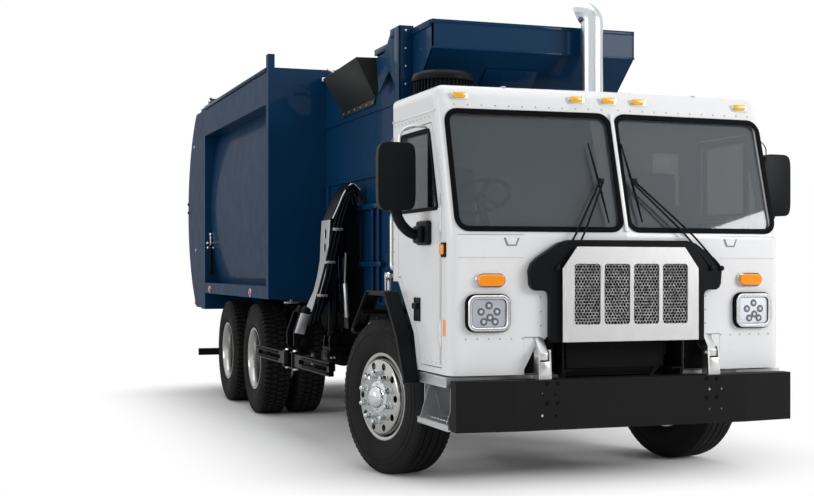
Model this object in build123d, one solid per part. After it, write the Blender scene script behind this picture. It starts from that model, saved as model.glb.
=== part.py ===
from build123d import *
import math
import os

# Side-loading garbage truck, millimetres, +Z up.
# The truck faces -Y, so +X is its left side (street) and -X is its right side (kerb).
# Stations along Y are counted from the front face of the bumper. At export every
# piece moves forward by half of the overall length, so the origin is on the ground
# below the middle of the truck.

KERB = -1
STREET = 1
SIDES = ((KERB, "kerb"), (STREET, "street"))

# ---- Main widths and heights ----
CAB_HALF_WIDTH = 1180
BODY_HALF_WIDTH = 1275
BODY_ROOF_Z = 3310

# ---- Bumper ----
BUMPER_HALF_WIDTH = CAB_HALF_WIDTH + 6
BUMPER_BOTTOM_Z = 432
BUMPER_TOP_Z = 743
BUMPER_DEPTH = 95
BUMPER_BEND_X = BUMPER_HALF_WIDTH - 380
BUMPER_SWEEP = 47
BUMPER_PLATE = 10
BUMPER_HOLE_RADIUS = 9
BUMPER_HOLE_X = 590
BUMPER_HOLE_DX = 88
BUMPER_HOLE_DZ = 130

# ---- Frame ----
RAIL_OUTER_X = 432
RAIL_WIDTH = 80
RAIL_WEB = 10
RAIL_BOTTOM_Z = 780
RAIL_TOP_Z = 1050
RAIL_FRONT_Y = 150
RAIL_REAR_Y = 8440
CROSS_MEMBER_LENGTH = 90
CROSS_MEMBER_DROP = 30
CROSS_MEMBER_STATIONS = (2100, 3000, 4900, 6293, 7900)
HORN_PLATE = 20

# ---- Wheels and axles ----
TYRE_RADIUS = 540
FRONT_TYRE_WIDTH = 305
REAR_TYRE_WIDTH = 280
TYRE_BEAD_RADIUS = 287
RIM_FLANGE_RADIUS = 304
RIM_WIDTH = 250
RIM_SHELL = 14
HUB_RADIUS = 130
HUB_CAP_RADIUS = 84
HAND_HOLE_RADIUS = 30
HAND_HOLE_CIRCLE_RADIUS = 218
FRONT_AXLE_Y = 1427
REAR_AXLE_YS = (5610, 6976)
KINGPIN_X = 968
KINGPIN_RADIUS = 24
FRONT_WHEEL_OFFSET = 160
STEER_REST = 13.5
DUAL_OUTER_X = 1120
DUAL_SPACING = 343
AXLE_TUBE_RADIUS = 75
SPINDLE_RADIUS = 44
SPINDLE_CLEARANCE = 0.5

# ---- Chassis sizes ----
AXLE_BEAM_Z = 455
AXLE_BEAM_HEIGHT = 110
AXLE_BEAM_HALF_WIDTH = 45
AXLE_DROP_X = 700
EYE_RADIUS = 42
EYE_HALF_HEIGHT = 68
KINGPIN_HALF_LENGTH = 116
LUG_TOP = 110
LUG_RADIUS = 45
KNUCKLE_WEB = 17
KNUCKLE_HALF_WIDTH = 60
SPRING_HALF_LENGTH = 700
SPRING_SEAT_HALF = 110
SPRING_SEAT = 12
SPRING_THICKNESS = 46
SPRING_RISE = 130
SPRING_WIDTH = 76
BEAM_INNER_X = 440
BEAM_WIDTH = 110
BEAM_END = 90
BEAM_DROP = 10
BEAM_DEPTH = 100
BEAM_END_DEPTH = 60
BEAM_SADDLE = 40
SEAT_CLEARANCE = 0.3
TRUNNION_HALF = 90
CUSHION_HALF = 330
CUSHION_LIFT = 110
CUSHION_HEIGHT = 70
AXLE_TUBE_HALF = 640
SPINDLE_END_X = 1000
DIFF_FRONT = 230
DIFF_BACK = 170
DIFF_RADIUS = 185
SHAFT_RADIUS = 50
SHAFT_FRONT_Z = 725
SHAFT_FLANGE = 50
ENGINE_HALF_WIDTH = 325
ENGINE_FRONT_Y = 520
ENGINE_REAR_Y = 1520
ENGINE_BOTTOM_Z = 640
ENGINE_TOP_Z = 1360
GEARBOX_HALF_WIDTH = 200
GEARBOX_REAR_Y = 2040
GEARBOX_BOTTOM_Z = 640
GEARBOX_TOP_Z = 1000
MOUNT_INSET = 160
RADIATOR_HALF_WIDTH = 410
RADIATOR_FRONT_Y = 260
RADIATOR_DEPTH = 130
RADIATOR_TOP_Z = 1385
TANK_X = 780
TANK_Z = 760
TANK_RADIUS = 290
TANK_FRONT_Y = 2280
TANK_LENGTH = 1100
TANK_BRACKET_INSET = 200
BATTERY_BOX_WIDTH = 520
BATTERY_BOX_FRONT_Y = 2200
BATTERY_BOX_LENGTH = 640
BATTERY_BOX_BOTTOM_Z = 620
STACK_X = 432
STACK_Y = 1490
STACK_RADIUS = 82
STACK_WALL = 4
STACK_TOP_Z = 3432
STACK_BEND = 150
STACK_TIP_TURN = 150
STACK_TIP_REACH = 190
STACK_TIP_DROP = 40
STACK_OPEN_DEPTH = 320
STACK_MUFFLER_LIFT = 120
STACK_MUFFLER_LENGTH = 1000
STACK_MUFFLER_RADIUS = 100
CLEANER_X = -700
CLEANER_Y = 1625
CLEANER_RADIUS = 200
CLEANER_TOP_Z = 2870
CLEANER_DOME = 70
CLEANER_HEIGHT = 700
FENDER_GAP = 10
FENDER_WIDTH = 138
FENDER_OUTER_X = CAB_HALF_WIDTH + FENDER_GAP + FENDER_WIDTH
FENDER_PLATE = 8
FENDER_LIP = 32
FENDER_FOOT_Y = 738
FENDER_FOOT_Z = 690
FENDER_KNEE_Y = 885
FENDER_KNEE_Z = 975
FENDER_TOP_FRONT_Y = 1190
FENDER_TOP_REAR_Y = 1573
FENDER_TOP_Z = 1262
FENDER_TAIL_Y = 1960
FENDER_TAIL_Z = 985
FENDER_STAY_FRONT_Y = 1730
FENDER_STAY_FRONT_Z = 1122
FENDER_STAY_REAR_Y = 1935
FENDER_STAY_REAR_Z = 980
FENDER_STAY_RADIUS = 20
STEP_OUTER_X = CAB_HALF_WIDTH + 16
STEP_INNER_X = 860
STEP_FRONT_Y = 160
STEP_REAR_Y = 742
STEP_TOP_FRONT_Y = 190
STEP_TOP_REAR_Y = 690
STEP_LOW_Z = 468
STEP_TREAD = 40
STEP_TOP_Z = 758
STEP_FASCIA = 64
STEP_SIDE = 10
STEP_SIDE_INSET = 30
HINGE_X = 600
HINGE_Y = 80
HINGE_Z = 885
HINGE_RADIUS = 14
CLEVIS_HALF = 43
CLEVIS_PLATE = 12
LUG_HALF_WIDTH = 26
RIM_FLANGE = 8
TYRE_BULGE_RADIUS = 400
DISC_THICKNESS = 20
DISC_SHOULDER_RADIUS = 196
HAND_HOLE_COUNT = 10
HAND_HOLE_PHASE = 0.25
HAND_HOLE_REACH = 12
DISC_INSET = 45
FRONT_FACE_X = 152
DRUM_INNER_X = 95
DRUM_OUTER_X = 60
DRUM_RADIUS = 205
DRUM_KNUCKLE_X = 65
HUB_CAP_LENGTH = 66
SPINDLE_REACH = 110
DUAL_DRUM_X = 690
DUAL_HUB_LENGTH = 70

# ---- Cab ----
CAB_FRONT_Y = 105
CAB_SWEEP = 0.045
CAB_BACK_Y = 1375
CAB_BOTTOM_Z = 768
CAB_WAIST_Z = 1640
CAB_RAKE = 0.289
CAB_HEADER_RADIUS = 130
CAB_WAIST_RADIUS = 150
CAB_ROOF_Z = 2605
CAB_WALL = 36
CAB_EDGE_RADIUS = 80
ARCH_FOOT_Y = 735
ARCH_KNEE_Y = 810
ARCH_KNEE_Z = 1006
ARCH_TOP_Y = 1143
ARCH_TOP_Z = 1342
TUNNEL_HALF_WIDTH = 470
TUNNEL_TOP_Z = 1430
TUNNEL_WALL = 24
PANE_INNER_X = 22
PANE_OUTER_X = CAB_HALF_WIDTH - 68
PANE_BOTTOM_Z = 1672
PANE_TOP_Z = 2436
PANE_CORNER_RADIUS = 60
PANE_THICKNESS = 8
REAR_WINDOW_INNER_X = 860
REAR_WINDOW_OUTER_X = CAB_HALF_WIDTH - 80
REAR_WINDOW_BOTTOM_Z = 1900
REAR_WINDOW_TOP_Z = 2290
DOOR_FRONT_Y = 318
DOOR_REAR_Y = 1195
DOOR_BOTTOM_Z = 806
DOOR_KNEE_Z = 1910
DOOR_TOP_Z = 2365
DOOR_TOP_FRONT_Y = 505
DOOR_GAP = 6
DOOR_THICKNESS = 36
DOOR_WINDOW_FRONT_Y = 378
DOOR_WINDOW_REAR_Y = 1128
DOOR_WINDOW_BOTTOM_Z = 1804
DOOR_WINDOW_TOP_Z = 2326
DOOR_WINDOW_TOP_FRONT_Y = 548
DOOR_SILL = 26
DOOR_CORNER_RADIUS = 40
DOOR_HINGE_LOW_Z = 950
DOOR_HINGE_HIGH_Z = 1660
DOOR_HINGE_LENGTH = 160
HINGE_LEAF = 4
HINGE_BARREL_RADIUS = 4.6
RECESS_HALF_WIDTH = 100
RECESS_DEPTH = 100
RECESS_HEIGHT = 235
SURROUND_DEPTH = 40
GRILLE_TOP_Z = 1567
GRILLE_BOTTOM_Z = 970
GRILLE_HALF_WIDTH = 482
GRILLE_TOP_HALF_WIDTH = 382
GRILLE_CHAMFER = 137
GRILLE_LAP = 30
GRILLE_PLATE = 12
GRILLE_SCREEN = 4
GRILLE_WINDOWS = 4
GRILLE_WINDOW_WIDTH = 172
GRILLE_BAR = 36
GRILLE_WINDOW_BOTTOM_Z = 1071
GRILLE_WINDOW_TOP_Z = 1459
LAMP_X = CAB_HALF_WIDTH - 225
LAMP_Z = 1159
LAMP_WIDTH = 290
LAMP_HEIGHT = 226
LAMP_DEPTH = 34
TURN_Z = 1360
TURN_WIDTH = 200
TURN_HEIGHT = 80
TURN_DEPTH = 36
MARKER_OUTER_X = CAB_HALF_WIDTH - 160
MARKER_XS = (-MARKER_OUTER_X, -224, 0, 224, MARKER_OUTER_X)
MARKER_Z = 2500
MARKER_WIDTH = 120
MARKER_HEIGHT = 40
MARKER_DEPTH = 26
WIPER_STANDOFF = 34
WIPER_FOOT_LIFT = 26
WIPER_ARM_RADIUS = 8
WIPER_BLADE_RADIUS = 12
WIPER_FOOT_RADIUS = 16
WIPER_KNEE_Z = 1640
WIPER_BEND = 60
WIPER_POINTS = {KERB: ((-500, 1440), (-367, 1640), (-130, 1995), (-185, 2240), (-110, 1722)),
                STREET: ((600, 1440), (415, 1640), (85, 1995), (40, 2240), (120, 1722))}
DASH_HALF_WIDTH = CAB_HALF_WIDTH - 80
DASH_HEIGHT = 150
DASH_DEPTH = 300
STEERING_Y = 640
STEERING_Z = 1900
STEERING_AXIS = (0, 0.5, 0.866)
STEERING_RADIUS = 200
STEERING_GRIP = 13
STEERING_HUB = 40
COLUMN_RADIUS = 28
COLUMN_GAP = 1
COLUMN_LENGTH = 400
SEAT_INNER_X = 560
SEAT_WIDTH = CAB_HALF_WIDTH - 140 - SEAT_INNER_X
SEAT_X = SEAT_INNER_X + SEAT_WIDTH / 2
SEAT_FRONT_Y = 830
SEAT_BACK_Y = 1330
SEAT_Z = 1530
SEAT_THICKNESS = 110
SEAT_TOP_Z = 2150
MIRROR_X = CAB_HALF_WIDTH + 218
MIRROR_Y = 580
MIRROR_BOTTOM_Z = 1795
MIRROR_WIDTH = 242
MIRROR_DEPTH = 120
MIRROR_HEIGHT = 440
MIRROR_TURN = 8
MIRROR_PAD = 34
MIRROR_PAD_Z = 1660
MIRROR_ARM_RADIUS = 24
MIRROR_ARM_BEND = 70

# ---- Body ----
BODY_FRONT_Y = 4840
BODY_REAR_Y = 8220
BODY_BOTTOM_Z = 1140
BODY_WALL = 40
BODY_POST = 95
BODY_POST_NUB_HEIGHT = 126
BODY_POST_NUB_WIDTH = 62
SHELL_EDGE_X = BODY_HALF_WIDTH - 160
SHELL_BULGE = 95
BOTTOM_RAIL_HEIGHT = 120
VALANCE_HEIGHT = 338
REAR_FRAME_LENGTH = 250
REAR_FRAME_BOTTOM_Z = 950
SILL_WIDTH = 80

# ---- Hopper ----
HOPPER_FRONT_Y = 2400
HOPPER_KERB_X = 556 - BODY_HALF_WIDTH
HOPPER_STREET_X = BODY_HALF_WIDTH - 415
HOPPER_TOP_Z = BODY_ROOF_Z - 70
HOPPER_WALL = 30
APRON_LIP_Y = 1635
APRON_LIP_BOTTOM_Z = HOPPER_TOP_Z - 205
APRON_FOOT_Z = HOPPER_TOP_Z - 820
CHUTE_FRONT_Y = 3180
CHUTE_REAR_Y = 4280
CHUTE_SILL_Z = HOPPER_TOP_Z - 350
CHUTE_OUT = 250
CHUTE_RISE = 260
CHUTE_PLATE = 12
APRON_PLATE = 12

# ---- Tailgate ----
TAILGATE_GAP = 10
TAILGATE_FRAME_LENGTH = 380
TAILGATE_BULGE = 620
TAILGATE_HALF_WIDTH = BODY_HALF_WIDTH - 13
TAILGATE_TOP_Z = BODY_ROOF_Z - 20
TAILGATE_BOTTOM_Z = 960
TAILGATE_WALL = 30
HINGE_LUG_XS = (BODY_HALF_WIDTH - 190, BODY_HALF_WIDTH - 105)
HINGE_PIN_Z = BODY_ROOF_Z + 90
HINGE_PIN_RADIUS = 22
EAR_PLATE = 18
HINGE_ARM_HALF = 26
TAILGATE_PIN_INSET = 38
UNDERRUN_Y = 8760
UNDERRUN_Z = 420

# ---- Arm ----
ARM_Y = 3620
ARM_WIDTH = 260
ARM_PIVOT_X = 475 - BODY_HALF_WIDTH
ARM_PIVOT_Z = 860
ELBOW_X = ARM_PIVOT_X - 50
ELBOW_Z = 2080
WRIST_X = ELBOW_X - 412
WRIST_Z = 800
ARM_PIN_RADIUS = 30
ARM_PLATE = 22
EAR_HALF = 100
BASE_OUTER_X = ARM_PIVOT_X - 240
BASE_Z = 760
BASE_PLATE = 30
BOOM_HALF_WIDTH = 60
FOREARM_HALF = 130
FOREARM_FLANGE = 12
FOREARM_OUTER = ((-20, 78), (-80, 20), (-180, -230), (-210, -640), (-260, -870), (-365, -1035))
FOREARM_INNER = ((-190, -950), (-105, -680), (-80, -290), (-20, -150), (60, -60), (70, 40), (40, 78))
FOREARM_END = ((-48, 80), (-48, -40), (45, -40), (60, 90))
CYLINDER_FOOT_X = ARM_PIVOT_X - 190
CYLINDER_FOOT_Z = 815
ROD_EYE_X = ELBOW_X - 105
ROD_EYE_Z = 1600
CYLINDER_PIN_RADIUS = 16
CYLINDER_EYE_RADIUS = 30
CYLINDER_EYE_HALF = 22
ROD_EYE_PLAY = 4
BARREL_RADIUS = 38
BARREL_LENGTH = 520
ROD_RADIUS = 20
ROD_START = 90
STROKE = 110
GRIPPER_HALF = 100
GRIPPER_LOW_Z = 590
FINGER_LENGTH = 1150
FINGER_PIVOT_X = WRIST_X - 84
FINGER_PIVOT_DY = 140
FINGER_PIN_RADIUS = 14
FINGER_EYE_RADIUS = 34
FINGER_CLEARANCE = 5
FINGER_HALF = 20
FINGER_BAR = 34
FINGER_WEB = 200
FINGER_TIP = 60

OVERALL_LENGTH = BODY_REAR_Y + REAR_FRAME_LENGTH + TAILGATE_GAP + TAILGATE_FRAME_LENGTH + TAILGATE_BULGE

os.makedirs("parts", exist_ok=True)


# ---- Shape helpers ----

def block(x0, x1, y0, y1, z0, z1):
    """A box between two corners."""
    size = (abs(x1 - x0), abs(y1 - y0), abs(z1 - z0))
    return Pos((x0 + x1) / 2, (y0 + y1) / 2, (z0 + z1) / 2) * Box(*size)


def side_block(side, x0, x1, y0, y1, z0, z1):
    """A box on one side of the truck, its X extents counted outward."""
    return block(side * x0, side * x1, y0, y1, z0, z1)


def plate_yz(points, x0, x1):
    """A flat plate parallel to the YZ plane from (y, z) points."""
    face = make_face(Polyline(*[(x0, y, z) for y, z in points], close=True))
    return extrude(face, amount=x1 - x0, dir=(1, 0, 0))


def plate_xz(points, y0, y1):
    """A flat plate parallel to the XZ plane from (x, z) points."""
    face = make_face(Polyline(*[(x, y0, z) for x, z in points], close=True))
    return extrude(face, amount=y1 - y0, dir=(0, 1, 0))


def plate_xy(points, z0, z1):
    """A flat plate parallel to the XY plane from (x, y) points."""
    face = make_face(Polyline(*[(x, y, z0) for x, y in points], close=True))
    return extrude(face, amount=z1 - z0, dir=(0, 0, 1))


def rod_x(x0, x1, y, z, radius):
    """A round bar along X."""
    turn = Location(((x0 + x1) / 2, y, z), (0, 90, 0))
    return turn * Cylinder(radius, abs(x1 - x0))


def rod_y(x, y0, y1, z, radius):
    """A round bar along Y."""
    turn = Location((x, (y0 + y1) / 2, z), (90, 0, 0))
    return turn * Cylinder(radius, abs(y1 - y0))


def rod_z(x, y, z0, z1, radius):
    """A round bar along Z."""
    return Pos(x, y, (z0 + z1) / 2) * Cylinder(radius, abs(z1 - z0))


def rod(start, end, radius):
    """A round bar between two points."""
    path = Line(start, end)
    return sweep(Plane(origin=start, z_dir=path % 0) * Circle(radius), path=path)


def bent_tube(points, bend, radius):
    """A round bar through points, with tangent arcs at the bends."""
    path = FilletPolyline(*points, radius=bend)
    return sweep(Plane(origin=points[0], z_dir=path % 0) * Circle(radius), path=path)


def ribbon_points(points, thickness):
    """Close a (u, v) polyline into a strip of even thickness on its right side."""
    normals = []
    for (u0, v0), (u1, v1) in zip(points, points[1:]):
        length = math.hypot(u1 - u0, v1 - v0)
        normals.append(((v1 - v0) / length, (u0 - u1) / length))
    inner = []
    for index, (u, v) in enumerate(points):
        first = normals[max(index - 1, 0)]
        second = normals[min(index, len(normals) - 1)]
        mean = (first[0] + second[0], first[1] + second[1])
        scale = 2 * thickness / (mean[0] ** 2 + mean[1] ** 2)
        inner.append((u + mean[0] * scale, v + mean[1] * scale))
    return list(points) + inner[::-1]


def revolved_x(points):
    """A ring about the X axis from (x, radius) points."""
    face = make_face(Polyline(*[(x, 0, r) for x, r in points], close=True))
    return revolve(face, axis=Axis.X)


def mirrored(shape):
    """The same shape on the other side of the truck."""
    return mirror(shape, about=Plane.YZ)


def both(shape):
    """A shape and its mirror image in one compound."""
    return Compound(children=[shape, mirrored(shape)])


def save(name, *shapes):
    """Move the pieces to the part's origin and write them as one node."""
    shift = Location((0, -OVERALL_LENGTH / 2, 0))
    solids = []
    for shape in shapes:
        solids.extend(shape.solids())
    moved = [solid.moved(shift) for solid in solids]
    whole = moved[0] if len(moved) == 1 else Compound(children=moved)
    export_step(whole, f"parts/{name}.step")


# ---- Chassis ----

def frame_rails():
    """Two C-section rails, joined by cross members and front horns."""
    frame = None
    for side, _ in SIDES:
        inner = RAIL_OUTER_X - RAIL_WIDTH
        rail = side_block(side, inner, RAIL_OUTER_X, RAIL_FRONT_Y, RAIL_REAR_Y, RAIL_BOTTOM_Z, RAIL_TOP_Z)
        rail -= side_block(side, inner - 1, RAIL_OUTER_X - RAIL_WEB, RAIL_FRONT_Y - 1, RAIL_REAR_Y + 1,
                           RAIL_BOTTOM_Z + RAIL_WEB, RAIL_TOP_Z - RAIL_WEB)
        horn_low = BUMPER_BOTTOM_Z + BUMPER_PLATE
        rail += side_block(side, RAIL_OUTER_X - HORN_PLATE, RAIL_OUTER_X, BUMPER_PLATE, RAIL_FRONT_Y + 250,
                           horn_low, BUMPER_TOP_Z - BUMPER_PLATE)
        rail += side_block(side, RAIL_OUTER_X - HORN_PLATE, RAIL_OUTER_X, RAIL_FRONT_Y, RAIL_FRONT_Y + 250,
                           horn_low, RAIL_BOTTOM_Z + RAIL_WEB)
        frame = rail if frame is None else frame + rail
    for station in CROSS_MEMBER_STATIONS:
        frame += block(-RAIL_OUTER_X + RAIL_WEB, RAIL_OUTER_X - RAIL_WEB, station - CROSS_MEMBER_LENGTH / 2,
                       station + CROSS_MEMBER_LENGTH / 2, RAIL_BOTTOM_Z + CROSS_MEMBER_DROP,
                       RAIL_TOP_Z - CROSS_MEMBER_DROP)
    return frame


def bumper_outline(inset):
    """Plan outline of the bumper, moved in by one plate thickness or not at all."""
    half = BUMPER_HALF_WIDTH - inset
    back = BUMPER_DEPTH + BUMPER_SWEEP
    front = inset
    return [(-BUMPER_BEND_X, front), (BUMPER_BEND_X, front), (half, BUMPER_SWEEP + front), (half, back),
            (-half, back), (-half, BUMPER_SWEEP + front)]


def front_bumper():
    """A folded channel, open at the back, with swept ends and two hole groups."""
    shell = plate_xy(bumper_outline(0), BUMPER_BOTTOM_Z, BUMPER_TOP_Z)
    hollow = plate_xy(bumper_outline(BUMPER_PLATE), BUMPER_BOTTOM_Z + BUMPER_PLATE, BUMPER_TOP_Z - BUMPER_PLATE)
    back = BUMPER_DEPTH + BUMPER_SWEEP
    hollow += block(-BUMPER_HALF_WIDTH + BUMPER_PLATE, BUMPER_HALF_WIDTH - BUMPER_PLATE, back - 20, back + 1,
                    BUMPER_BOTTOM_Z + BUMPER_PLATE, BUMPER_TOP_Z - BUMPER_PLATE)
    shell -= hollow
    middle = (BUMPER_BOTTOM_Z + BUMPER_TOP_Z) / 2
    for side in (KERB, STREET):
        for across in (-BUMPER_HOLE_DX / 2, BUMPER_HOLE_DX / 2):
            for up in (-BUMPER_HOLE_DZ / 2, BUMPER_HOLE_DZ / 2):
                shell -= rod_y(side * BUMPER_HOLE_X + across, -1, BUMPER_PLATE + 1, middle + up,
                               BUMPER_HOLE_RADIUS)
    return shell


def leaf_springs():
    """One leaf pack under each rail, with its seat on the axle and its two hangers."""
    seat_z = AXLE_BEAM_Z + AXLE_BEAM_HEIGHT / 2
    low = seat_z + SPRING_SEAT
    path = [(SPRING_HALF_LENGTH, low + SPRING_RISE), (SPRING_HALF_LENGTH / 2, low + SPRING_RISE / 4),
            (SPRING_SEAT_HALF, low), (-SPRING_SEAT_HALF, low), (-SPRING_HALF_LENGTH / 2, low + SPRING_RISE / 4),
            (-SPRING_HALF_LENGTH, low + SPRING_RISE)]
    outline = [(FRONT_AXLE_Y + y, z) for y, z in ribbon_points(path, SPRING_THICKNESS)]
    inner = RAIL_OUTER_X - SPRING_WIDTH
    pack = plate_yz(outline, inner, RAIL_OUTER_X)
    pack += block(inner, RAIL_OUTER_X, FRONT_AXLE_Y - SPRING_SEAT_HALF, FRONT_AXLE_Y + SPRING_SEAT_HALF,
                  seat_z, low + 1)
    for way in (-1, 1):
        end = FRONT_AXLE_Y + way * (SPRING_HALF_LENGTH - SPRING_SEAT_HALF)
        pack += block(inner, RAIL_OUTER_X, end - SPRING_SEAT_HALF / 2, end + SPRING_SEAT_HALF / 2,
                      low + SPRING_RISE, RAIL_BOTTOM_Z)
    return both(pack)


def rear_suspension():
    """A walking beam on each side, hung from the rail between the two axles."""
    middle = sum(REAR_AXLE_YS) / 2
    top = TYRE_RADIUS - AXLE_TUBE_RADIUS
    outer = BEAM_INNER_X + BEAM_WIDTH
    reach = (REAR_AXLE_YS[1] - REAR_AXLE_YS[0]) / 2
    near, far = middle - reach - BEAM_END, middle + reach + BEAM_END
    deck = top - BEAM_DROP
    outline = [(near, deck), (far, deck), (far, deck - BEAM_END_DEPTH), (middle, deck - BEAM_DEPTH),
               (near, deck - BEAM_END_DEPTH)]
    beam = plate_yz(outline, BEAM_INNER_X, outer)
    for station in REAR_AXLE_YS:
        beam += block(BEAM_INNER_X, outer, station - BEAM_END, station + BEAM_END, deck - 1, top + BEAM_SADDLE)
        beam -= rod_x(BEAM_INNER_X - 1, outer + 1, station, TYRE_RADIUS, AXLE_TUBE_RADIUS + SEAT_CLEARANCE)
    low = top + CUSHION_LIFT
    high = low + CUSHION_HEIGHT
    beam += block(BEAM_INNER_X, outer, middle - TRUNNION_HALF, middle + TRUNNION_HALF, deck - 1, low + 1)
    beam += block(BEAM_INNER_X, outer, middle - CUSHION_HALF, middle + CUSHION_HALF, low, high)
    beam += block(RAIL_OUTER_X - RAIL_WIDTH, outer, middle - CUSHION_HALF, middle + CUSHION_HALF, high - 1,
                  RAIL_BOTTOM_Z)
    return both(beam)


def front_axle():
    """A dropped beam with an eye and a kingpin at each end."""
    half = AXLE_BEAM_HEIGHT / 2
    end = KINGPIN_X - 25
    outline = [(-end, TYRE_RADIUS + half), (-AXLE_DROP_X, AXLE_BEAM_Z + half), (AXLE_DROP_X, AXLE_BEAM_Z + half),
               (end, TYRE_RADIUS + half), (end, TYRE_RADIUS - half), (AXLE_DROP_X - 10, AXLE_BEAM_Z - half),
               (10 - AXLE_DROP_X, AXLE_BEAM_Z - half), (-end, TYRE_RADIUS - half)]
    beam = plate_xz(outline, FRONT_AXLE_Y - AXLE_BEAM_HALF_WIDTH, FRONT_AXLE_Y + AXLE_BEAM_HALF_WIDTH)
    for side, _ in SIDES:
        x = side * KINGPIN_X
        beam += rod_z(x, FRONT_AXLE_Y, TYRE_RADIUS - EYE_HALF_HEIGHT, TYRE_RADIUS + EYE_HALF_HEIGHT, EYE_RADIUS)
        beam += rod_z(x, FRONT_AXLE_Y, TYRE_RADIUS - KINGPIN_HALF_LENGTH, TYRE_RADIUS + KINGPIN_HALF_LENGTH,
                      KINGPIN_RADIUS)
    return beam


def drive_axles():
    """Two live axles with their spindles, joined by the drive shafts."""
    whole = None
    for station in REAR_AXLE_YS:
        axle = rod_x(-AXLE_TUBE_HALF, AXLE_TUBE_HALF, station, TYRE_RADIUS, AXLE_TUBE_RADIUS)
        axle += rod_x(-SPINDLE_END_X, SPINDLE_END_X, station, TYRE_RADIUS, SPINDLE_RADIUS)
        axle += rod_y(0, station - DIFF_FRONT, station + DIFF_BACK, TYRE_RADIUS, DIFF_RADIUS)
        whole = axle if whole is None else whole + axle
    whole += rod_y(0, REAR_AXLE_YS[0], REAR_AXLE_YS[1], TYRE_RADIUS, SHAFT_RADIUS)
    nose = (0, REAR_AXLE_YS[0] - DIFF_FRONT + 20, TYRE_RADIUS + 40)
    flange_end = GEARBOX_REAR_Y + SHAFT_FLANGE
    whole += rod_y(0, GEARBOX_REAR_Y, flange_end, SHAFT_FRONT_Z, SHAFT_RADIUS + 15)
    whole += rod((0, flange_end - 10, SHAFT_FRONT_Z), nose, SHAFT_RADIUS)
    return whole


def engine():
    """Engine and gearbox as one plain block on four rail mounts."""
    block_z = (ENGINE_BOTTOM_Z, ENGINE_TOP_Z)
    mass = block(-ENGINE_HALF_WIDTH, ENGINE_HALF_WIDTH, ENGINE_FRONT_Y, ENGINE_REAR_Y, *block_z)
    mass += block(-GEARBOX_HALF_WIDTH, GEARBOX_HALF_WIDTH, ENGINE_REAR_Y, GEARBOX_REAR_Y, GEARBOX_BOTTOM_Z,
                  GEARBOX_TOP_Z)
    reach = RAIL_OUTER_X - RAIL_WEB
    for station in (ENGINE_FRONT_Y + MOUNT_INSET, ENGINE_REAR_Y - MOUNT_INSET):
        mass += block(-reach, reach, station - 50, station + 50, RAIL_BOTTOM_Z + 90, RAIL_BOTTOM_Z + 150)
    return mass


def radiator():
    """Radiator core and slatted oil cooler, on a cradle between the rails."""
    core = block(-RADIATOR_HALF_WIDTH, RADIATOR_HALF_WIDTH, RADIATOR_FRONT_Y, RADIATOR_FRONT_Y + RADIATOR_DEPTH,
                 RAIL_TOP_Z, RADIATOR_TOP_Z)
    core += block(-RAIL_OUTER_X + RAIL_WIDTH, RAIL_OUTER_X - RAIL_WIDTH, RADIATOR_FRONT_Y,
                  RADIATOR_FRONT_Y + RADIATOR_DEPTH, RAIL_BOTTOM_Z + RAIL_WEB, RAIL_TOP_Z + 1)
    return core


def fuel_tank():
    """A round tank beside the street-side rail, on two bracket feet."""
    tank = rod_y(TANK_X, TANK_FRONT_Y, TANK_FRONT_Y + TANK_LENGTH, TANK_Z, TANK_RADIUS)
    for station in (TANK_FRONT_Y + TANK_BRACKET_INSET, TANK_FRONT_Y + TANK_LENGTH - TANK_BRACKET_INSET):
        foot = block(RAIL_OUTER_X, TANK_X - TANK_RADIUS / 2, station - 30, station + 30, TANK_Z - 60,
                     RAIL_TOP_Z - 20)
        tank += foot
    return tank


def battery_box():
    """A steel box beside the kerb-side rail."""
    return block(-RAIL_OUTER_X, -RAIL_OUTER_X - BATTERY_BOX_WIDTH, BATTERY_BOX_FRONT_Y,
                 BATTERY_BOX_FRONT_Y + BATTERY_BOX_LENGTH, BATTERY_BOX_BOTTOM_Z, RAIL_TOP_Z - 40)


def exhaust_stack():
    """A vertical pipe behind the cab with a curved tip, on a foot at the frame."""
    foot_z = RAIL_TOP_Z
    tip = Vector(math.cos(math.radians(STACK_TIP_TURN)), math.sin(math.radians(STACK_TIP_TURN)), 0)
    start = Vector(STACK_X, STACK_Y, foot_z)
    bend = Vector(STACK_X, STACK_Y, STACK_TOP_Z - STACK_RADIUS)
    end = bend + tip * STACK_TIP_REACH - Vector(0, 0, STACK_TIP_DROP)
    path = FilletPolyline(start, bend, end, radius=STACK_BEND)
    pipe = sweep(Plane(origin=start, z_dir=(0, 0, 1)) * Circle(STACK_RADIUS), path=path)
    bore = sweep(Plane(origin=start, z_dir=(0, 0, 1)) * Circle(STACK_RADIUS - STACK_WALL), path=path)
    bore -= block(STACK_X - 300, STACK_X + 300, STACK_Y - 300, STACK_Y + 300, foot_z - 1,
                  STACK_TOP_Z - STACK_OPEN_DEPTH)
    pipe -= bore
    low = foot_z + STACK_MUFFLER_LIFT
    pipe += rod_z(STACK_X, STACK_Y, low, low + STACK_MUFFLER_LENGTH, STACK_MUFFLER_RADIUS)
    return pipe


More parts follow.
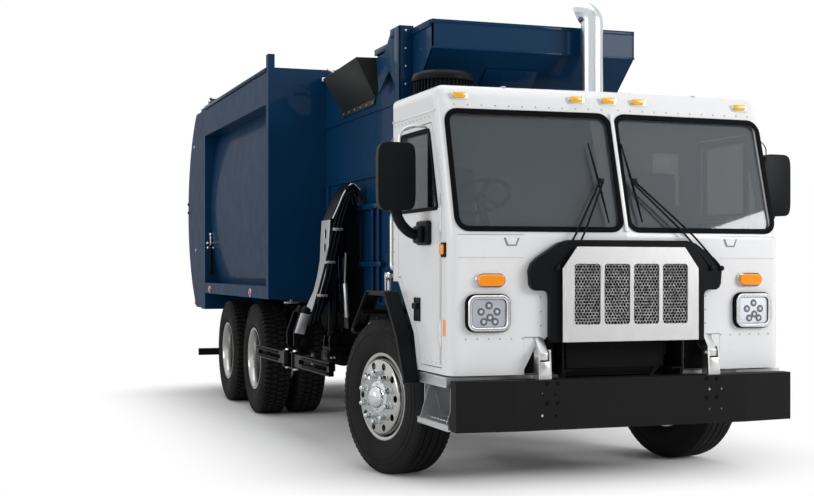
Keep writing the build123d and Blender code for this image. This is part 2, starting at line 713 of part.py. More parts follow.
def air_cleaner():
    """A domed canister behind the cab, on a post from the frame."""
    low = CLEANER_TOP_Z - CLEANER_HEIGHT
    can = rod_z(CLEANER_X, CLEANER_Y, low, CLEANER_TOP_Z - CLEANER_DOME, CLEANER_RADIUS)
    dome = Pos(CLEANER_X, CLEANER_Y, CLEANER_TOP_Z - CLEANER_DOME)
    can += dome * Cone(CLEANER_RADIUS, CLEANER_RADIUS * 0.6, CLEANER_DOME,
                       align=(Align.CENTER, Align.CENTER, Align.MIN))
    post_x = -RAIL_OUTER_X + RAIL_WIDTH / 2
    can += block(post_x - 40, post_x + 40, CLEANER_Y - 40, CLEANER_Y + 40, RAIL_TOP_Z, low + 80)
    can += block(CLEANER_X, post_x + 40, CLEANER_Y - 40, CLEANER_Y + 40, low, low + 80)
    return can


def fenders():
    """A folded guard over each front wheel, on two stays from the frame."""
    path = [(FENDER_FOOT_Y, FENDER_FOOT_Z), (FENDER_KNEE_Y, FENDER_KNEE_Z), (FENDER_TOP_FRONT_Y, FENDER_TOP_Z),
            (FENDER_TOP_REAR_Y, FENDER_TOP_Z), (FENDER_TAIL_Y, FENDER_TAIL_Z)]
    inner = CAB_HALF_WIDTH + FENDER_GAP
    outer = FENDER_OUTER_X
    guard = plate_yz(ribbon_points(path, FENDER_PLATE), inner, outer)
    guard += plate_yz(ribbon_points(path, FENDER_LIP), outer - FENDER_PLATE, outer)
    for y, z in ((FENDER_STAY_FRONT_Y, FENDER_STAY_FRONT_Z), (FENDER_STAY_REAR_Y, FENDER_STAY_REAR_Z)):
        guard += rod_x(RAIL_OUTER_X, outer - 10, y, z, FENDER_STAY_RADIUS)
    guard += block(RAIL_OUTER_X - 40, RAIL_OUTER_X + 1, FENDER_STAY_FRONT_Y - FENDER_STAY_RADIUS,
                   FENDER_STAY_FRONT_Y + FENDER_STAY_RADIUS, RAIL_TOP_Z, FENDER_STAY_FRONT_Z + FENDER_STAY_RADIUS)
    return both(guard)


def steps():
    """Two treads with side plates below each door, hung from the frame."""
    outer = STEP_OUTER_X
    tread = block(STEP_INNER_X, outer, STEP_FRONT_Y, STEP_REAR_Y, STEP_LOW_Z - STEP_TREAD, STEP_LOW_Z)
    tread += block(STEP_INNER_X, outer, STEP_TOP_FRONT_Y, STEP_TOP_REAR_Y, STEP_TOP_Z - STEP_FASCIA, STEP_TOP_Z)
    for y in (STEP_TOP_FRONT_Y, STEP_TOP_REAR_Y - STEP_SIDE):
        tread += block(STEP_INNER_X, outer - STEP_SIDE_INSET, y, y + STEP_SIDE, STEP_LOW_Z - 1,
                       STEP_TOP_Z - STEP_FASCIA + 1)
    middle = (STEP_TOP_FRONT_Y + STEP_TOP_REAR_Y) / 2
    tread += block(RAIL_OUTER_X, STEP_INNER_X + 20, RAIL_FRONT_Y + 60, RAIL_FRONT_Y + 180,
                   STEP_TOP_Z - STEP_FASCIA, STEP_TOP_Z)
    tread += block(STEP_INNER_X, STEP_INNER_X + 20, middle - 60, middle + 60, STEP_LOW_Z - STEP_TREAD,
                   STEP_TOP_Z)
    return both(tread)


def hinge_brackets():
    """A clevis with its pin on the bumper, at each front corner of the cab's tunnel."""
    parts = block(HINGE_X - CLEVIS_HALF, HINGE_X + CLEVIS_HALF, HINGE_Y - 45, HINGE_Y + 45, BUMPER_TOP_Z,
                  BUMPER_TOP_Z + 14)
    for x in (HINGE_X - CLEVIS_HALF, HINGE_X + CLEVIS_HALF - CLEVIS_PLATE):
        parts += plate_yz([(HINGE_Y - 45, BUMPER_TOP_Z), (HINGE_Y + 45, BUMPER_TOP_Z),
                           (HINGE_Y + 32, HINGE_Z + 40), (HINGE_Y - 32, HINGE_Z + 40)], x, x + CLEVIS_PLATE)
    parts += rod_x(HINGE_X - CLEVIS_HALF - 8, HINGE_X + CLEVIS_HALF + 8, HINGE_Y, HINGE_Z, HINGE_RADIUS)
    return both(parts)


# ---- Wheels ----

def tyre_ring(width, middle_x):
    """A tyre seated between the rim's flanges, about the X axis."""
    half = width / 2
    bead = RIM_WIDTH / 2 - RIM_FLANGE - 5
    profile = [(-bead, TYRE_BEAD_RADIUS), (bead, TYRE_BEAD_RADIUS), (bead, RIM_FLANGE_RADIUS + 2),
               (half - 22, RIM_FLANGE_RADIUS + 18), (half, TYRE_BULGE_RADIUS), (half - 6, TYRE_RADIUS - 60),
               (half - 34, TYRE_RADIUS - 4), (half - 60, TYRE_RADIUS)]
    profile += [(-x, r) for x, r in profile[:1:-1]]
    return revolved_x([(x + middle_x, r) for x, r in profile])


def rim_shell(middle_x):
    """The rim's barrel with a flange at both ends."""
    half = RIM_WIDTH / 2
    outer = TYRE_BEAD_RADIUS - 1
    inner = outer - RIM_SHELL
    profile = [(-half, RIM_FLANGE_RADIUS), (RIM_FLANGE - half, RIM_FLANGE_RADIUS), (RIM_FLANGE - half, outer),
               (half - RIM_FLANGE, outer), (half - RIM_FLANGE, RIM_FLANGE_RADIUS), (half, RIM_FLANGE_RADIUS),
               (half, inner), (-half, inner)]
    return revolved_x([(x + middle_x, r) for x, r in profile])


def rim_disc(rim_x, face_x, way):
    """A dished disc from the barrel at rim_x to its flat face at face_x."""
    outer = TYRE_BEAD_RADIUS - RIM_SHELL / 2
    thick = way * DISC_THICKNESS
    profile = [(rim_x, outer), (rim_x + thick, outer), (face_x - thick * 0.3, DISC_SHOULDER_RADIUS + 18),
               (face_x, DISC_SHOULDER_RADIUS), (face_x, HUB_RADIUS - 20), (face_x - thick, HUB_RADIUS - 20),
               (face_x - thick, DISC_SHOULDER_RADIUS - 8), (face_x - thick * 1.4, DISC_SHOULDER_RADIUS + 6)]
    return revolved_x(profile)


def hand_holes(rim_x, face_x):
    """Bars that cut the hand holes through a disc."""
    low = min(rim_x, face_x) - HAND_HOLE_REACH
    high = max(rim_x, face_x) + HAND_HOLE_REACH
    holes = []
    for index in range(HAND_HOLE_COUNT):
        turn = math.tau * (index + HAND_HOLE_PHASE) / HAND_HOLE_COUNT
        holes.append(rod_x(low, high, HAND_HOLE_CIRCLE_RADIUS * math.cos(turn),
                           HAND_HOLE_CIRCLE_RADIUS * math.sin(turn), HAND_HOLE_RADIUS))
    return holes


def front_rim():
    """Front rim, disc, drum, hub and hub cap, bored for the spindle."""
    rim_x = RIM_WIDTH / 2 - DISC_INSET
    wheel = rim_disc(rim_x, FRONT_FACE_X, 1) + rim_shell(0)
    wheel += rod_x(-DRUM_INNER_X, DRUM_OUTER_X, 0, 0, DRUM_RADIUS)
    wheel += rod_x(DRUM_OUTER_X - 1, FRONT_FACE_X, 0, 0, HUB_RADIUS)
    wheel += rod_x(FRONT_FACE_X - 1, FRONT_FACE_X + HUB_CAP_LENGTH, 0, 0, HUB_CAP_RADIUS)
    wheel -= rod_x(-DRUM_INNER_X - 1, SPINDLE_REACH + 10, 0, 0, SPINDLE_RADIUS + SPINDLE_CLEARANCE)
    return wheel - hand_holes(rim_x, FRONT_FACE_X)


def dual_rim():
    """Two rims back to back with their drum and hub, bored for the spindle."""
    inner_x = DUAL_OUTER_X - DUAL_SPACING
    middle = DUAL_OUTER_X - DUAL_SPACING / 2
    outer_rim_x = DUAL_OUTER_X - RIM_WIDTH / 2 + DISC_INSET
    inner_rim_x = inner_x + RIM_WIDTH / 2 - DISC_INSET
    wheel = rim_disc(outer_rim_x, middle, -1) + rim_disc(inner_rim_x, middle, 1)
    wheel += rim_shell(DUAL_OUTER_X)
    wheel += rim_shell(inner_x)
    wheel += rod_x(DUAL_DRUM_X, middle, 0, 0, DRUM_RADIUS - 40)
    wheel += rod_x(middle - 1, middle + DUAL_HUB_LENGTH, 0, 0, HUB_RADIUS)
    wheel += rod_x(middle + DUAL_HUB_LENGTH - 1, middle + DUAL_HUB_LENGTH + 40, 0, 0, HUB_CAP_RADIUS)
    wheel -= rod_x(DUAL_DRUM_X - 1, SPINDLE_END_X + 10, 0, 0, SPINDLE_RADIUS + SPINDLE_CLEARANCE)
    return wheel - hand_holes(outer_rim_x, inner_rim_x)


def at_front_wheel(side, shape):
    """Put a shape, built outward along X from the kingpin, on its steered knuckle."""
    placed = shape if side > 0 else mirrored(shape)
    turn = Location((side * KINGPIN_X, FRONT_AXLE_Y, TYRE_RADIUS), (0, 0, STEER_REST))
    return placed.moved(turn)


def at_rear_wheel(side, station, shape):
    """Put a shape, built outward along X from the truck's middle, on its axle."""
    placed = shape if side > 0 else mirrored(shape)
    return placed.moved(Location((0, station, TYRE_RADIUS)))


def knuckle():
    """Two lugs on the kingpin, joined by a web that carries the spindle."""
    web_x = DRUM_KNUCKLE_X - KNUCKLE_WEB - 2
    body = block(web_x, web_x + KNUCKLE_WEB, -KNUCKLE_HALF_WIDTH, KNUCKLE_HALF_WIDTH, -LUG_TOP, LUG_TOP)
    for low in (EYE_HALF_HEIGHT + 1, -LUG_TOP):
        lug = block(0, web_x + 1, -LUG_RADIUS, LUG_RADIUS, low, low + LUG_TOP - EYE_HALF_HEIGHT - 1)
        lug += rod_z(0, 0, low, low + LUG_TOP - EYE_HALF_HEIGHT - 1, LUG_RADIUS)
        body += lug
    body -= rod_z(0, 0, -LUG_TOP - 1, LUG_TOP + 1, KINGPIN_RADIUS + 0.5)
    body += rod_x(web_x, FRONT_WHEEL_OFFSET + SPINDLE_REACH, 0, 0, SPINDLE_RADIUS)
    return body


# ---- Cab ----

def cab_profile(inset):
    """Side outline of the cab in its middle plane, moved in by inset."""
    roof_y = CAB_FRONT_Y + (CAB_ROOF_Z - CAB_WAIST_Z) * CAB_RAKE
    corners = [(CAB_FRONT_Y, CAB_BOTTOM_Z), (CAB_FRONT_Y, CAB_WAIST_Z), (roof_y, CAB_ROOF_Z),
               (CAB_BACK_Y + 100, CAB_ROOF_Z), (CAB_BACK_Y + 100, ARCH_TOP_Z), (ARCH_TOP_Y, ARCH_TOP_Z),
               (ARCH_KNEE_Y, ARCH_KNEE_Z), (ARCH_FOOT_Y, CAB_BOTTOM_Z)]
    wire = Polyline(*[(0, y, z) for y, z in corners], close=True)
    face = make_face(wire)
    header = [v for v in face.vertices() if abs(v.Z - CAB_ROOF_Z) < 1 and v.Y < CAB_BACK_Y]
    face = fillet(header, CAB_HEADER_RADIUS)
    waist = [v for v in face.vertices() if abs(v.Z - CAB_WAIST_Z) < 1 and v.Y < CAB_FRONT_Y + 1]
    face = fillet(waist, CAB_WAIST_RADIUS)
    return offset(face, amount=-inset, kind=Kind.INTERSECTION) if inset else face


def cab_volume(inset):
    """The cab's envelope: its outline swept back from the middle to both sides."""
    reach = CAB_HALF_WIDTH - inset
    length = reach * math.hypot(1, CAB_SWEEP)
    half = extrude(cab_profile(inset), amount=length, dir=(1, CAB_SWEEP, 0))
    whole = half + mirrored(half)
    limit = block(-reach - 1, reach + 1, 0, CAB_BACK_Y - inset, 0, CAB_ROOF_Z + 1)
    return whole & limit


def cab_outside():
    """The envelope with its front, roof and back edges rounded along both sides."""
    envelope = cab_volume(0)
    rounded = []
    for edge in envelope.edges():
        middle = edge @ 0.5
        on_side = abs(abs(middle.X) - CAB_HALF_WIDTH) < 1
        upper = middle.Z > ARCH_TOP_Z + 1
        front = middle.Y < DOOR_FRONT_Y - CAB_EDGE_RADIUS and middle.Z > CAB_BOTTOM_Z + 1
        if on_side and (upper or front):
            rounded.append(edge)
    return fillet(rounded, CAB_EDGE_RADIUS)


def windshield_openings(margin):
    """Prisms along Y through both front panes."""
    width = PANE_OUTER_X - PANE_INNER_X - 2 * margin
    height = PANE_TOP_Z - PANE_BOTTOM_Z - 2 * margin
    middle_x = (PANE_INNER_X + PANE_OUTER_X) / 2
    middle_z = (PANE_BOTTOM_Z + PANE_TOP_Z) / 2
    plane = Plane(origin=(middle_x, 0, middle_z), x_dir=(1, 0, 0), z_dir=(0, 1, 0))
    face = plane * RectangleRounded(width, height, PANE_CORNER_RADIUS)
    pane = extrude(face, amount=600, dir=(0, 1, 0))
    return pane + mirrored(pane)


def door_outline(gap):
    """Side outline of the door opening, or of the door with its gap."""
    points = [(DOOR_FRONT_Y, DOOR_BOTTOM_Z), (DOOR_FRONT_Y, DOOR_KNEE_Z), (DOOR_TOP_FRONT_Y, DOOR_TOP_Z),
              (DOOR_REAR_Y, DOOR_TOP_Z), (DOOR_REAR_Y, ARCH_TOP_Z + DOOR_SILL), (ARCH_TOP_Y, ARCH_TOP_Z + DOOR_SILL),
              (ARCH_KNEE_Y - DOOR_SILL * 0.6, ARCH_KNEE_Z + DOOR_SILL * 0.4),
              (ARCH_FOOT_Y - DOOR_SILL * 0.8, DOOR_BOTTOM_Z)]
    face = make_face(Polyline(*[(0, y, z) for y, z in points], close=True))
    top = [v for v in face.vertices() if abs(v.Z - DOOR_TOP_Z) < 1]
    face = fillet(top, DOOR_CORNER_RADIUS)
    return offset(face, amount=-gap, kind=Kind.INTERSECTION) if gap else face


def door_window():
    """Side outline of the door's window."""
    points = [(DOOR_WINDOW_FRONT_Y, DOOR_WINDOW_BOTTOM_Z), (DOOR_WINDOW_TOP_FRONT_Y, DOOR_WINDOW_TOP_Z),
              (DOOR_WINDOW_REAR_Y, DOOR_WINDOW_TOP_Z), (DOOR_WINDOW_REAR_Y, DOOR_WINDOW_BOTTOM_Z)]
    return make_face(Polyline(*[(0, y, z) for y, z in points], close=True))


def across(face, x0, x1):
    """A side outline in the middle plane, extruded between two X stations."""
    return extrude(face.moved(Location((x0, 0, 0))), amount=x1 - x0, dir=(1, 0, 0))


def cab_shell():
    """The hollow cab with its engine tunnel, hinge recesses, windows and door openings."""
    shell = cab_outside() - cab_volume(CAB_WALL)
    outer = TUNNEL_HALF_WIDTH + TUNNEL_WALL
    top = TUNNEL_TOP_Z + TUNNEL_WALL
    shell += block(-outer, outer, CAB_FRONT_Y + CAB_WALL, CAB_BACK_Y, CAB_BOTTOM_Z, top)
    recess_outer = HINGE_X + RECESS_HALF_WIDTH
    recess_back = CAB_FRONT_Y + RECESS_DEPTH
    recess_top = CAB_BOTTOM_Z + RECESS_HEIGHT
    for side, _ in SIDES:
        shell += side_block(side, outer - 1, recess_outer + TUNNEL_WALL, CAB_FRONT_Y + CAB_WALL + 10,
                            recess_back + TUNNEL_WALL, CAB_BOTTOM_Z, recess_top + TUNNEL_WALL)
        shell -= side_block(side, TUNNEL_HALF_WIDTH - 1, recess_outer, 0, recess_back, 0, recess_top)
    shell -= block(-TUNNEL_HALF_WIDTH, TUNNEL_HALF_WIDTH, 0, CAB_BACK_Y + 1, 0, TUNNEL_TOP_Z)
    shell -= windshield_openings(0)
    for side, _ in SIDES:
        inner_x = CAB_HALF_WIDTH - CAB_WALL - 1
        start, end = (inner_x, CAB_HALF_WIDTH + 1) if side > 0 else (-CAB_HALF_WIDTH - 1, -inner_x)
        shell -= across(door_outline(0), start, end)
        shell -= side_block(side, REAR_WINDOW_INNER_X, REAR_WINDOW_OUTER_X, CAB_BACK_Y - CAB_WALL - 1,
                            CAB_BACK_Y + 1, REAR_WINDOW_BOTTOM_Z, REAR_WINDOW_TOP_Z)
        lug = [(HINGE_Y - 24, HINGE_Z - 24), (HINGE_Y - 24, HINGE_Z + 16), (CAB_FRONT_Y + 50, recess_top + 1),
               (recess_back + 1, recess_top + 1), (recess_back + 1, HINGE_Z + 50), (HINGE_Y + 20, HINGE_Z - 24)]
        shell += plate_yz(lug, side * HINGE_X - LUG_HALF_WIDTH, side * HINGE_X + LUG_HALF_WIDTH)
        shell -= rod_x(side * HINGE_X - 40, side * HINGE_X + 40, HINGE_Y, HINGE_Z, HINGE_RADIUS + 0.4)
    return shell


def below_waist():
    """The space of the cab's lower pressing; the upper one is welded on at the waist."""
    reach = CAB_HALF_WIDTH + 1
    return block(-reach, reach, 0, CAB_BACK_Y + 1, 0, CAB_WAIST_Z)


def cab_glass():
    """Two windshield panes and two rear panes, seated in the walls."""
    middle = (CAB_WALL - PANE_THICKNESS) / 2
    layer = cab_volume(middle) - cab_volume(middle + PANE_THICKNESS)
    front = layer & windshield_openings(0)
    rear_y = CAB_BACK_Y - CAB_WALL + middle
    panes = [front]
    for side, _ in SIDES:
        panes.append(side_block(side, REAR_WINDOW_INNER_X, REAR_WINDOW_OUTER_X, rear_y,
                                rear_y + PANE_THICKNESS, REAR_WINDOW_BOTTOM_Z, REAR_WINDOW_TOP_Z))
    return panes


def front_slab(depth, base=0):
    """A slab on the cab's swept front face, from base outward by depth."""
    near = CAB_FRONT_Y - base
    sweep_y = CAB_SWEEP * CAB_HALF_WIDTH
    outline = [(0, near - depth), (CAB_HALF_WIDTH, near - depth + sweep_y), (CAB_HALF_WIDTH, near + sweep_y),
               (0, near), (-CAB_HALF_WIDTH, near + sweep_y), (-CAB_HALF_WIDTH, near - depth + sweep_y)]
    return plate_xy(outline, 0, CAB_WAIST_Z)


def mirrored_outline(points):
    """Complete a half outline of (x, z) points about the middle plane."""
    return points + [(-x, z) for x, z in points[::-1]]


def grille_surround():
    """The black collar around the grille, with a shoulder on each side."""
    half = [(447, GRILLE_TOP_Z + 40), (648, GRILLE_TOP_Z - 74), (688, GRILLE_TOP_Z - 138),
            (682, GRILLE_TOP_Z - 258), (548, GRILLE_TOP_Z - 262), (548, GRILLE_BOTTOM_Z - 4)]
    collar = plate_xz(mirrored_outline(half), 0, 300) & front_slab(SURROUND_DEPTH)
    hole = [(x - GRILLE_LAP, z - GRILLE_LAP) for x, z in grille_half()[:2]]
    hole += [(GRILLE_HALF_WIDTH - GRILLE_LAP, GRILLE_BOTTOM_Z + GRILLE_LAP)]
    return collar - plate_xz(mirrored_outline(hole), -1, 300)


def grille_half():
    """Right half of the grille plate's outline."""
    return [(GRILLE_TOP_HALF_WIDTH, GRILLE_TOP_Z), (GRILLE_HALF_WIDTH, GRILLE_TOP_Z - GRILLE_CHAMFER),
            (GRILLE_HALF_WIDTH, GRILLE_BOTTOM_Z)]


def grille_plate():
    """The bright plate with four screened windows."""
    front = CAB_FRONT_Y - SURROUND_DEPTH
    plate = plate_xz(mirrored_outline(grille_half()), front - GRILLE_PLATE, front)
    pitch = GRILLE_WINDOW_WIDTH + GRILLE_BAR
    for index in range(GRILLE_WINDOWS):
        x = (index - (GRILLE_WINDOWS - 1) / 2) * pitch
        plate -= block(x - GRILLE_WINDOW_WIDTH / 2, x + GRILLE_WINDOW_WIDTH / 2, front - GRILLE_PLATE - 1,
                       front - GRILLE_SCREEN, GRILLE_WINDOW_BOTTOM_Z, GRILLE_WINDOW_TOP_Z)
    return plate


def front_lamps():
    """Head lamps and turn lamps on the swept front."""
    solids = []
    for side, _ in SIDES:
        head = side_block(side, LAMP_X - LAMP_WIDTH / 2, LAMP_X + LAMP_WIDTH / 2, -200, 300,
                          LAMP_Z - LAMP_HEIGHT / 2, LAMP_Z + LAMP_HEIGHT / 2)
        solids.append(head & front_slab(LAMP_DEPTH))
        turn = side_block(side, LAMP_X - TURN_WIDTH / 2, LAMP_X + TURN_WIDTH / 2, -200, 300,
                          TURN_Z - TURN_HEIGHT / 2, TURN_Z + TURN_HEIGHT / 2)
        solids.append(turn & front_slab(TURN_DEPTH))
    return solids


def marker_lamps():
    """Five small lamps along the header, seated on its slope."""
    solids = []
    face_y = CAB_FRONT_Y + (MARKER_Z - CAB_WAIST_Z) * CAB_RAKE
    for x in MARKER_XS:
        y = face_y + CAB_SWEEP * abs(x)
        lamp = block(x - MARKER_WIDTH / 2, x + MARKER_WIDTH / 2, y - MARKER_DEPTH, y + 60,
                     MARKER_Z - MARKER_HEIGHT / 2, MARKER_Z + MARKER_HEIGHT / 2)
        solids.append(lamp - cab_volume(0))
    return solids


def wipers():
    """Two parked wipers: blade, twin arms and a foot on the waist."""
    solids = []
    for side, _ in SIDES:
        points = []
        for x, z in WIPER_POINTS[side]:
            lift = WIPER_STANDOFF if z > WIPER_KNEE_Z else SURROUND_DEPTH + WIPER_FOOT_LIFT
            rake = max(0, z - CAB_WAIST_Z) * CAB_RAKE
            points.append((x, CAB_FRONT_Y + CAB_SWEEP * abs(x) + rake - lift, z))
        foot, knee, pivot, blade_top, blade_bottom = points
        arm = bent_tube([foot, knee, pivot], WIPER_BEND, WIPER_ARM_RADIUS)
        arm += rod(blade_top, blade_bottom, WIPER_BLADE_RADIUS)
        arm += block(pivot[0] - 12, pivot[0] + 12, pivot[1] - 9, pivot[1] + 9, pivot[2] - 20, pivot[2] + 20)
        base_y = CAB_FRONT_Y + CAB_SWEEP * (abs(foot[0]) - WIPER_FOOT_RADIUS) - SURROUND_DEPTH
        arm += rod_y(foot[0], foot[1] - WIPER_ARM_RADIUS, base_y, foot[2], WIPER_FOOT_RADIUS)
        solids.append(arm)
    return solids


def cab_interior():
    """Dashboard across the tunnel, with the steering column."""
    low = TUNNEL_TOP_Z + TUNNEL_WALL
    front = CAB_FRONT_Y + CAB_WALL + CAB_SWEEP * DASH_HALF_WIDTH
    outline = [(front, low), (front, low + DASH_HEIGHT), (front + DASH_DEPTH / 2, low + DASH_HEIGHT),
               (front + DASH_DEPTH, low + DASH_HEIGHT * 0.4), (front + DASH_DEPTH, low)]
    dash = plate_yz(outline, -DASH_HALF_WIDTH, DASH_HALF_WIDTH)
    hub = Vector(*steering_centre()) - Vector(*STEERING_AXIS) * (COLUMN_GAP + STEERING_HUB / 2)
    foot = hub - Vector(*STEERING_AXIS) * COLUMN_LENGTH
    return dash + rod(foot, hub, COLUMN_RADIUS)


def steering_centre():
    """Centre of the steering wheel."""
    return (KERB * SEAT_X, STEERING_Y, STEERING_Z)


def steering_wheel():
    """Rim, hub and three spokes about the column's axis."""
    plane = Plane(origin=steering_centre(), x_dir=(1, 0, 0), z_dir=STEERING_AXIS)
    wheel = Torus(STEERING_RADIUS, STEERING_GRIP)
    wheel += Cylinder(STEERING_HUB, STEERING_HUB)
    for turn in (0, 120, 240):
        spoke = Pos(STEERING_RADIUS / 2, 0, 0) * Box(STEERING_RADIUS, 34, 10)
        wheel += Rot(0, 0, turn + 90) * spoke
    return plane.location * wheel


def seats():
    """Two seats on pedestals above the wheel arches."""
    seat = side_block(1, SEAT_X - SEAT_WIDTH / 2, SEAT_X + SEAT_WIDTH / 2, SEAT_FRONT_Y, SEAT_BACK_Y,
                      SEAT_Z - SEAT_THICKNESS, SEAT_Z)
    seat += block(SEAT_X - SEAT_WIDTH / 2, SEAT_X + SEAT_WIDTH / 2, SEAT_BACK_Y - SEAT_THICKNESS, SEAT_BACK_Y,
                  SEAT_Z - 1, SEAT_TOP_Z)
    seat += block(SEAT_X - SEAT_WIDTH / 3, SEAT_X + SEAT_WIDTH / 3, ARCH_TOP_Y + 20, SEAT_BACK_Y - 20,
                  ARCH_TOP_Z + CAB_WALL, SEAT_Z - SEAT_THICKNESS + 1)
    return both(seat)


def door(side):
    """One door with its window opening and the leaf and barrel of its hinge."""
    inner_x = CAB_HALF_WIDTH - DOOR_THICKNESS
    panel = across(door_outline(DOOR_GAP), inner_x, CAB_HALF_WIDTH)
    panel -= across(door_window(), inner_x - 1, CAB_HALF_WIDTH + 1)
    barrel_y = DOOR_FRONT_Y + DOOR_GAP / 2
    barrel_x = CAB_HALF_WIDTH + HINGE_LEAF
    for low in (DOOR_HINGE_LOW_Z, DOOR_HINGE_HIGH_Z):
        panel += rod_z(barrel_x, barrel_y, low, low + DOOR_HINGE_LENGTH, HINGE_BARREL_RADIUS)
        panel += block(CAB_HALF_WIDTH - 1, barrel_x, barrel_y, barrel_y + 20, low, low + DOOR_HINGE_LENGTH) \
            - block(CAB_HALF_WIDTH - 2, CAB_HALF_WIDTH, 0, DOOR_FRONT_Y + DOOR_GAP, 0, CAB_ROOF_Z)
    return panel if side > 0 else mirrored(panel)


def door_glass(side):
    """The pane of one door."""
    middle = CAB_HALF_WIDTH - (DOOR_THICKNESS + PANE_THICKNESS) / 2
    pane = across(door_window(), middle, middle + PANE_THICKNESS)
    return pane if side > 0 else mirrored(pane)


def mirror_assembly(side):
    """Mirror head on a bent arm from a block on the door."""
    arm = block(CAB_HALF_WIDTH, CAB_HALF_WIDTH + MIRROR_PAD, MIRROR_Y - 60, MIRROR_Y + 130, MIRROR_PAD_Z - 75,
                MIRROR_PAD_Z + 75)
    points = [(CAB_HALF_WIDTH + MIRROR_PAD - 5, MIRROR_Y + 40, MIRROR_PAD_Z),
              (MIRROR_X, MIRROR_Y + 40, MIRROR_PAD_Z + 20),
              (MIRROR_X, MIRROR_Y, MIRROR_BOTTOM_Z + 40)]
    arm += bent_tube(points, MIRROR_ARM_BEND, MIRROR_ARM_RADIUS)
    head = Box(MIRROR_WIDTH, MIRROR_DEPTH, MIRROR_HEIGHT)
    head = fillet(head.edges().filter_by(Axis.Z), MIRROR_DEPTH * 0.35)
    place = Location((MIRROR_X, MIRROR_Y, MIRROR_BOTTOM_Z + MIRROR_HEIGHT / 2), (0, 0, MIRROR_TURN))
    arm += head.moved(place)
    stay_z = DOOR_WINDOW_TOP_Z + 8
    arm += block(CAB_HALF_WIDTH, MIRROR_X - 20, MIRROR_Y + 20, MIRROR_Y + 44, stay_z, stay_z + 12)
    arm += block(MIRROR_X - 44, MIRROR_X - 20, MIRROR_Y + 20, MIRROR_Y + 44, MIRROR_BOTTOM_Z + MIRROR_HEIGHT - 1,
                 stay_z + 1)
    return arm if side > 0 else mirrored(arm)


# ---- Body, hopper and tailgate ----

def shell_section(inset):
    """Cross section of the body's barrel: bowed sides, flat roof and floor."""
    edge = SHELL_EDGE_X - inset
    low = BODY_BOTTOM_Z + inset
    high = BODY_ROOF_Z - inset
    bow_low = BODY_BOTTOM_Z + BOTTOM_RAIL_HEIGHT
    bow_high = BODY_ROOF_Z - VALANCE_HEIGHT
    middle = (bow_low + bow_high) / 2
    right = Polyline((-edge, low), (edge, low), (edge, bow_low))
    right_bow = ThreePointArc((edge, bow_low), (edge + SHELL_BULGE, middle), (edge, bow_high))
    top = Polyline((edge, bow_high), (edge, high), (-edge, high), (-edge, bow_high))
    left_bow = ThreePointArc((-edge, bow_high), (-edge - SHELL_BULGE, middle), (-edge, bow_low))
    close_line = Line((-edge, bow_low), (-edge, low))
    return make_face([right, right_bow, top, left_bow, close_line])


def along(section, y0, y1):
    """A cross section of (x, z) extruded along Y."""
    plane = Plane(origin=(0, y0, 0), x_dir=(1, 0, 0), z_dir=(0, -1, 0))
    return extrude(plane * section, amount=y1 - y0, dir=(0, 1, 0))


def body_shell():
    """The load body: bowed barrel between box rails, end posts, bulkheads and sills."""
    frame_end = BODY_REAR_Y + REAR_FRAME_LENGTH
    barrel = along(shell_section(0), BODY_FRONT_Y, frame_end)
    low_z = BODY_BOTTOM_Z
    for side, _ in SIDES:
        inner = SHELL_EDGE_X - 1
        barrel += side_block(side, inner, BODY_HALF_WIDTH, BODY_FRONT_Y, frame_end, low_z,
                             low_z + BOTTOM_RAIL_HEIGHT)
        barrel += side_block(side, inner, BODY_HALF_WIDTH, BODY_FRONT_Y, frame_end,
                             BODY_ROOF_Z - VALANCE_HEIGHT, BODY_ROOF_Z)
        barrel += side_block(side, inner, BODY_HALF_WIDTH, BODY_FRONT_Y, BODY_FRONT_Y + BODY_POST, low_z,
                             BODY_ROOF_Z)
        barrel += side_block(side, BODY_HALF_WIDTH - BODY_POST_NUB_WIDTH, BODY_HALF_WIDTH, BODY_FRONT_Y,
                             BODY_FRONT_Y + BODY_POST, BODY_ROOF_Z - 1, BODY_ROOF_Z + BODY_POST_NUB_HEIGHT)
        barrel += side_block(side, inner, BODY_HALF_WIDTH, BODY_REAR_Y, frame_end, REAR_FRAME_BOTTOM_Z,
                             BODY_ROOF_Z)
        barrel += side_block(side, RAIL_OUTER_X - SILL_WIDTH, RAIL_OUTER_X, HOPPER_FRONT_Y, frame_end,
                             RAIL_TOP_Z, low_z)
        for lug in HINGE_LUG_XS:
            ear = plate_yz([(frame_end - 90, BODY_ROOF_Z - 1), (frame_end, BODY_ROOF_Z - 1),
                            (frame_end, HINGE_PIN_Z), (frame_end - 15, HINGE_PIN_Z + 40),
                            (frame_end - 60, HINGE_PIN_Z + 40), (frame_end - 90, HINGE_PIN_Z)],
                           side * lug - EAR_PLATE / 2, side * lug + EAR_PLATE / 2)
            barrel += ear
        pin_inner = HINGE_LUG_XS[0] - EAR_PLATE / 2 - 5
        pin_outer = HINGE_LUG_XS[1] + EAR_PLATE / 2 + 5
        barrel += rod_x(side * pin_inner, side * pin_outer, frame_end - TAILGATE_PIN_INSET, HINGE_PIN_Z,
                        HINGE_PIN_RADIUS)
    barrel += block(-BODY_HALF_WIDTH, BODY_HALF_WIDTH, BODY_REAR_Y, frame_end, REAR_FRAME_BOTTOM_Z, low_z + 1) \
        - block(-RAIL_OUTER_X - 2, RAIL_OUTER_X + 2, BODY_REAR_Y - 1, frame_end + 1, 0, RAIL_TOP_Z)
    barrel -= along(shell_section(BODY_WALL), BODY_FRONT_Y - 1, frame_end + 1)
    barrel += front_bulkhead()
    return barrel


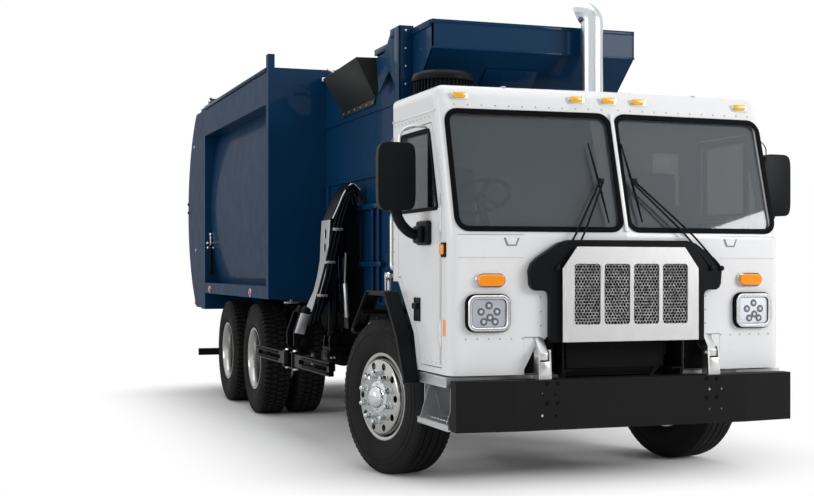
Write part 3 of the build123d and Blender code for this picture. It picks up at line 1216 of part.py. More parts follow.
def front_bulkhead():
    """Front wall of the body with the opening toward the hopper."""
    wall = along(shell_section(0), BODY_FRONT_Y, BODY_FRONT_Y + BODY_WALL)
    return wall - block(HOPPER_KERB_X + HOPPER_WALL, HOPPER_STREET_X - HOPPER_WALL, BODY_FRONT_Y - 1,
                        BODY_FRONT_Y + BODY_WALL + 1, BODY_BOTTOM_Z + BODY_WALL, HOPPER_TOP_Z - 40)


def hopper():
    """The open-topped charge box behind the cab, with a lowered sill on the kerb side."""
    end = BODY_FRONT_Y
    tub = block(HOPPER_KERB_X, HOPPER_STREET_X, HOPPER_FRONT_Y, end, BODY_BOTTOM_Z, HOPPER_TOP_Z)
    tub -= block(HOPPER_KERB_X + HOPPER_WALL, HOPPER_STREET_X - HOPPER_WALL, HOPPER_FRONT_Y + HOPPER_WALL,
                 end + 1, BODY_BOTTOM_Z + HOPPER_WALL, HOPPER_TOP_Z + 1)
    tub -= block(HOPPER_KERB_X - 1, HOPPER_KERB_X + HOPPER_WALL + 1, CHUTE_FRONT_Y, CHUTE_REAR_Y, CHUTE_SILL_Z,
                 HOPPER_TOP_Z + 1)
    tub -= block(HOPPER_KERB_X + HOPPER_WALL, HOPPER_STREET_X - HOPPER_WALL, HOPPER_FRONT_Y - 1,
                 HOPPER_FRONT_Y + HOPPER_WALL + 1, APRON_FOOT_Z + 60, HOPPER_TOP_Z + 1)
    return tub


def apron():
    """The guard above the cab that drops loose load back into the hopper."""
    path = [(HOPPER_FRONT_Y, APRON_FOOT_Z), (APRON_LIP_Y, APRON_LIP_BOTTOM_Z), (APRON_LIP_Y, HOPPER_TOP_Z)]
    guard = plate_yz(ribbon_points(path, APRON_PLATE), HOPPER_KERB_X, HOPPER_STREET_X)
    cheek = [(HOPPER_FRONT_Y, APRON_FOOT_Z), (APRON_LIP_Y, APRON_LIP_BOTTOM_Z), (APRON_LIP_Y, HOPPER_TOP_Z),
             (HOPPER_FRONT_Y, HOPPER_TOP_Z)]
    guard += plate_yz(cheek, HOPPER_KERB_X, HOPPER_KERB_X + APRON_PLATE)
    guard += plate_yz(cheek, HOPPER_STREET_X - APRON_PLATE, HOPPER_STREET_X)
    return guard - block(HOPPER_KERB_X - 1, HOPPER_STREET_X + 1, HOPPER_FRONT_Y, BODY_FRONT_Y, 0, BODY_ROOF_Z)


def chute_guard():
    """A flared plate with one wing, outside the lowered sill."""
    x0 = HOPPER_KERB_X
    lean = [(x0, CHUTE_SILL_Z - 60), (x0, CHUTE_SILL_Z), (x0 - CHUTE_OUT, CHUTE_SILL_Z + CHUTE_RISE),
            (x0 - CHUTE_OUT - CHUTE_PLATE, CHUTE_SILL_Z + CHUTE_RISE - CHUTE_PLATE)]
    guard = plate_xz(lean, CHUTE_FRONT_Y, CHUTE_REAR_Y)
    wing = [(x0, CHUTE_SILL_Z - 60), (x0, CHUTE_SILL_Z + CHUTE_RISE),
            (x0 - CHUTE_OUT, CHUTE_SILL_Z + CHUTE_RISE)]
    guard += plate_xz(wing, CHUTE_FRONT_Y, CHUTE_FRONT_Y + CHUTE_PLATE)
    return guard


def tailgate():
    """The bowed rear door: a box frame, a curved skin and its two hinge arms."""
    front = BODY_REAR_Y + REAR_FRAME_LENGTH + TAILGATE_GAP
    back = front + TAILGATE_FRAME_LENGTH
    middle = (TAILGATE_TOP_Z + TAILGATE_BOTTOM_Z) / 2

    def outline(inset):
        low = (front - 1 if inset else front, TAILGATE_BOTTOM_Z + inset)
        high = (front - 1 if inset else front, TAILGATE_TOP_Z - inset)
        lines = [Line(low, high), Line(high, (back, TAILGATE_TOP_Z - inset)),
                 ThreePointArc((back, TAILGATE_TOP_Z - inset), (back + TAILGATE_BULGE - inset, middle),
                               (back, TAILGATE_BOTTOM_Z + inset)),
                 Line((back, TAILGATE_BOTTOM_Z + inset), low)]
        return make_face(lines)

    plane = Plane(origin=(0, 0, 0), x_dir=(0, 1, 0), z_dir=(1, 0, 0))
    half = TAILGATE_HALF_WIDTH
    gate = extrude((plane * outline(0)).moved(Location((-half, 0, 0))), amount=2 * half, dir=(1, 0, 0))
    gap = half - TAILGATE_WALL
    gate -= extrude((plane * outline(TAILGATE_WALL)).moved(Location((-gap, 0, 0))), amount=2 * gap, dir=(1, 0, 0))
    pin_y = BODY_REAR_Y + REAR_FRAME_LENGTH - TAILGATE_PIN_INSET
    lug_x = sum(HINGE_LUG_XS) / 2
    for side, _ in SIDES:
        arm = plate_yz([(pin_y - 36, HINGE_PIN_Z - 20), (pin_y - 36, HINGE_PIN_Z + 36),
                        (pin_y + 20, HINGE_PIN_Z + 36), (front + 160, TAILGATE_TOP_Z - 1),
                        (front + 2, TAILGATE_TOP_Z - 1), (front + 2, HINGE_PIN_Z - 36), (pin_y, HINGE_PIN_Z - 36)],
                       side * lug_x - HINGE_ARM_HALF, side * lug_x + HINGE_ARM_HALF)
        arm -= rod_x(side * lug_x - 60, side * lug_x + 60, pin_y, HINGE_PIN_Z, HINGE_PIN_RADIUS + 0.4)
        gate += arm
    return gate


def underrun_bar():
    """A low bar behind the rear wheels, on two legs from the frame."""
    half = BODY_HALF_WIDTH - 25
    bar = block(-half, half, UNDERRUN_Y, UNDERRUN_Y + 60, UNDERRUN_Z - 40, UNDERRUN_Z + 40)
    for side, _ in SIDES:
        leg = plate_yz([(RAIL_REAR_Y - 150, RAIL_BOTTOM_Z), (RAIL_REAR_Y - 20, RAIL_BOTTOM_Z),
                        (UNDERRUN_Y + 50, UNDERRUN_Z), (UNDERRUN_Y, UNDERRUN_Z)],
                       side * RAIL_OUTER_X - 30, side * RAIL_OUTER_X)
        bar += leg
    return bar


# ---- Arm ----

def arm_base():
    """Shelf from the frame with two pairs of ears for the boom and its cylinder."""
    near = ARM_Y - ARM_WIDTH / 2
    far = ARM_Y + ARM_WIDTH / 2
    base = block(BASE_OUTER_X, -RAIL_OUTER_X, near, far, BASE_Z - BASE_PLATE, BASE_Z)
    base += block(-RAIL_OUTER_X - 30, -RAIL_OUTER_X, near, far, BASE_Z - BASE_PLATE, RAIL_TOP_Z - 20)
    ear = [(BASE_OUTER_X, BASE_Z - 1), (-RAIL_OUTER_X, BASE_Z - 1), (-RAIL_OUTER_X, BASE_Z + 120),
           (ARM_PIVOT_X + 70, ARM_PIVOT_Z + 60), (ARM_PIVOT_X - 50, ARM_PIVOT_Z + 60),
           (CYLINDER_FOOT_X - 40, CYLINDER_FOOT_Z + 40), (BASE_OUTER_X, CYLINDER_FOOT_Z + 10)]
    for y in (ARM_Y - EAR_HALF, ARM_Y + EAR_HALF - ARM_PLATE):
        base += plate_xz(ear, y, y + ARM_PLATE)
    base += rod_y(ARM_PIVOT_X, ARM_Y - EAR_HALF, ARM_Y + EAR_HALF, ARM_PIVOT_Z, ARM_PIN_RADIUS)
    base += rod_y(CYLINDER_FOOT_X, ARM_Y - EAR_HALF, ARM_Y + EAR_HALF, CYLINDER_FOOT_Z, CYLINDER_PIN_RADIUS)
    return base


def arm_boom():
    """The inner link, from the base pivot up to the elbow."""
    half = BOOM_HALF_WIDTH
    outline = [(ARM_PIVOT_X - 60, ARM_PIVOT_Z), (ELBOW_X - 58, ELBOW_Z), (ELBOW_X - 30, ELBOW_Z + 58),
               (ELBOW_X + 30, ELBOW_Z + 58), (ELBOW_X + 58, ELBOW_Z), (ARM_PIVOT_X + 60, ARM_PIVOT_Z),
               (ARM_PIVOT_X + 35, ARM_PIVOT_Z - 50), (ARM_PIVOT_X - 35, ARM_PIVOT_Z - 50)]
    boom = plate_xz(outline, ARM_Y - half, ARM_Y + half)
    for y in (ARM_Y - CYLINDER_EYE_HALF - 16, ARM_Y + CYLINDER_EYE_HALF + 4):
        lug = [(ROD_EYE_X - 34, ROD_EYE_Z - 34), (ROD_EYE_X - 34, ROD_EYE_Z + 34), (ROD_EYE_X + 90, ROD_EYE_Z + 90),
               (ROD_EYE_X + 90, ROD_EYE_Z - 90)]
        boom += plate_xz(lug, y, y + 12)
    boom += rod_y(ROD_EYE_X, ARM_Y - CYLINDER_EYE_HALF - 16, ARM_Y + CYLINDER_EYE_HALF + 16, ROD_EYE_Z,
                  CYLINDER_PIN_RADIUS)
    boom -= rod_y(ARM_PIVOT_X, ARM_Y - half - 1, ARM_Y + half + 1, ARM_PIVOT_Z, ARM_PIN_RADIUS + 0.5)
    boom -= rod_y(ELBOW_X, ARM_Y - half - 1, ARM_Y + half + 1, ELBOW_Z, ARM_PIN_RADIUS + 0.5)
    return boom


def arm_forearm():
    """Two bent side plates with an outer flange, from the elbow down to the wrist."""
    outer = [(ELBOW_X + x, ELBOW_Z + z) for x, z in FOREARM_OUTER]
    end = [(WRIST_X + x, WRIST_Z + z) for x, z in FOREARM_END]
    inner = [(ELBOW_X + x, ELBOW_Z + z) for x, z in FOREARM_INNER]
    link = None
    for y in (ARM_Y - FOREARM_HALF, ARM_Y + FOREARM_HALF - ARM_PLATE):
        plate = plate_xz(outer + end + inner, y, y + ARM_PLATE)
        link = plate if link is None else link + plate
    flange = outer[2:] + end[:1]
    link += plate_xz(ribbon_points(flange[::-1], FOREARM_FLANGE), ARM_Y - FOREARM_HALF + 1,
                     ARM_Y + FOREARM_HALF - 1)
    link += rod_y(ELBOW_X, ARM_Y - FOREARM_HALF, ARM_Y + FOREARM_HALF, ELBOW_Z, ARM_PIN_RADIUS)
    link += rod_y(WRIST_X, ARM_Y - FOREARM_HALF, ARM_Y + FOREARM_HALF, WRIST_Z, ARM_PIN_RADIUS)
    return link


def gripper():
    """The head below the wrist, with a clevis for each finger."""
    half = GRIPPER_HALF
    wide = FINGER_PIVOT_DY + FINGER_EYE_RADIUS
    head = block(WRIST_X - 40, WRIST_X + 40, ARM_Y - wide, ARM_Y + wide, GRIPPER_LOW_Z, WRIST_Z - 70)
    head += block(WRIST_X - 32, WRIST_X + 32, ARM_Y - half, ARM_Y + half, WRIST_Z - 71, WRIST_Z)
    head += rod_y(WRIST_X, ARM_Y - half, ARM_Y + half, WRIST_Z, 36)
    for way in (-1, 1):
        y = ARM_Y + way * FINGER_PIVOT_DY
        for low in (GRIPPER_LOW_Z, WRIST_Z - 70 - CLEVIS_PLATE):
            head += block(FINGER_PIVOT_X - 36, WRIST_X, y - 36, y + 36, low, low + CLEVIS_PLATE)
        head += rod_z(FINGER_PIVOT_X, y, GRIPPER_LOW_Z, WRIST_Z - 70, FINGER_PIN_RADIUS)
    head -= rod_y(WRIST_X, ARM_Y - half - 1, ARM_Y + half + 1, WRIST_Z, ARM_PIN_RADIUS + 0.5)
    return head


def finger(way):
    """One grab finger of two flat bars, open along the truck."""
    y0 = ARM_Y + way * FINGER_PIVOT_DY
    tip = y0 + way * FINGER_LENGTH
    low = GRIPPER_LOW_Z + CLEVIS_PLATE + FINGER_CLEARANCE
    high = WRIST_Z - 70 - CLEVIS_PLATE - FINGER_CLEARANCE
    outer = FINGER_PIVOT_X - FINGER_HALF
    inner = FINGER_PIVOT_X + FINGER_HALF
    bar = rod_z(FINGER_PIVOT_X, y0, low, high, FINGER_EYE_RADIUS)
    for start in (low, high - FINGER_BAR):
        bar += block(outer, inner, y0, tip, start, start + FINGER_BAR)
    bar += block(outer, inner, y0, y0 + way * FINGER_WEB, low, high)
    bar += block(outer, inner, tip - way * FINGER_TIP, tip, low, high)
    return bar - rod_z(FINGER_PIVOT_X, y0, low - 1, high + 1, FINGER_PIN_RADIUS + 0.5)


def cylinder_axis():
    """Unit vector from the cylinder's foot to its rod eye, and their distance."""
    span = Vector(ROD_EYE_X - CYLINDER_FOOT_X, 0, ROD_EYE_Z - CYLINDER_FOOT_Z)
    return span.normalized(), span.length


def cylinder_barrel():
    """Barrel with its foot eye, bored for the rod."""
    way, _ = cylinder_axis()
    foot = Vector(CYLINDER_FOOT_X, ARM_Y, CYLINDER_FOOT_Z)
    barrel = rod(foot + way * 25, foot + way * BARREL_LENGTH, BARREL_RADIUS)
    barrel += rod_y(CYLINDER_FOOT_X, ARM_Y - CYLINDER_EYE_HALF, ARM_Y + CYLINDER_EYE_HALF, CYLINDER_FOOT_Z,
                    CYLINDER_EYE_RADIUS)
    barrel -= rod(foot + way * (ROD_START - 10), foot + way * (BARREL_LENGTH + 1), ROD_RADIUS + 0.5)
    barrel -= rod_y(CYLINDER_FOOT_X, ARM_Y - 60, ARM_Y + 60, CYLINDER_FOOT_Z, CYLINDER_PIN_RADIUS + 0.5)
    return barrel


def cylinder_rod():
    """Rod with its eye on the boom's pin, with room for the pin's path."""
    way, length = cylinder_axis()
    foot = Vector(CYLINDER_FOOT_X, ARM_Y, CYLINDER_FOOT_Z)
    bar = rod(foot + way * (ROD_START + STROKE), foot + way * (length - 15), ROD_RADIUS)
    bar += rod_y(ROD_EYE_X, ARM_Y - CYLINDER_EYE_HALF, ARM_Y + CYLINDER_EYE_HALF, ROD_EYE_Z,
                 CYLINDER_EYE_RADIUS)
    return bar - rod_y(ROD_EYE_X, ARM_Y - 60, ARM_Y + 60, ROD_EYE_Z, CYLINDER_PIN_RADIUS + ROD_EYE_PLAY)


save("frame_rails", frame_rails())
save("front_bumper", front_bumper())
save("suspension", leaf_springs(), rear_suspension())
save("front_axle", front_axle())
save("drive_axles", drive_axles())
save("engine_block", engine(), radiator())
save("fuel_tank", fuel_tank())
save("battery_box", battery_box())
save("exhaust_stack", exhaust_stack())
save("air_cleaner", air_cleaner())
save("fenders", fenders())
save("steps", steps())
save("hinge_brackets", hinge_brackets())
CAB = cab_shell()
FRONT_RIM = front_rim()
FRONT_TYRE = tyre_ring(FRONT_TYRE_WIDTH, 0)
DUAL_RIM = dual_rim()
for side, name in SIDES:
    outboard = Location((FRONT_WHEEL_OFFSET, 0, 0))
    save(f"knuckle_{name}", at_front_wheel(side, knuckle()))
    save(f"front_rim_{name}", at_front_wheel(side, FRONT_RIM.moved(outboard)))
    save(f"front_tyre_{name}", at_front_wheel(side, FRONT_TYRE.moved(outboard)))
    for number, station in enumerate(REAR_AXLE_YS, 1):
        save(f"rear_rim_{name}_{number}", at_rear_wheel(side, station, DUAL_RIM))
        save(f"rear_tyre_{name}_{number}",
             at_rear_wheel(side, station, tyre_ring(REAR_TYRE_WIDTH, DUAL_OUTER_X)),
             at_rear_wheel(side, station, tyre_ring(REAR_TYRE_WIDTH, DUAL_OUTER_X - DUAL_SPACING)))
save("cab_shell", CAB & below_waist())
save("cab_upper", CAB - below_waist())
save("cab_glass", *cab_glass())
save("grille_surround", grille_surround())
save("grille_plate", grille_plate())
save("lamps", *front_lamps(), *marker_lamps())
save("wipers", *wipers())
save("dashboard", cab_interior())
save("steering_wheel", steering_wheel())
save("seats", seats())
for side, name in SIDES:
    save(f"door_{name}", door(side))
    save(f"door_glass_{name}", door_glass(side))
    save(f"mirror_{name}", mirror_assembly(side))
save("body_shell", body_shell())
save("hopper", hopper())
save("hopper_guards", apron(), chute_guard())
save("tailgate", tailgate())
save("underrun_bar", underrun_bar())
save("arm_base", arm_base())
save("arm_boom", arm_boom())
save("arm_forearm", arm_forearm())
save("gripper", gripper())
save("finger_front", finger(-1))
save("finger_rear", finger(1))
save("cylinder_barrel", cylinder_barrel())
save("cylinder_rod", cylinder_rod())
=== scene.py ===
"""A side-loading garbage truck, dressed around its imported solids.

Metres, +Z up. The truck faces -Y; +X is its street side and -X its kerb side.
Stations along Y are counted from the bumper's front face and moved by st().
"""
import math

import bmesh
import bpy
from mathutils import Matrix, Vector


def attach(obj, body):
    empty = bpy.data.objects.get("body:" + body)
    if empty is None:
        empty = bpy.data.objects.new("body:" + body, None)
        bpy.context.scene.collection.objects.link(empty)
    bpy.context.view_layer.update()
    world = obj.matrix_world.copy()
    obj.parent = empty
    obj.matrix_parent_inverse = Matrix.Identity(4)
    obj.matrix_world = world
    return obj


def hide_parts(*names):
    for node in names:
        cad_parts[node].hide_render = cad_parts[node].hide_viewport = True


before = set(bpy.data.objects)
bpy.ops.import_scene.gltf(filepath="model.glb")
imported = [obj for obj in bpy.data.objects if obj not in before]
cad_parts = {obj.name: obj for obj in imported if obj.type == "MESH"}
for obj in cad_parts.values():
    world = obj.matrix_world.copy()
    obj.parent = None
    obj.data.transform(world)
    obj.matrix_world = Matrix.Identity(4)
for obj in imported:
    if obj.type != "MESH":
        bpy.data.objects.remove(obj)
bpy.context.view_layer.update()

HALF_LENGTH = 4.740
KERB = -1
STREET = 1
SIDES = ((KERB, "kerb"), (STREET, "street"))
TAU = math.tau


def st(station):
    """Turn a station along the truck into the frame's y."""
    return station - HALF_LENGTH


# ---- Materials ----

class Wire:
    """A shader socket on which sums can be written."""

    def __init__(self, finish, socket):
        self.finish = finish
        self.socket = socket

    def math(self, operation, *values):
        inputs = dict(enumerate(values))
        return self.finish.node("ShaderNodeMath", {"operation": operation}, inputs)

    def __add__(self, other):
        return self.math("ADD", self, other)

    __radd__ = __add__

    def __mul__(self, other):
        return self.math("MULTIPLY", self, other)

    __rmul__ = __mul__

    def __sub__(self, other):
        return self.math("SUBTRACT", self, other)

    def __rsub__(self, other):
        return self.math("SUBTRACT", other, self)

    def __truediv__(self, other):
        return self.math("DIVIDE", self, other)

    def __gt__(self, other):
        return self.math("GREATER_THAN", self, other)

    def __lt__(self, other):
        return self.math("LESS_THAN", self, other)

    def __abs__(self):
        return self.math("ABSOLUTE", self)

    def ramp(self, low, high):
        """Rise smoothly from 0 at low to 1 at high."""
        settings = {"interpolation_type": "SMOOTHSTEP"}
        return self.finish.node("ShaderNodeMapRange", settings, {0: self, 1: low, 2: high})


class Finish:
    """A material whose nodes are added one call at a time."""

    def __init__(self, name, color, roughness, metallic=0.0, **sockets):
        self.material = bpy.data.materials.new(name)
        self.material.use_nodes = True
        self.tree = self.material.node_tree
        self.shader = self.tree.nodes["Principled BSDF"]
        self.color = color
        self.set("Base Color", (*color, 1))
        self.set("Roughness", roughness)
        self.set("Metallic", metallic)
        for key, value in sockets.items():
            self.set(key.replace("_", " "), value)

    def set(self, name, value):
        self.plug(value, self.shader.inputs[name])

    def plug(self, value, socket):
        if isinstance(value, Wire):
            self.tree.links.new(value.socket, socket)
        else:
            socket.default_value = value

    def node(self, kind, settings=None, inputs=None, output=0):
        """Add one node: its settings first, then the values or links of its sockets."""
        made = self.tree.nodes.new(kind)
        for key, value in (settings or {}).items():
            setattr(made, key, value)
        for key, value in (inputs or {}).items():
            self.plug(value, made.inputs[key])
        return Wire(self, made.outputs[output])

    def place(self):
        return self.node("ShaderNodeTexCoord", output=3)

    def axis(self, index):
        return self.node("ShaderNodeSeparateXYZ", None, {0: self.place()}, output=index)

    def noise(self, scale, detail=3.0, stretch=(1, 1, 1)):
        where = self.node("ShaderNodeMapping", None, {0: self.place(), 3: stretch})
        return self.node("ShaderNodeTexNoise", None, {"Vector": where, "Scale": scale, "Detail": detail})

    def mix(self, factor, first, second):
        colors = [value if isinstance(value, Wire) else (*value, 1) for value in (first, second)]
        return self.node("ShaderNodeMix", {"data_type": "RGBA"}, {0: factor, 6: colors[0], 7: colors[1]}, 2)

    def bump(self, height, strength, distance):
        inputs = {"Strength": strength, "Distance": distance, "Height": height}
        self.set("Normal", self.node("ShaderNodeBump", None, inputs))


def coated(name, color, roughness, spread=0.06, grain=900.0, depth=0.0002, **sockets):
    """A finish whose shade and gloss drift a little, over a fine surface texture."""
    finish = Finish(name, color, roughness, **sockets)
    drift = finish.noise(1.7, 4.0)
    darker = tuple(channel * (1 - spread) for channel in color)
    lighter = tuple(min(1, channel * (1 + spread)) for channel in color)
    finish.set("Base Color", finish.mix(drift, darker, lighter))
    finish.set("Roughness", roughness + (finish.noise(6.0) - 0.5) * roughness * 0.5)
    finish.bump(finish.noise(grain, 2.0), 0.35, depth)
    return finish


def brushed(name, color, roughness, stretch, scale=220.0, depth=0.88):
    """A metal with fine lines drawn along one direction."""
    finish = Finish(name, color, roughness, 1.0)
    lines = finish.noise(scale, 3.0, stretch)
    finish.set("Roughness", roughness + (lines - 0.5) * roughness * 0.9)
    darker = tuple(channel * depth for channel in color)
    finish.set("Base Color", finish.mix(lines, darker, color))
    finish.bump(lines, 0.06, 0.0002)
    return finish


white_paint = coated("white_paint", (0.78, 0.785, 0.795), 0.30, 0.02, 420.0, 0.00012, Coat_Weight=0.3,
                     Coat_Roughness=0.06, Specular_IOR_Level=0.3)
blue_paint = coated("blue_paint", (0.0018, 0.0285, 0.0790), 0.45, 0.12, 300.0, 0.0002, Coat_Weight=0.20,
                    Coat_Roughness=0.06, Specular_IOR_Level=0.04)
frame_black = coated("frame_black", (0.007, 0.007, 0.008), 0.45, 0.25, 240.0, 0.0004, Specular_IOR_Level=0.08)
bumper_black = coated("bumper_black", (0.011, 0.011, 0.011), 0.55, 0.2, 500.0, 0.0003,
                      Specular_IOR_Level=0.07)
trim_black = coated("trim_black", (0.006, 0.007, 0.008), 0.38, 0.2, 700.0, 0.0003, Specular_IOR_Level=0.07)
gasket_rubber = coated("gasket_rubber", (0.004, 0.004, 0.005), 0.50, 0.2, 600.0, 0.0004,
                       Specular_IOR_Level=0.03)
arm_black = coated("arm_black", (0.004, 0.004, 0.005), 0.26, 0.25, 300.0, 0.0003, Specular_IOR_Level=0.07)
# Grey for the dark joints of the front seams, and painted shade in the latch pockets.
seam_grey_and_pocket_shade = coated("seam_grey_and_pocket_shade", (0.20, 0.205, 0.21), 0.5, 0.08, 500.0, 0.0002)
chrome = coated("chrome", (0.66, 0.69, 0.71), 0.08, 0.02, 60.0, 0.0001, metallic=1.0)
wheel_alloy = coated("wheel_alloy", (0.46, 0.465, 0.45), 0.17, 0.05, 120.0, 0.0002, metallic=1.0)
step_alloy = coated("step_alloy", (0.62, 0.63, 0.64), 0.34, 0.08, 260.0, 0.0003, metallic=1.0)
grille_alloy = brushed("grille_alloy", (0.66, 0.66, 0.66), 0.36, (1.0, 1.0, 0.03), depth=0.93)
stack_chrome = brushed("stack_chrome", (0.64, 0.68, 0.70), 0.28, (1.0, 1.0, 0.02), 60.0, depth=0.82)
zinc = coated("zinc", (0.66, 0.66, 0.64), 0.32, 0.08, 300.0, 0.0003, metallic=1.0)
cast_grey = coated("cast_grey", (0.06, 0.06, 0.062), 0.6, 0.2, 160.0, 0.001, Specular_IOR_Level=0.2)
tread_rubber = coated("tread_rubber", (0.010, 0.010, 0.010), 0.70, 0.2, 260.0, 0.0006,
                      Specular_IOR_Level=0.12)
# Flat black for the bolt heads, and painted shade for the dark strips, linings and sheets laid where there is
# only shadow.
black_and_painted_shade = coated("black_and_painted_shade", (0.004, 0.004, 0.004), 0.8, 0.1, Specular_IOR_Level=0.1)
dash_plastic = coated("dash_plastic", (0.045, 0.046, 0.05), 0.6, 0.1, 800.0, 0.0004)
# The faint orange emission is a painted glow that brightens the amber lenses and side reflectors.
amber_painted_glow = coated("amber_lens_painted_glow", (0.92, 0.29, 0.008), 0.18, 0.05, 160.0, 0.0008, Coat_Weight=0.5,
               Emission_Strength=0.06, Emission_Color=(1.0, 0.22, 0.01, 1))
marker_amber = coated("marker_amber", (0.90, 0.46, 0.010), 0.2, 0.05, 160.0, 0.0008, Coat_Weight=0.4)
red_lens = coated("red_lens", (0.55, 0.012, 0.012), 0.12, 0.05, 160.0, 0.0008, Coat_Weight=1.0)
mirror_glass = Finish("mirror_glass", (0.72, 0.75, 0.78), 0.02, 1.0)


PANE_ROUGHNESS = 0.03
CLOTH_THREADS = 700.0


def window_finish(name, color, alpha):
    """A tinted pane: part of the light passes, the rest shows the tint and the gloss."""
    finish = Finish(name, color, PANE_ROUGHNESS, 0.0, IOR=1.5, Coat_Weight=1.0, Coat_Roughness=0.01)
    finish.set("Roughness", PANE_ROUGHNESS + (finish.noise(1.4, 1.0) - 0.5) * PANE_ROUGHNESS * 0.3)
    finish.set("Alpha", alpha)
    return finish


cab_tint = window_finish("cab_tint", (0.076, 0.092, 0.106), 0.58)
lens_clear = window_finish("lens_clear", (0.30, 0.33, 0.37), 0.10)


def cloth_finish(name, color):
    """Woven seat cloth: crossed threads, a soft sheen."""
    finish = Finish(name, color, 0.85, Sheen_Weight=0.3)
    warp, weft = [finish.node("ShaderNodeTexWave", {"bands_direction": way},
                              {"Vector": finish.place(), "Scale": CLOTH_THREADS}) for way in "XZ"]
    weave = warp * 0.5 + weft * 0.5
    darker = tuple(channel * 0.6 for channel in color)
    finish.set("Base Color", finish.mix(weave, darker, color))
    finish.bump(weave, 0.4, 0.0008)
    return finish


seat_cloth = cloth_finish("seat_cloth", (0.06, 0.062, 0.068))


# ---- Shape helpers ----

class Shape:
    """A bmesh that grows form by form."""

    def __init__(self):
        self.bm = bmesh.new()

    def round_off(self, edges, width, segments=2):
        if width:
            bmesh.ops.bevel(self.bm, geom=edges, offset=width, segments=segments, profile=0.5, affect="EDGES",
                            material=-1, clamp_overlap=True)

    def box(self, low, high, bevel=0.0, segments=2):
        """A box between two corners, its edges rounded."""
        low, high = Vector(low), Vector(high)
        size = Matrix.Diagonal((*[abs(a - b) for a, b in zip(low, high)], 1))
        made = bmesh.ops.create_cube(self.bm, size=1, matrix=Matrix.Translation((low + high) / 2) @ size)
        edges = list({edge for vert in made["verts"] for edge in vert.link_edges})
        self.round_off(edges, bevel, segments)
        return self

    def bar(self, start, end, radius, sides=16, end_radius=None, bevel=0.0):
        """A round bar or cone between two points."""
        start, end = Vector(start), Vector(end)
        span = end - start
        turn = span.to_track_quat("Z", "Y").to_matrix().to_4x4()
        made = bmesh.ops.create_cone(self.bm, cap_ends=True, segments=sides, radius1=radius,
                                     radius2=radius if end_radius is None else end_radius, depth=span.length,
                                     matrix=Matrix.Translation((start + end) / 2) @ turn)
        if bevel:
            rims = {edge for vert in made["verts"] for edge in vert.link_edges
                    if len(edge.link_faces) == 2 and any(len(face.verts) > 4 for face in edge.link_faces)}
            self.round_off(list(rims), bevel, 2)
        return self

    def ball(self, centre, radius, detail=2):
        bmesh.ops.create_icosphere(self.bm, subdivisions=detail, radius=radius,
                                   matrix=Matrix.Translation(centre))
        return self

    def prism(self, points, axis, low, high, bevel=0.0, segments=2):
        """A flat outline of (u, v) points pushed along one axis from low to high."""
        places = {"x": lambda u, v: (low, u, v), "y": lambda u, v: (u, low, v), "z": lambda u, v: (u, v, low)}
        way = Vector({"x": (1, 0, 0), "y": (0, 1, 0), "z": (0, 0, 1)}[axis]) * (high - low)
        verts = [self.bm.verts.new(places[axis](u, v)) for u, v in points]
        face = self.bm.faces.new(verts)
        pushed = bmesh.ops.extrude_face_region(self.bm, geom=[face], use_keep_orig=True)
        far = [item for item in pushed["geom"] if isinstance(item, bmesh.types.BMVert)]
        bmesh.ops.translate(self.bm, verts=far, vec=way)
        faces = list({f for vert in verts + far for f in vert.link_faces})
        bmesh.ops.recalc_face_normals(self.bm, faces=faces)
        edges = list({edge for vert in verts + far for edge in vert.link_edges})
        self.round_off(edges, bevel, segments)
        return self

    def lathe(self, profile, steps=96, centre=(0, 0, 0), axis="x"):
        """Turn a profile of (along, radius) points about an axis through centre."""
        ways = {"x": ((1, 0, 0), (0, 0, 1)), "y": ((0, 1, 0), (0, 0, 1)), "z": ((0, 0, 1), (1, 0, 0))}
        along, out = [Vector(way) for way in ways[axis]]
        verts = [self.bm.verts.new(Vector(centre) + along * a + out * r) for a, r in profile]
        edges = [self.bm.edges.new(pair) for pair in zip(verts, verts[1:] + verts[:1])]
        bmesh.ops.spin(self.bm, geom=verts + edges, cent=centre, axis=along, angle=TAU, steps=steps,
                       use_merge=True)
        return self

    def ring_of(self, source, count, axis=(1, 0, 0), phase=0.0):
        """Set copies of another shape in a ring about an axis through the origin."""
        mesh = bpy.data.meshes.new("ring_source")
        source.bm.to_mesh(mesh)
        source.bm.free()
        mesh.transform(Matrix.Rotation(TAU * phase / count, 4, Vector(axis)))
        step = Matrix.Rotation(TAU / count, 4, Vector(axis))
        for _ in range(count):
            self.bm.from_mesh(mesh)
            mesh.transform(step)
        bpy.data.meshes.remove(mesh)
        return self

    def copy(self):
        twin = Shape()
        twin.bm.free()
        twin.bm = self.bm.copy()
        return twin

    def add(self, other, matrix=None):
        """Take in another shape, moved by a matrix."""
        mesh = bpy.data.meshes.new("added")
        if matrix is not None:
            other.move(matrix)
        other.bm.to_mesh(mesh)
        self.bm.from_mesh(mesh)
        bpy.data.meshes.remove(mesh)
        other.bm.free()
        return self

    def sides(self, source):
        """Take in a street-side shape and its mirror image on the kerb side."""
        twin = source.copy().move(mirror_x())
        return self.add(twin).add(source)

    def move(self, matrix):
        bmesh.ops.transform(self.bm, matrix=matrix, verts=self.bm.verts)
        if matrix.determinant() < 0:
            bmesh.ops.reverse_faces(self.bm, faces=self.bm.faces)
        return self

    def drape(self, rule):
        """Move every point by rule(point), such as onto a sloped or swept face."""
        for vert in self.bm.verts:
            vert.co += rule(vert.co)
        return self

    def clean(self):
        bmesh.ops.remove_doubles(self.bm, verts=self.bm.verts, dist=0.00002)
        bmesh.ops.recalc_face_normals(self.bm, faces=self.bm.faces)
        return self


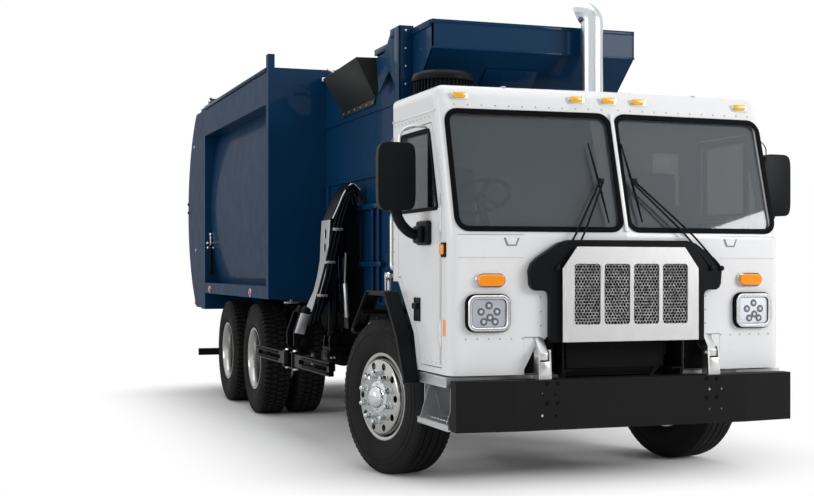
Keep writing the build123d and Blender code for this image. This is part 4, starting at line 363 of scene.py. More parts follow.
def piece(name, shape, finish, body, sharp=38.0, replaces=(), bevel=0.0, subdivide=0):
    """Turn a shape into an object that rides on a body."""
    mesh = bpy.data.meshes.new(name)
    shape.bm.to_mesh(mesh)
    shape.bm.free()
    mesh.materials.append(finish.material)
    mesh.polygons.foreach_set("use_smooth", [True] * len(mesh.polygons))
    mesh.set_sharp_from_angle(angle=math.radians(sharp))
    made = bpy.data.objects.new(name, mesh)
    bpy.context.scene.collection.objects.link(made)
    if bevel:
        rounding = made.modifiers.new("rounding", "BEVEL")
        rounding.width = bevel
        rounding.segments = 2
        rounding.limit_method = "ANGLE"
        rounding.angle_limit = math.radians(35)
    if subdivide:
        smoothing = made.modifiers.new("smoothing", "SUBSURF")
        smoothing.levels = subdivide
        smoothing.render_levels = subdivide
    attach(made, body)
    if replaces:
        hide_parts(*replaces)
    return made


def mirror_x():
    return Matrix.Diagonal((-1, 1, 1, 1))


def tube_shape(points, radius, bend=0.06, sides=14):
    """A round tube through points, its corners rounded, as a closed shape."""
    line = bpy.data.curves.new("tube_line", "CURVE")
    line.dimensions = "3D"
    line.bevel_depth = radius
    line.bevel_resolution = max(2, sides // 4)
    line.use_fill_caps = True
    run = line.splines.new("BEZIER")
    knots = corner_knots([Vector(point) for point in points], bend)
    run.bezier_points.add(len(knots) - 1)
    run.resolution_u = 6
    for knot, (where, before, after) in zip(run.bezier_points, knots):
        knot.co = where
        knot.handle_left = before
        knot.handle_right = after
    holder = bpy.data.objects.new("tube_holder", line)
    bpy.context.scene.collection.objects.link(holder)
    mesh = bpy.data.meshes.new_from_object(holder)
    shape = Shape()
    shape.bm.from_mesh(mesh)
    bpy.data.objects.remove(holder)
    bpy.data.curves.remove(line)
    bpy.data.meshes.remove(mesh)
    return shape


def corner_knots(points, bend):
    """Bezier knots for straight runs joined by rounded corners."""
    knots = []
    last = len(points) - 1
    for index, point in enumerate(points):
        if index in (0, last):
            way = (points[1] - point if index == 0 else point - points[last - 1]).normalized() * 0.001
            knots.append((point, point - way, point + way))
            continue
        back = points[index - 1] - point
        ahead = points[index + 1] - point
        reach = min(bend, back.length * 0.49, ahead.length * 0.49)
        enter = point + back.normalized() * reach
        leave = point + ahead.normalized() * reach
        knots.append((enter, enter + back.normalized() * 0.001, enter - back.normalized() * reach * 0.55))
        knots.append((leave, leave - ahead.normalized() * reach * 0.55, leave + ahead.normalized() * 0.001))
    return knots


def paint_node(node, finish):
    """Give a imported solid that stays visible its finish."""
    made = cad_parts[node]
    made.data.materials.clear()
    made.data.materials.append(finish.material)


# ---- Cutting ----

def shape_object(shape):
    """Park a shape in an object for a modifier to read."""
    mesh = bpy.data.meshes.new("holder")
    shape.bm.to_mesh(mesh)
    shape.bm.free()
    holder = bpy.data.objects.new("holder", mesh)
    bpy.context.scene.collection.objects.link(holder)
    return holder


def cut(shape, cutter):
    """The first shape with the second taken out of it."""
    whole, tool = shape_object(shape), shape_object(cutter)
    carve = whole.modifiers.new("carve", "BOOLEAN")
    carve.operation = "DIFFERENCE"
    carve.solver = "EXACT"
    carve.use_self = True
    carve.object = tool
    seen = whole.evaluated_get(bpy.context.evaluated_depsgraph_get())
    mesh = bpy.data.meshes.new_from_object(seen)
    result = Shape()
    result.bm.from_mesh(mesh)
    for holder in (whole, tool):
        old = holder.data
        bpy.data.objects.remove(holder)
        bpy.data.meshes.remove(old)
    bpy.data.meshes.remove(mesh)
    return result


# ---- Wheels ----

TYRE_RADIUS = 0.540
RIM_HALF_WIDTH = 0.125
WHEEL_STEPS = 120
NUT_COUNT = 10
NUT_CIRCLE = 0.1675
HOLE_CIRCLE = 0.220
STEER_REST = math.radians(13.5)
KINGPIN_X = 0.968
KINGPIN_STATION = 1.427
FRONT_OFFSET = 0.160
FRONT_FACE = 0.152
DUAL_OUTER = 1.120
DUAL_INNER = 0.777
DUAL_FACE = (DUAL_OUTER + DUAL_INNER) / 2
REAR_STATIONS = (5.610, 6.976)


def tyre_wall(half):
    """Sidewall points from the bead to the shoulder, with a scuff rib."""
    return [(half - 0.042, 0.2872), (half - 0.036, 0.3000), (half - 0.026, 0.3095), (half - 0.022, 0.3120),
            (half - 0.0165, 0.3280), (half - 0.0145, 0.3300), (half - 0.0085, 0.3480),
            (half - 0.0035, 0.3700),
            (half - 0.0005, 0.3950), (half, 0.4120), (half - 0.0004, 0.4260), (half - 0.0030, 0.4270),
            (half - 0.0040, 0.4460), (half - 0.0010, 0.4470), (half - 0.0024, 0.4640),
            (half - 0.0060, 0.4650)]


def ribbed_tyre(half, grooves, groove, depth):
    """A road tyre whose tread is cut by grooves that run round it."""
    top = [(half - 0.012, 0.4900), (half - 0.018, 0.5080), (half - 0.026, 0.5250), (half - 0.033, 0.5335)]
    crown = []
    for x in grooves:
        rise = TYRE_RADIUS - 0.004 * (x / half) ** 2
        crown += [(x + groove / 2, rise), (x + groove / 2 - 0.002, rise - depth),
                  (x - groove / 2 + 0.002, rise - depth), (x - groove / 2, rise)]
    outer = tyre_wall(half) + top
    profile = outer + crown + [(-x, r) for x, r in outer[::-1]]
    return Shape().lathe(profile, WHEEL_STEPS)


def front_tyre():
    half = 0.1525
    tyre = ribbed_tyre(half, (0.083, 0.029, -0.029, -0.083), 0.012, 0.013)
    for side in (-1, 1):
        notch = Shape().prism([(side * (half - 0.030), 0.500), (side * (half - 0.0155), 0.492),
                               (side * (half - 0.0145), 0.505), (side * (half - 0.0245), 0.528),
                               (side * (half - 0.032), 0.5338)], "y", -0.0085, 0.0085)
        tyre.ring_of(notch, 76)
        sipe = Shape().box((side * 0.0845 - 0.0035, -0.0065, 0.53), (side * 0.0845 + 0.0035, 0.0065, 0.5392))
        tyre.ring_of(sipe, 110)
    return tyre


def drive_tyre():
    """A tyre with blocks across its tread and lugs over its shoulders."""
    half = 0.140
    carcass = tyre_wall(half) + [(half - 0.012, 0.4900), (half - 0.022, 0.5080), (half - 0.034, 0.5190)]
    tyre = Shape().lathe(carcass + [(-x, r) for x, r in carcass[::-1]], WHEEL_STEPS)
    for side in (-1, 1):
        section = [(side * 0.070, 0.512), (side * 0.070, 0.5385), (side * 0.110, 0.5370),
                   (side * 0.1215, 0.5270),
                   (side * 0.1345, 0.4900), (side * 0.1240, 0.4880)]
        shoulder = Shape().prism(section, "y", -0.0185, 0.0185)
        tyre.ring_of(shoulder, 66, phase=0.25 * side)
        middle = Shape().prism([(side * 0.006, -0.0185), (side * 0.030, -0.0215), (side * 0.062, -0.0165),
                                (side * 0.062, 0.0165), (side * 0.030, 0.0215), (side * 0.006, 0.0185)], "z",
                               0.512, 0.540)
        tyre.ring_of(middle, 60, phase=0.5 * (side > 0))
    return tyre


def rim_barrel():
    """Rim section with rolled flanges, bead seats and a drop."""
    wide = RIM_HALF_WIDTH
    half = [(wide, 0.3040), (wide + 0.001, 0.2960), (wide - 0.003, 0.2830), (wide - 0.016, 0.2745),
            (wide - 0.050, 0.2660), (0.030, 0.2630)]
    outside = [(0.030, 0.2740), (wide - 0.050, 0.2800), (wide - 0.008, 0.2866), (wide - 0.009, 0.2985),
               (wide - 0.005, 0.3045)]
    profile = half + [(-x, r) for x, r in half[::-1]] + [(-x, r) for x, r in outside[::-1]] + outside
    return Shape().lathe(profile, WHEEL_STEPS)


def wheel_disc(rim_x, face_x):
    """A dished disc between the rim and the hub, with ten hand holes."""
    way = math.copysign(1, face_x - rim_x)
    thick = 0.013 * way
    dish = face_x - rim_x
    outer = [(rim_x, 0.2735), (rim_x + way * 0.004, 0.2700), (rim_x + dish * 0.50, 0.2650),
             (rim_x + dish * 0.88, 0.2590), (face_x - way * 0.003, 0.2540), (face_x, 0.2480),
             (face_x, 0.1120)]
    inner = [(x - thick, r - 0.0035) for x, r in outer[::-1]]
    disc = Shape().lathe(outer + inner, WHEEL_STEPS).clean()
    low, high = sorted((rim_x - way * 0.02, face_x + way * 0.02))
    hole = Shape().bar((low, 0, HOLE_CIRCLE), (high, 0, HOLE_CIRCLE), 0.0245, 20)
    holes = Shape().ring_of(hole, NUT_COUNT, phase=0.5)
    return cut(disc, holes)


def wheel_nuts(face_x, way, length):
    """Ten nut covers on flat seats."""
    nut = Shape().bar((face_x - way * 0.002, 0, NUT_CIRCLE), (face_x + way * 0.006, 0, NUT_CIRCLE), 0.0255,
                      20)
    nut.bar((face_x + way * 0.005, 0, NUT_CIRCLE), (face_x + way * length * 0.62, 0, NUT_CIRCLE), 0.0225, 6)
    nut.bar((face_x + way * length * 0.55, 0, NUT_CIRCLE), (face_x + way * length, 0, NUT_CIRCLE), 0.0195, 14,
            0.0130, 0.004)
    return Shape().ring_of(nut, NUT_COUNT)


def front_hub():
    """Chrome hub cap with a stepped dome and a ring of small screws."""
    profile = [(FRONT_FACE - 0.004, 0.113), (FRONT_FACE + 0.004, 0.112), (FRONT_FACE + 0.010, 0.106),
               (FRONT_FACE + 0.014, 0.078), (FRONT_FACE + 0.034, 0.073), (FRONT_FACE + 0.040, 0.068),
               (FRONT_FACE + 0.050, 0.060), (FRONT_FACE + 0.059, 0.050), (FRONT_FACE + 0.064, 0.036),
               (FRONT_FACE + 0.066, 0.0005), (FRONT_FACE - 0.004, 0.0005)]
    hub = Shape().lathe(profile, 72)
    screw = Shape().bar((FRONT_FACE + 0.010, 0, 0.0900), (FRONT_FACE + 0.022, 0, 0.0900), 0.007, 6)
    return hub.ring_of(screw, 6)


def rear_hub(face_x):
    """Axle shaft flange in the dish of the outer wheel."""
    profile = [(face_x - 0.004, 0.118), (face_x + 0.010, 0.116), (face_x + 0.050, 0.112),
               (face_x + 0.056, 0.104),
               (face_x + 0.060, 0.072), (face_x + 0.096, 0.066), (face_x + 0.106, 0.054),
               (face_x + 0.110, 0.0005),
               (face_x - 0.004, 0.0005)]
    hub = Shape().lathe(profile, 72)
    screw = Shape().bar((face_x + 0.054, 0, 0.090), (face_x + 0.070, 0, 0.090), 0.0075, 6)
    return hub.ring_of(screw, 8)


def front_place(side):
    """Where a shape built outward from the kingpin lies on its steered knuckle."""
    place = Matrix.Translation((side * KINGPIN_X, st(KINGPIN_STATION), TYRE_RADIUS))
    place = place @ Matrix.Rotation(STEER_REST, 4, "Z")
    if side < 0:
        place = place @ mirror_x()
    return place @ Matrix.Translation((FRONT_OFFSET, 0, 0))


def rear_place(side, station):
    place = Matrix.Translation((0, st(station), TYRE_RADIUS))
    return place @ mirror_x() if side < 0 else place


def brake_drum(low, high, radius):
    """A drum with cooling ribs."""
    profile = [(low, radius - 0.05), (low, radius - 0.012), (low + 0.02, radius - 0.012),
               (low + 0.022, radius)]
    profile += [(low + 0.045, radius), (low + 0.047, radius - 0.006), (high - 0.03, radius - 0.008),
                (high - 0.028, radius), (high, radius - 0.02), (high, radius - 0.05)]
    return Shape().lathe(profile, 64)


steer_tyre = front_tyre()
steer_rim = rim_barrel().add(wheel_disc(0.070, FRONT_FACE))
for side, name in SIDES:
    body = f"front_wheel_{name}"
    place = front_place(side)
    piece(f"tyre_front_{name}", steer_tyre.copy().move(place), tread_rubber, body,
          replaces=[f"front_tyre_{name}"])
    piece(f"rim_front_{name}", steer_rim.copy().move(place), wheel_alloy, body, 30, [f"front_rim_{name}"])
    piece(f"hub_front_{name}", front_hub().move(place), chrome, body, 30)
    piece(f"nuts_front_{name}", wheel_nuts(FRONT_FACE, 1, 0.058).move(place), chrome, body, 30)
    piece(f"drum_front_{name}", brake_drum(-0.095, 0.06, 0.205).move(place), cast_grey, body, 30)

outer_tyre = drive_tyre()
twin_tyres = outer_tyre.copy().move(Matrix.Translation((DUAL_INNER, 0, 0)))
twin_tyres.add(outer_tyre, Matrix.Translation((DUAL_OUTER, 0, 0)))
twin_rims = rim_barrel().move(Matrix.Translation((DUAL_OUTER, 0, 0)))
twin_rims.add(rim_barrel(), Matrix.Translation((DUAL_INNER, 0, 0)))
twin_rims.add(wheel_disc(DUAL_OUTER - 0.082, DUAL_FACE + 0.0135)).add(wheel_disc(DUAL_INNER + 0.082,
                                                                                 DUAL_FACE))
for side, name in SIDES:
    for number, station in enumerate(REAR_STATIONS, 1):
        body = f"rear_wheel_{name}_{number}"
        place = rear_place(side, station)
        piece(f"tyres_rear_{name}_{number}", twin_tyres.copy().move(place), tread_rubber, body,
              replaces=[f"rear_tyre_{name}_{number}"])
        piece(f"rims_rear_{name}_{number}", twin_rims.copy().move(place), wheel_alloy, body, 30,
              [f"rear_rim_{name}_{number}"])
        piece(f"hub_rear_{name}_{number}", rear_hub(DUAL_FACE + 0.014).move(place), chrome, body, 30)
        piece(f"nuts_rear_{name}_{number}", wheel_nuts(DUAL_FACE + 0.014, 1, 0.042).move(place), chrome, body,
              30)
        piece(f"drum_rear_{name}_{number}", brake_drum(0.69, DUAL_FACE - 0.02, 0.195).move(place), cast_grey,
              body, 30)


# ---- Cab ----

FRONT_STATION = 0.105
FRONT_SWEEP = 0.045
WAIST_Z = 1.640
RAKE = 0.289
CAB_HALF = 1.180


def face_y(x, z):
    """The cab's front face: swept back to both sides, raked above the waist."""
    return st(FRONT_STATION + FRONT_SWEEP * abs(x) + max(0.0, z - WAIST_Z) * RAKE)


def on_face(point):
    return Vector((0, face_y(point.x, point.z), 0))


def rounded_face(shape, x0, x1, z0, z1, corner):
    """A flat rectangle that looks toward -Y, its corners rounded."""
    verts = [shape.bm.verts.new(place) for place in ((x0, 0, z0), (x1, 0, z0), (x1, 0, z1), (x0, 0, z1))]
    shape.bm.faces.new(verts)
    bmesh.ops.bevel(shape.bm, geom=verts, offset=corner, segments=6, profile=0.5, affect="VERTICES",
                    material=-1)
    return shape.bm.faces[:]


def push_out(shape, faces, depth):
    """Give flat faces a thickness toward -Y."""
    pushed = bmesh.ops.extrude_face_region(shape.bm, geom=faces, use_keep_orig=True)
    far = [item for item in pushed["geom"] if isinstance(item, bmesh.types.BMVert)]
    bmesh.ops.translate(shape.bm, verts=far, vec=(0, -depth, 0))
    bmesh.ops.recalc_face_normals(shape.bm, faces=shape.bm.faces)
    return shape


def rounded_plate(x0, x1, z0, z1, corner, depth):
    shape = Shape()
    return push_out(shape, rounded_face(shape, x0, x1, z0, z1, corner), depth)


def rounded_ring(x0, x1, z0, z1, corner, width, depth):
    """A frame of even width around a rounded rectangle."""
    shape = Shape()
    middle = rounded_face(shape, x0, x1, z0, z1, corner)
    ring = bmesh.ops.inset_region(shape.bm, faces=middle, thickness=width, use_boundary=True,
                                  use_even_offset=True)["faces"]
    bmesh.ops.delete(shape.bm, geom=middle, context="FACES_ONLY")
    return push_out(shape, ring, depth)


RIVET_RISE = 0.45


def rivets(places, radius, body, name, finish, turn=None):
    """Small domed heads, each a few faces, at points on a surface that looks toward -Y."""
    heads = Shape()
    flat = (turn or Matrix.Identity(4)) @ Matrix.Diagonal((1, RIVET_RISE, 1, 1))
    for place in places:
        bmesh.ops.create_icosphere(heads.bm, subdivisions=1, radius=radius,
                                   matrix=Matrix.Translation(place) @ flat)
    return piece(name, heads, finish, body, 60)


# Rivet heads on the white cab are a darker grey copy of the white paint: painted shade round each small head.
rivet_shaded_grey = coated("rivet_shaded_grey", (0.42, 0.43, 0.44), 0.4, 0.02, 420.0, 0.00012)
for node in ("cab_shell", "cab_upper", "door_kerb", "door_street"):
    paint_node(node, white_paint)
for node in ("cab_glass", "door_glass_kerb", "door_glass_street"):
    paint_node(node, cab_tint)

PANE = (0.022, 1.112, 1.672, 2.436)
ring = rounded_ring(PANE[0] - 0.014, PANE[1] + 0.036, PANE[2] - 0.012, PANE[3] + 0.008, 0.090, 0.034, 0.011)
gaskets = Shape().sides(ring.drape(on_face))
piece("windshield_gaskets", gaskets, gasket_rubber, "cab", 50, bevel=0.003)
post = Shape().box((-0.0125, -0.016, PANE[2] - 0.005), (0.0125, 0.004, PANE[3] + 0.006), 0.004)
piece("windshield_divider", post.drape(on_face), white_paint, "cab")

# Rivet rows on the front: under the lamps, over the panes and beside the grille.
heads = []
for side, _ in SIDES:
    for index in range(8):
        x = side * (0.560 + index * 0.0745)
        heads.append((x, face_y(x, 0.99), 0.994))
    for z in (1.073, 1.161, 1.249):
        x = side * 0.590
        heads.append((x, face_y(x, z), z))
    for index in range(12):
        x = side * (0.06 + index * 0.092)
        heads.append((x, face_y(x, 2.468), 2.468))
rivets(heads, 0.0075, "cab", "front_rivets", rivet_shaded_grey)

heads = {KERB: [], STREET: []}
for side, name in SIDES:
    turn = Matrix.Rotation(math.radians(90 * side), 4, "Z")
    x = side * (CAB_HALF + 0.0005)
    spots = [(st(0.56 + index * 0.078), 2.405) for index in range(10)]
    spots += [(st(1.285), 1.46 + index * 0.086) for index in range(11)]
    spots += [(st(1.335), 1.46 + index * 0.086) for index in range(11)]
    rivets([(x, y, z) for y, z in spots], 0.0075, "cab", f"side_rivets_{name}", rivet_shaded_grey, turn)
    door_spots = [(st(0.352), 0.87 + index * 0.088) for index in range(9)]
    door_spots += [(st(0.42 + index * 0.08), 0.835) for index in range(3)]
    rivets([(x, y, z) for y, z in door_spots], 0.0062, f"door_{name}", f"door_rivets_{name}", rivet_shaded_grey,
           turn)

roof_beads = Shape()
for station in (0.62, 0.98, 1.30):
    roof_beads.box((-1.06, st(station) - 0.008, 2.602), (1.06, st(station) + 0.008, 2.6085), 0.003)
for side, _ in SIDES:
    roof_beads.box((side * 0.70 - 0.012, st(0.46), 2.602), (side * 0.70 + 0.012, st(1.33), 2.6075), 0.003)
    roof_beads.box((side * (CAB_HALF - 0.002), st(0.45), 2.428), (side * (CAB_HALF + 0.010), st(1.30), 2.442),
                   0.003)
piece("roof_beads", roof_beads, white_paint, "cab")

# Latch pockets drawn as grey trapezoids of painted shade, with a bright pull in each.
pocket_shades, pulls = Shape(), Shape()
for side, _ in SIDES:
    middle = side * 0.782
    lip = [(middle - 0.052, 1.622), (middle - 0.032, 1.572), (middle + 0.032, 1.572), (middle + 0.052, 1.622)]
    cup = [(middle - 0.040, 1.6225), (middle - 0.024, 1.580), (middle + 0.024, 1.580),
           (middle + 0.040, 1.6225)]
    pocket_shades.add(Shape().prism(lip, "y", -0.0030, 0.002).drape(on_face))
    pulls.add(Shape().prism(cup, "y", -0.0045, 0.002).drape(on_face))
piece("latch_pocket_shades", pocket_shades, seam_grey_and_pocket_shade, "cab")
piece("latch_pulls", pulls, white_paint, "cab", bevel=0.0012)

# Seam lines where the front panels meet.
seams = Shape()
for side, _ in SIDES:
    for x0, x1, z0, z1 in ((0.700, 1.130, 1.6395, 1.6420), (0.700, 1.130, 1.497, 1.4985)):
        seams.add(Shape().box((side * x0, -0.0008, z0), (side * x1, 0.004, z1)).drape(on_face))
piece("front_seams", seams, seam_grey_and_pocket_shade, "cab")

# ---- Doors ----

WINDOW_SIDE = [(0.378, 1.804), (0.548, 2.326), (1.128, 2.326), (1.128, 1.804)]


def side_ring(outline, grow, width, depth, side, x):
    """A frame around an outline of (station, z) points on the truck's side."""
    shape = Shape()
    verts = [shape.bm.verts.new((0, st(y), z)) for y, z in outline]
    shape.bm.faces.new(verts)
    bmesh.ops.bevel(shape.bm, geom=verts, offset=0.045, segments=5, profile=0.5, affect="VERTICES",
                    material=-1)
    face = shape.bm.faces[:][-1]
    if grow:
        middle = face.calc_center_median()
        for vert in shape.bm.verts:
            away = vert.co - middle
            vert.co += Vector((0, math.copysign(grow, away.y), math.copysign(grow, away.z)))
    ring = bmesh.ops.inset_region(shape.bm, faces=[face], thickness=width, use_boundary=True,
                                  use_even_offset=True)["faces"]
    bmesh.ops.delete(shape.bm, geom=[face], context="FACES_ONLY")
    pushed = bmesh.ops.extrude_face_region(shape.bm, geom=ring, use_keep_orig=True)
    far = [item for item in pushed["geom"] if isinstance(item, bmesh.types.BMVert)]
    bmesh.ops.translate(shape.bm, verts=far, vec=(depth * side, 0, 0))
    bmesh.ops.translate(shape.bm, verts=shape.bm.verts, vec=(x * side, 0, 0))
    bmesh.ops.recalc_face_normals(shape.bm, faces=shape.bm.faces)
    return shape


for side, name in SIDES:
    door = f"door_{name}"
    trim = side_ring(WINDOW_SIDE, 0.006, 0.024, 0.010, side, CAB_HALF - 0.001)
    trim.box((side * (CAB_HALF - 0.030), st(0.548), 1.81), (side * (CAB_HALF + 0.007), st(0.572), 2.30),
             0.002)
    piece(f"door_gasket_{name}", trim, gasket_rubber, door, 50, bevel=0.002)
    face = side * CAB_HALF
    handle = Shape().box((face - side * 0.002, st(0.725), 1.085), (face + side * 0.009, st(0.845), 1.240),
                         0.004)
    piece(f"handle_plate_{name}", handle, trim_black, door)
    grip = Shape().box((face + side * 0.005, st(0.742), 1.165), (face + side * 0.030, st(0.828), 1.205),
                       0.008, 3)
    grip.box((face + side * 0.004, st(0.765), 1.110), (face + side * 0.014, st(0.805), 1.145), 0.004)
    piece(f"handle_grip_{name}", grip, trim_black, door)
    edge = Shape().box((face - side * 0.001, st(0.330), 0.83), (face + side * 0.0045, st(0.345), 1.90),
                       0.0015)
    piece(f"door_edge_{name}", edge, zinc, door)
    strap = Shape()
    for z in (1.03, 1.74):
        strap.box((face - side * 0.001, st(0.322), z - 0.07), (face + side * 0.009, st(0.372), z + 0.07),
                  0.003)
        strap.bar((face + side * 0.004, st(0.321), z - 0.082), (face + side * 0.004, st(0.321), z + 0.082),
                  0.0062)
    piece(f"door_hinges_{name}", strap, white_paint, door)
    inner = side * (CAB_HALF - 0.037)
    card = Shape().box((inner, st(0.40), 1.40), (inner - side * 0.014, st(1.15), 1.76), 0.006)
    card.box((inner, st(0.40), 0.92), (inner - side * 0.012, st(0.76), 1.38), 0.006)
    card.box((inner - side * 0.010, st(0.62), 1.56), (inner - side * 0.055, st(1.02), 1.60), 0.010)
    piece(f"door_card_{name}", card, dash_plastic, door)
    # Side marker, reflector and grab tube on the cab beside the door.
    base = Shape().box((face - side * 0.001, st(0.235), 1.500), (face + side * 0.010, st(0.312), 1.592),
                       0.003)
    piece(f"marker_base_{name}", base, trim_black, "cab")
    lens = Shape().box((face + side * 0.008, st(0.245), 1.518), (face + side * 0.026, st(0.304), 1.580),
                       0.008, 3)
    piece(f"side_marker_{name}", lens, amber_painted_glow, "cab")
    disc = Shape().box((face - side * 0.001, st(0.250), 1.010), (face + side * 0.004, st(0.292), 1.110),
                       0.0015)
    piece(f"side_reflector_{name}", disc, amber_painted_glow, "cab")
    rail_x = side * (CAB_HALF - 0.030)
    grab = tube_shape([(rail_x, st(1.372), 1.43), (rail_x, st(1.435), 1.43), (rail_x, st(1.435), 1.81),
                       (rail_x, st(1.372), 1.81)], 0.015, 0.03)
    piece(f"grab_tube_{name}", grab, zinc, "cab")

# ---- Grille ----

SURROUND_FRONT = FRONT_STATION - 0.062
surround_half = [(0.420, 1.610), (0.487, 1.592), (0.630, 1.498), (0.668, 1.460), (0.684, 1.415),
                 (0.676, 1.330),
                 (0.664, 1.304), (0.640, 1.292), (0.578, 1.292), (0.556, 1.282), (0.548, 1.258),
                 (0.548, 0.966)]
collar = Shape().prism(surround_half + [(-x, z) for x, z in surround_half[::-1]], "y", -0.060, 0.0)
hole_half = [(0.352, 1.537), (0.452, 1.400), (0.452, 1.000)]
hole = Shape().prism(hole_half + [(-x, z) for x, z in hole_half[::-1]], "y", -0.2, 0.2)
collar = cut(collar, hole)
bmesh.ops.bisect_plane(collar.bm, geom=collar.bm.verts[:] + collar.bm.edges[:] + collar.bm.faces[:],
                       plane_co=(0, 0, 0), plane_no=(1, 0, 0))
piece("grille_collar", collar.drape(on_face), trim_black, "cab", 30, ["grille_surround"],
      bevel=0.009)

plate_half = [(0.382, 1.567), (0.482, 1.430), (0.482, 0.970)]
plate = Shape().prism(plate_half + [(-x, z) for x, z in plate_half[::-1]], "y", st(SURROUND_FRONT - 0.012),
                      st(SURROUND_FRONT + 0.002))
WINDOW_WIDTH, WINDOW_PITCH, WINDOW_LOW, WINDOW_HIGH = 0.179, 0.2075, 1.078, 1.459
windows = Shape()
for index in range(4):
    x = (index - 1.5) * WINDOW_PITCH
    slot = Shape().prism([(x - WINDOW_WIDTH / 2, WINDOW_LOW), (x + WINDOW_WIDTH / 2, WINDOW_LOW),
                          (x + WINDOW_WIDTH / 2, WINDOW_HIGH), (x - WINDOW_WIDTH / 2, WINDOW_HIGH)], "y",
                         -0.06, 0.06)
    upright = [edge for edge in slot.bm.edges if abs((edge.verts[0].co - edge.verts[1].co).y) > 0.05]
    slot.round_off(upright, 0.020, 4)
    windows.add(slot, Matrix.Translation((0, st(SURROUND_FRONT), 0)))
piece("grille_face", cut(plate, windows), grille_alloy, "cab", 30, ["grille_plate"],
      bevel=0.0025)


def perforated(x0, x1, z0, z1, pitch, web, y):
    """A sheet of six-sided holes in staggered rows, trimmed to a rectangle."""
    sheet = Shape()
    row_step = pitch * math.sqrt(3) / 2
    rows = int((z1 - z0) / row_step) + 3
    columns = int((x1 - x0) / pitch) + 3
    for row in range(rows):
        for column in range(columns):
            x = x0 + (column - 1 + 0.5 * (row % 2)) * pitch
            z = z0 + (row - 1) * row_step
            matrix = Matrix.Translation((x, y, z)) @ Matrix.Rotation(math.radians(90), 4, "X")
            bmesh.ops.create_circle(sheet.bm, cap_ends=True, segments=6, radius=pitch / math.sqrt(3),
                                    matrix=matrix @ Matrix.Rotation(math.radians(30), 4, "Z"))
    holes = sheet.bm.faces[:]
    bmesh.ops.inset_individual(sheet.bm, faces=holes, thickness=web / 2, use_even_offset=True)
    bmesh.ops.delete(sheet.bm, geom=holes, context="FACES_ONLY")
    for where, normal in (((x0, 0, 0), (-1, 0, 0)), ((x1, 0, 0), (1, 0, 0)), ((0, 0, z0), (0, 0, -1)),
                          ((0, 0, z1), (0, 0, 1))):
        bmesh.ops.bisect_plane(sheet.bm, geom=sheet.bm.verts[:] + sheet.bm.edges[:] + sheet.bm.faces[:],
                               plane_co=where, plane_no=normal, clear_outer=True)
    bmesh.ops.remove_doubles(sheet.bm, verts=sheet.bm.verts, dist=0.0002)
    bmesh.ops.recalc_face_normals(sheet.bm, faces=sheet.bm.faces)
    return sheet


mesh_screen = Shape()
for index in range(4):
    x = (index - 1.5) * WINDOW_PITCH
    mesh_screen.add(perforated(x - 0.094, x + 0.094, WINDOW_LOW - 0.008, WINDOW_HIGH + 0.008, 0.0215, 0.0056,
                               st(SURROUND_FRONT + 0.0005)))
screen_steel = coated("screen_steel", (0.60, 0.605, 0.61), 0.50, 0.05, 300.0, 0.0002)
screen = piece("grille_screen", mesh_screen, screen_steel, "cab")
wall = screen.modifiers.new("wall", "SOLIDIFY")
wall.thickness = 0.0022
wall.offset = 1.0
# A dark sheet behind the screen: painted shade for the shadowed space behind the grille.
back = Shape().box((-0.440, st(SURROUND_FRONT + 0.016), 0.985), (0.440, st(SURROUND_FRONT + 0.020), 1.53))
piece("grille_painted_shade", back, black_and_painted_shade, "cab")

# ---- Lamps ----

LAMP_X, LAMP_Z = 0.944, 1.154


def lamp_stack():
    """Head lamp as gasket, bezel, bright bowl, light cups and clear cover, about the origin."""
    parts = {"bezel": rounded_ring(-0.137, 0.137, -0.112, 0.112, 0.054, 0.025, 0.050)}
    parts["gasket"] = rounded_plate(-0.144, 0.144, -0.119, 0.119, 0.060, 0.028)
    rim = rounded_ring(-0.116, 0.116, -0.092, 0.092, 0.034, 0.008, 0.006)
    parts["gasket"].add(rim, Matrix.Translation((0, -0.030, 0)))
    bowl = rounded_plate(-0.112, 0.112, -0.088, 0.088, 0.030, 0.006)
    parts["bowl"] = bowl.move(Matrix.Translation((0, -0.027, 0)))
    cups, lights = Shape(), Shape()
    for x, z in ((0.0, 0.048), (-0.052, 0.010), (0.052, 0.010), (0.006, -0.026), (-0.034, -0.052),
                 (0.040, -0.052)):
        cups.bar((x, -0.030, z), (x, -0.0345, z), 0.026, 18, 0.024)
        lights.bar((x, -0.033, z), (x, -0.038, z), 0.012, 14, 0.009)
    parts["cups"] = cups
    parts["lights"] = lights
    cover = rounded_plate(-0.113, 0.113, -0.089, 0.089, 0.030, 0.003)
    parts["cover"] = cover.move(Matrix.Translation((0, -0.040, 0)))
    return parts


led_glow = Finish("led_glow", (0.85, 0.88, 0.93), 0.25)
lamp_bowl = coated("lamp_bowl", (0.80, 0.82, 0.88), 0.34, 0.05, 90.0, 0.0003, metallic=1.0)
lamp_cup = coated("lamp_cup", (0.11, 0.12, 0.14), 0.3, 0.05, 90.0, 0.0003)
bezel_bright = coated("bezel_bright", (0.84, 0.85, 0.86), 0.24, 0.03, 60.0, 0.0001, metallic=1.0)
lamp_finishes = {"bezel": bezel_bright, "gasket": gasket_rubber, "bowl": lamp_bowl, "cups": lamp_cup,
                 "lights": led_glow,
                 "cover": lens_clear}
groups = {key: Shape() for key in lamp_finishes}
for side, _ in SIDES:
    for key, shape in lamp_stack().items():
        groups[key].add(shape, Matrix.Translation((side * LAMP_X, 0, LAMP_Z)))
for key, shape in groups.items():
    piece(f"head_lamp_{key}", shape.drape(on_face), lamp_finishes[key], "cab", 30,
          ["lamps"] if key == "bezel" else (), bevel=0.008 if key == "bezel" else 0)

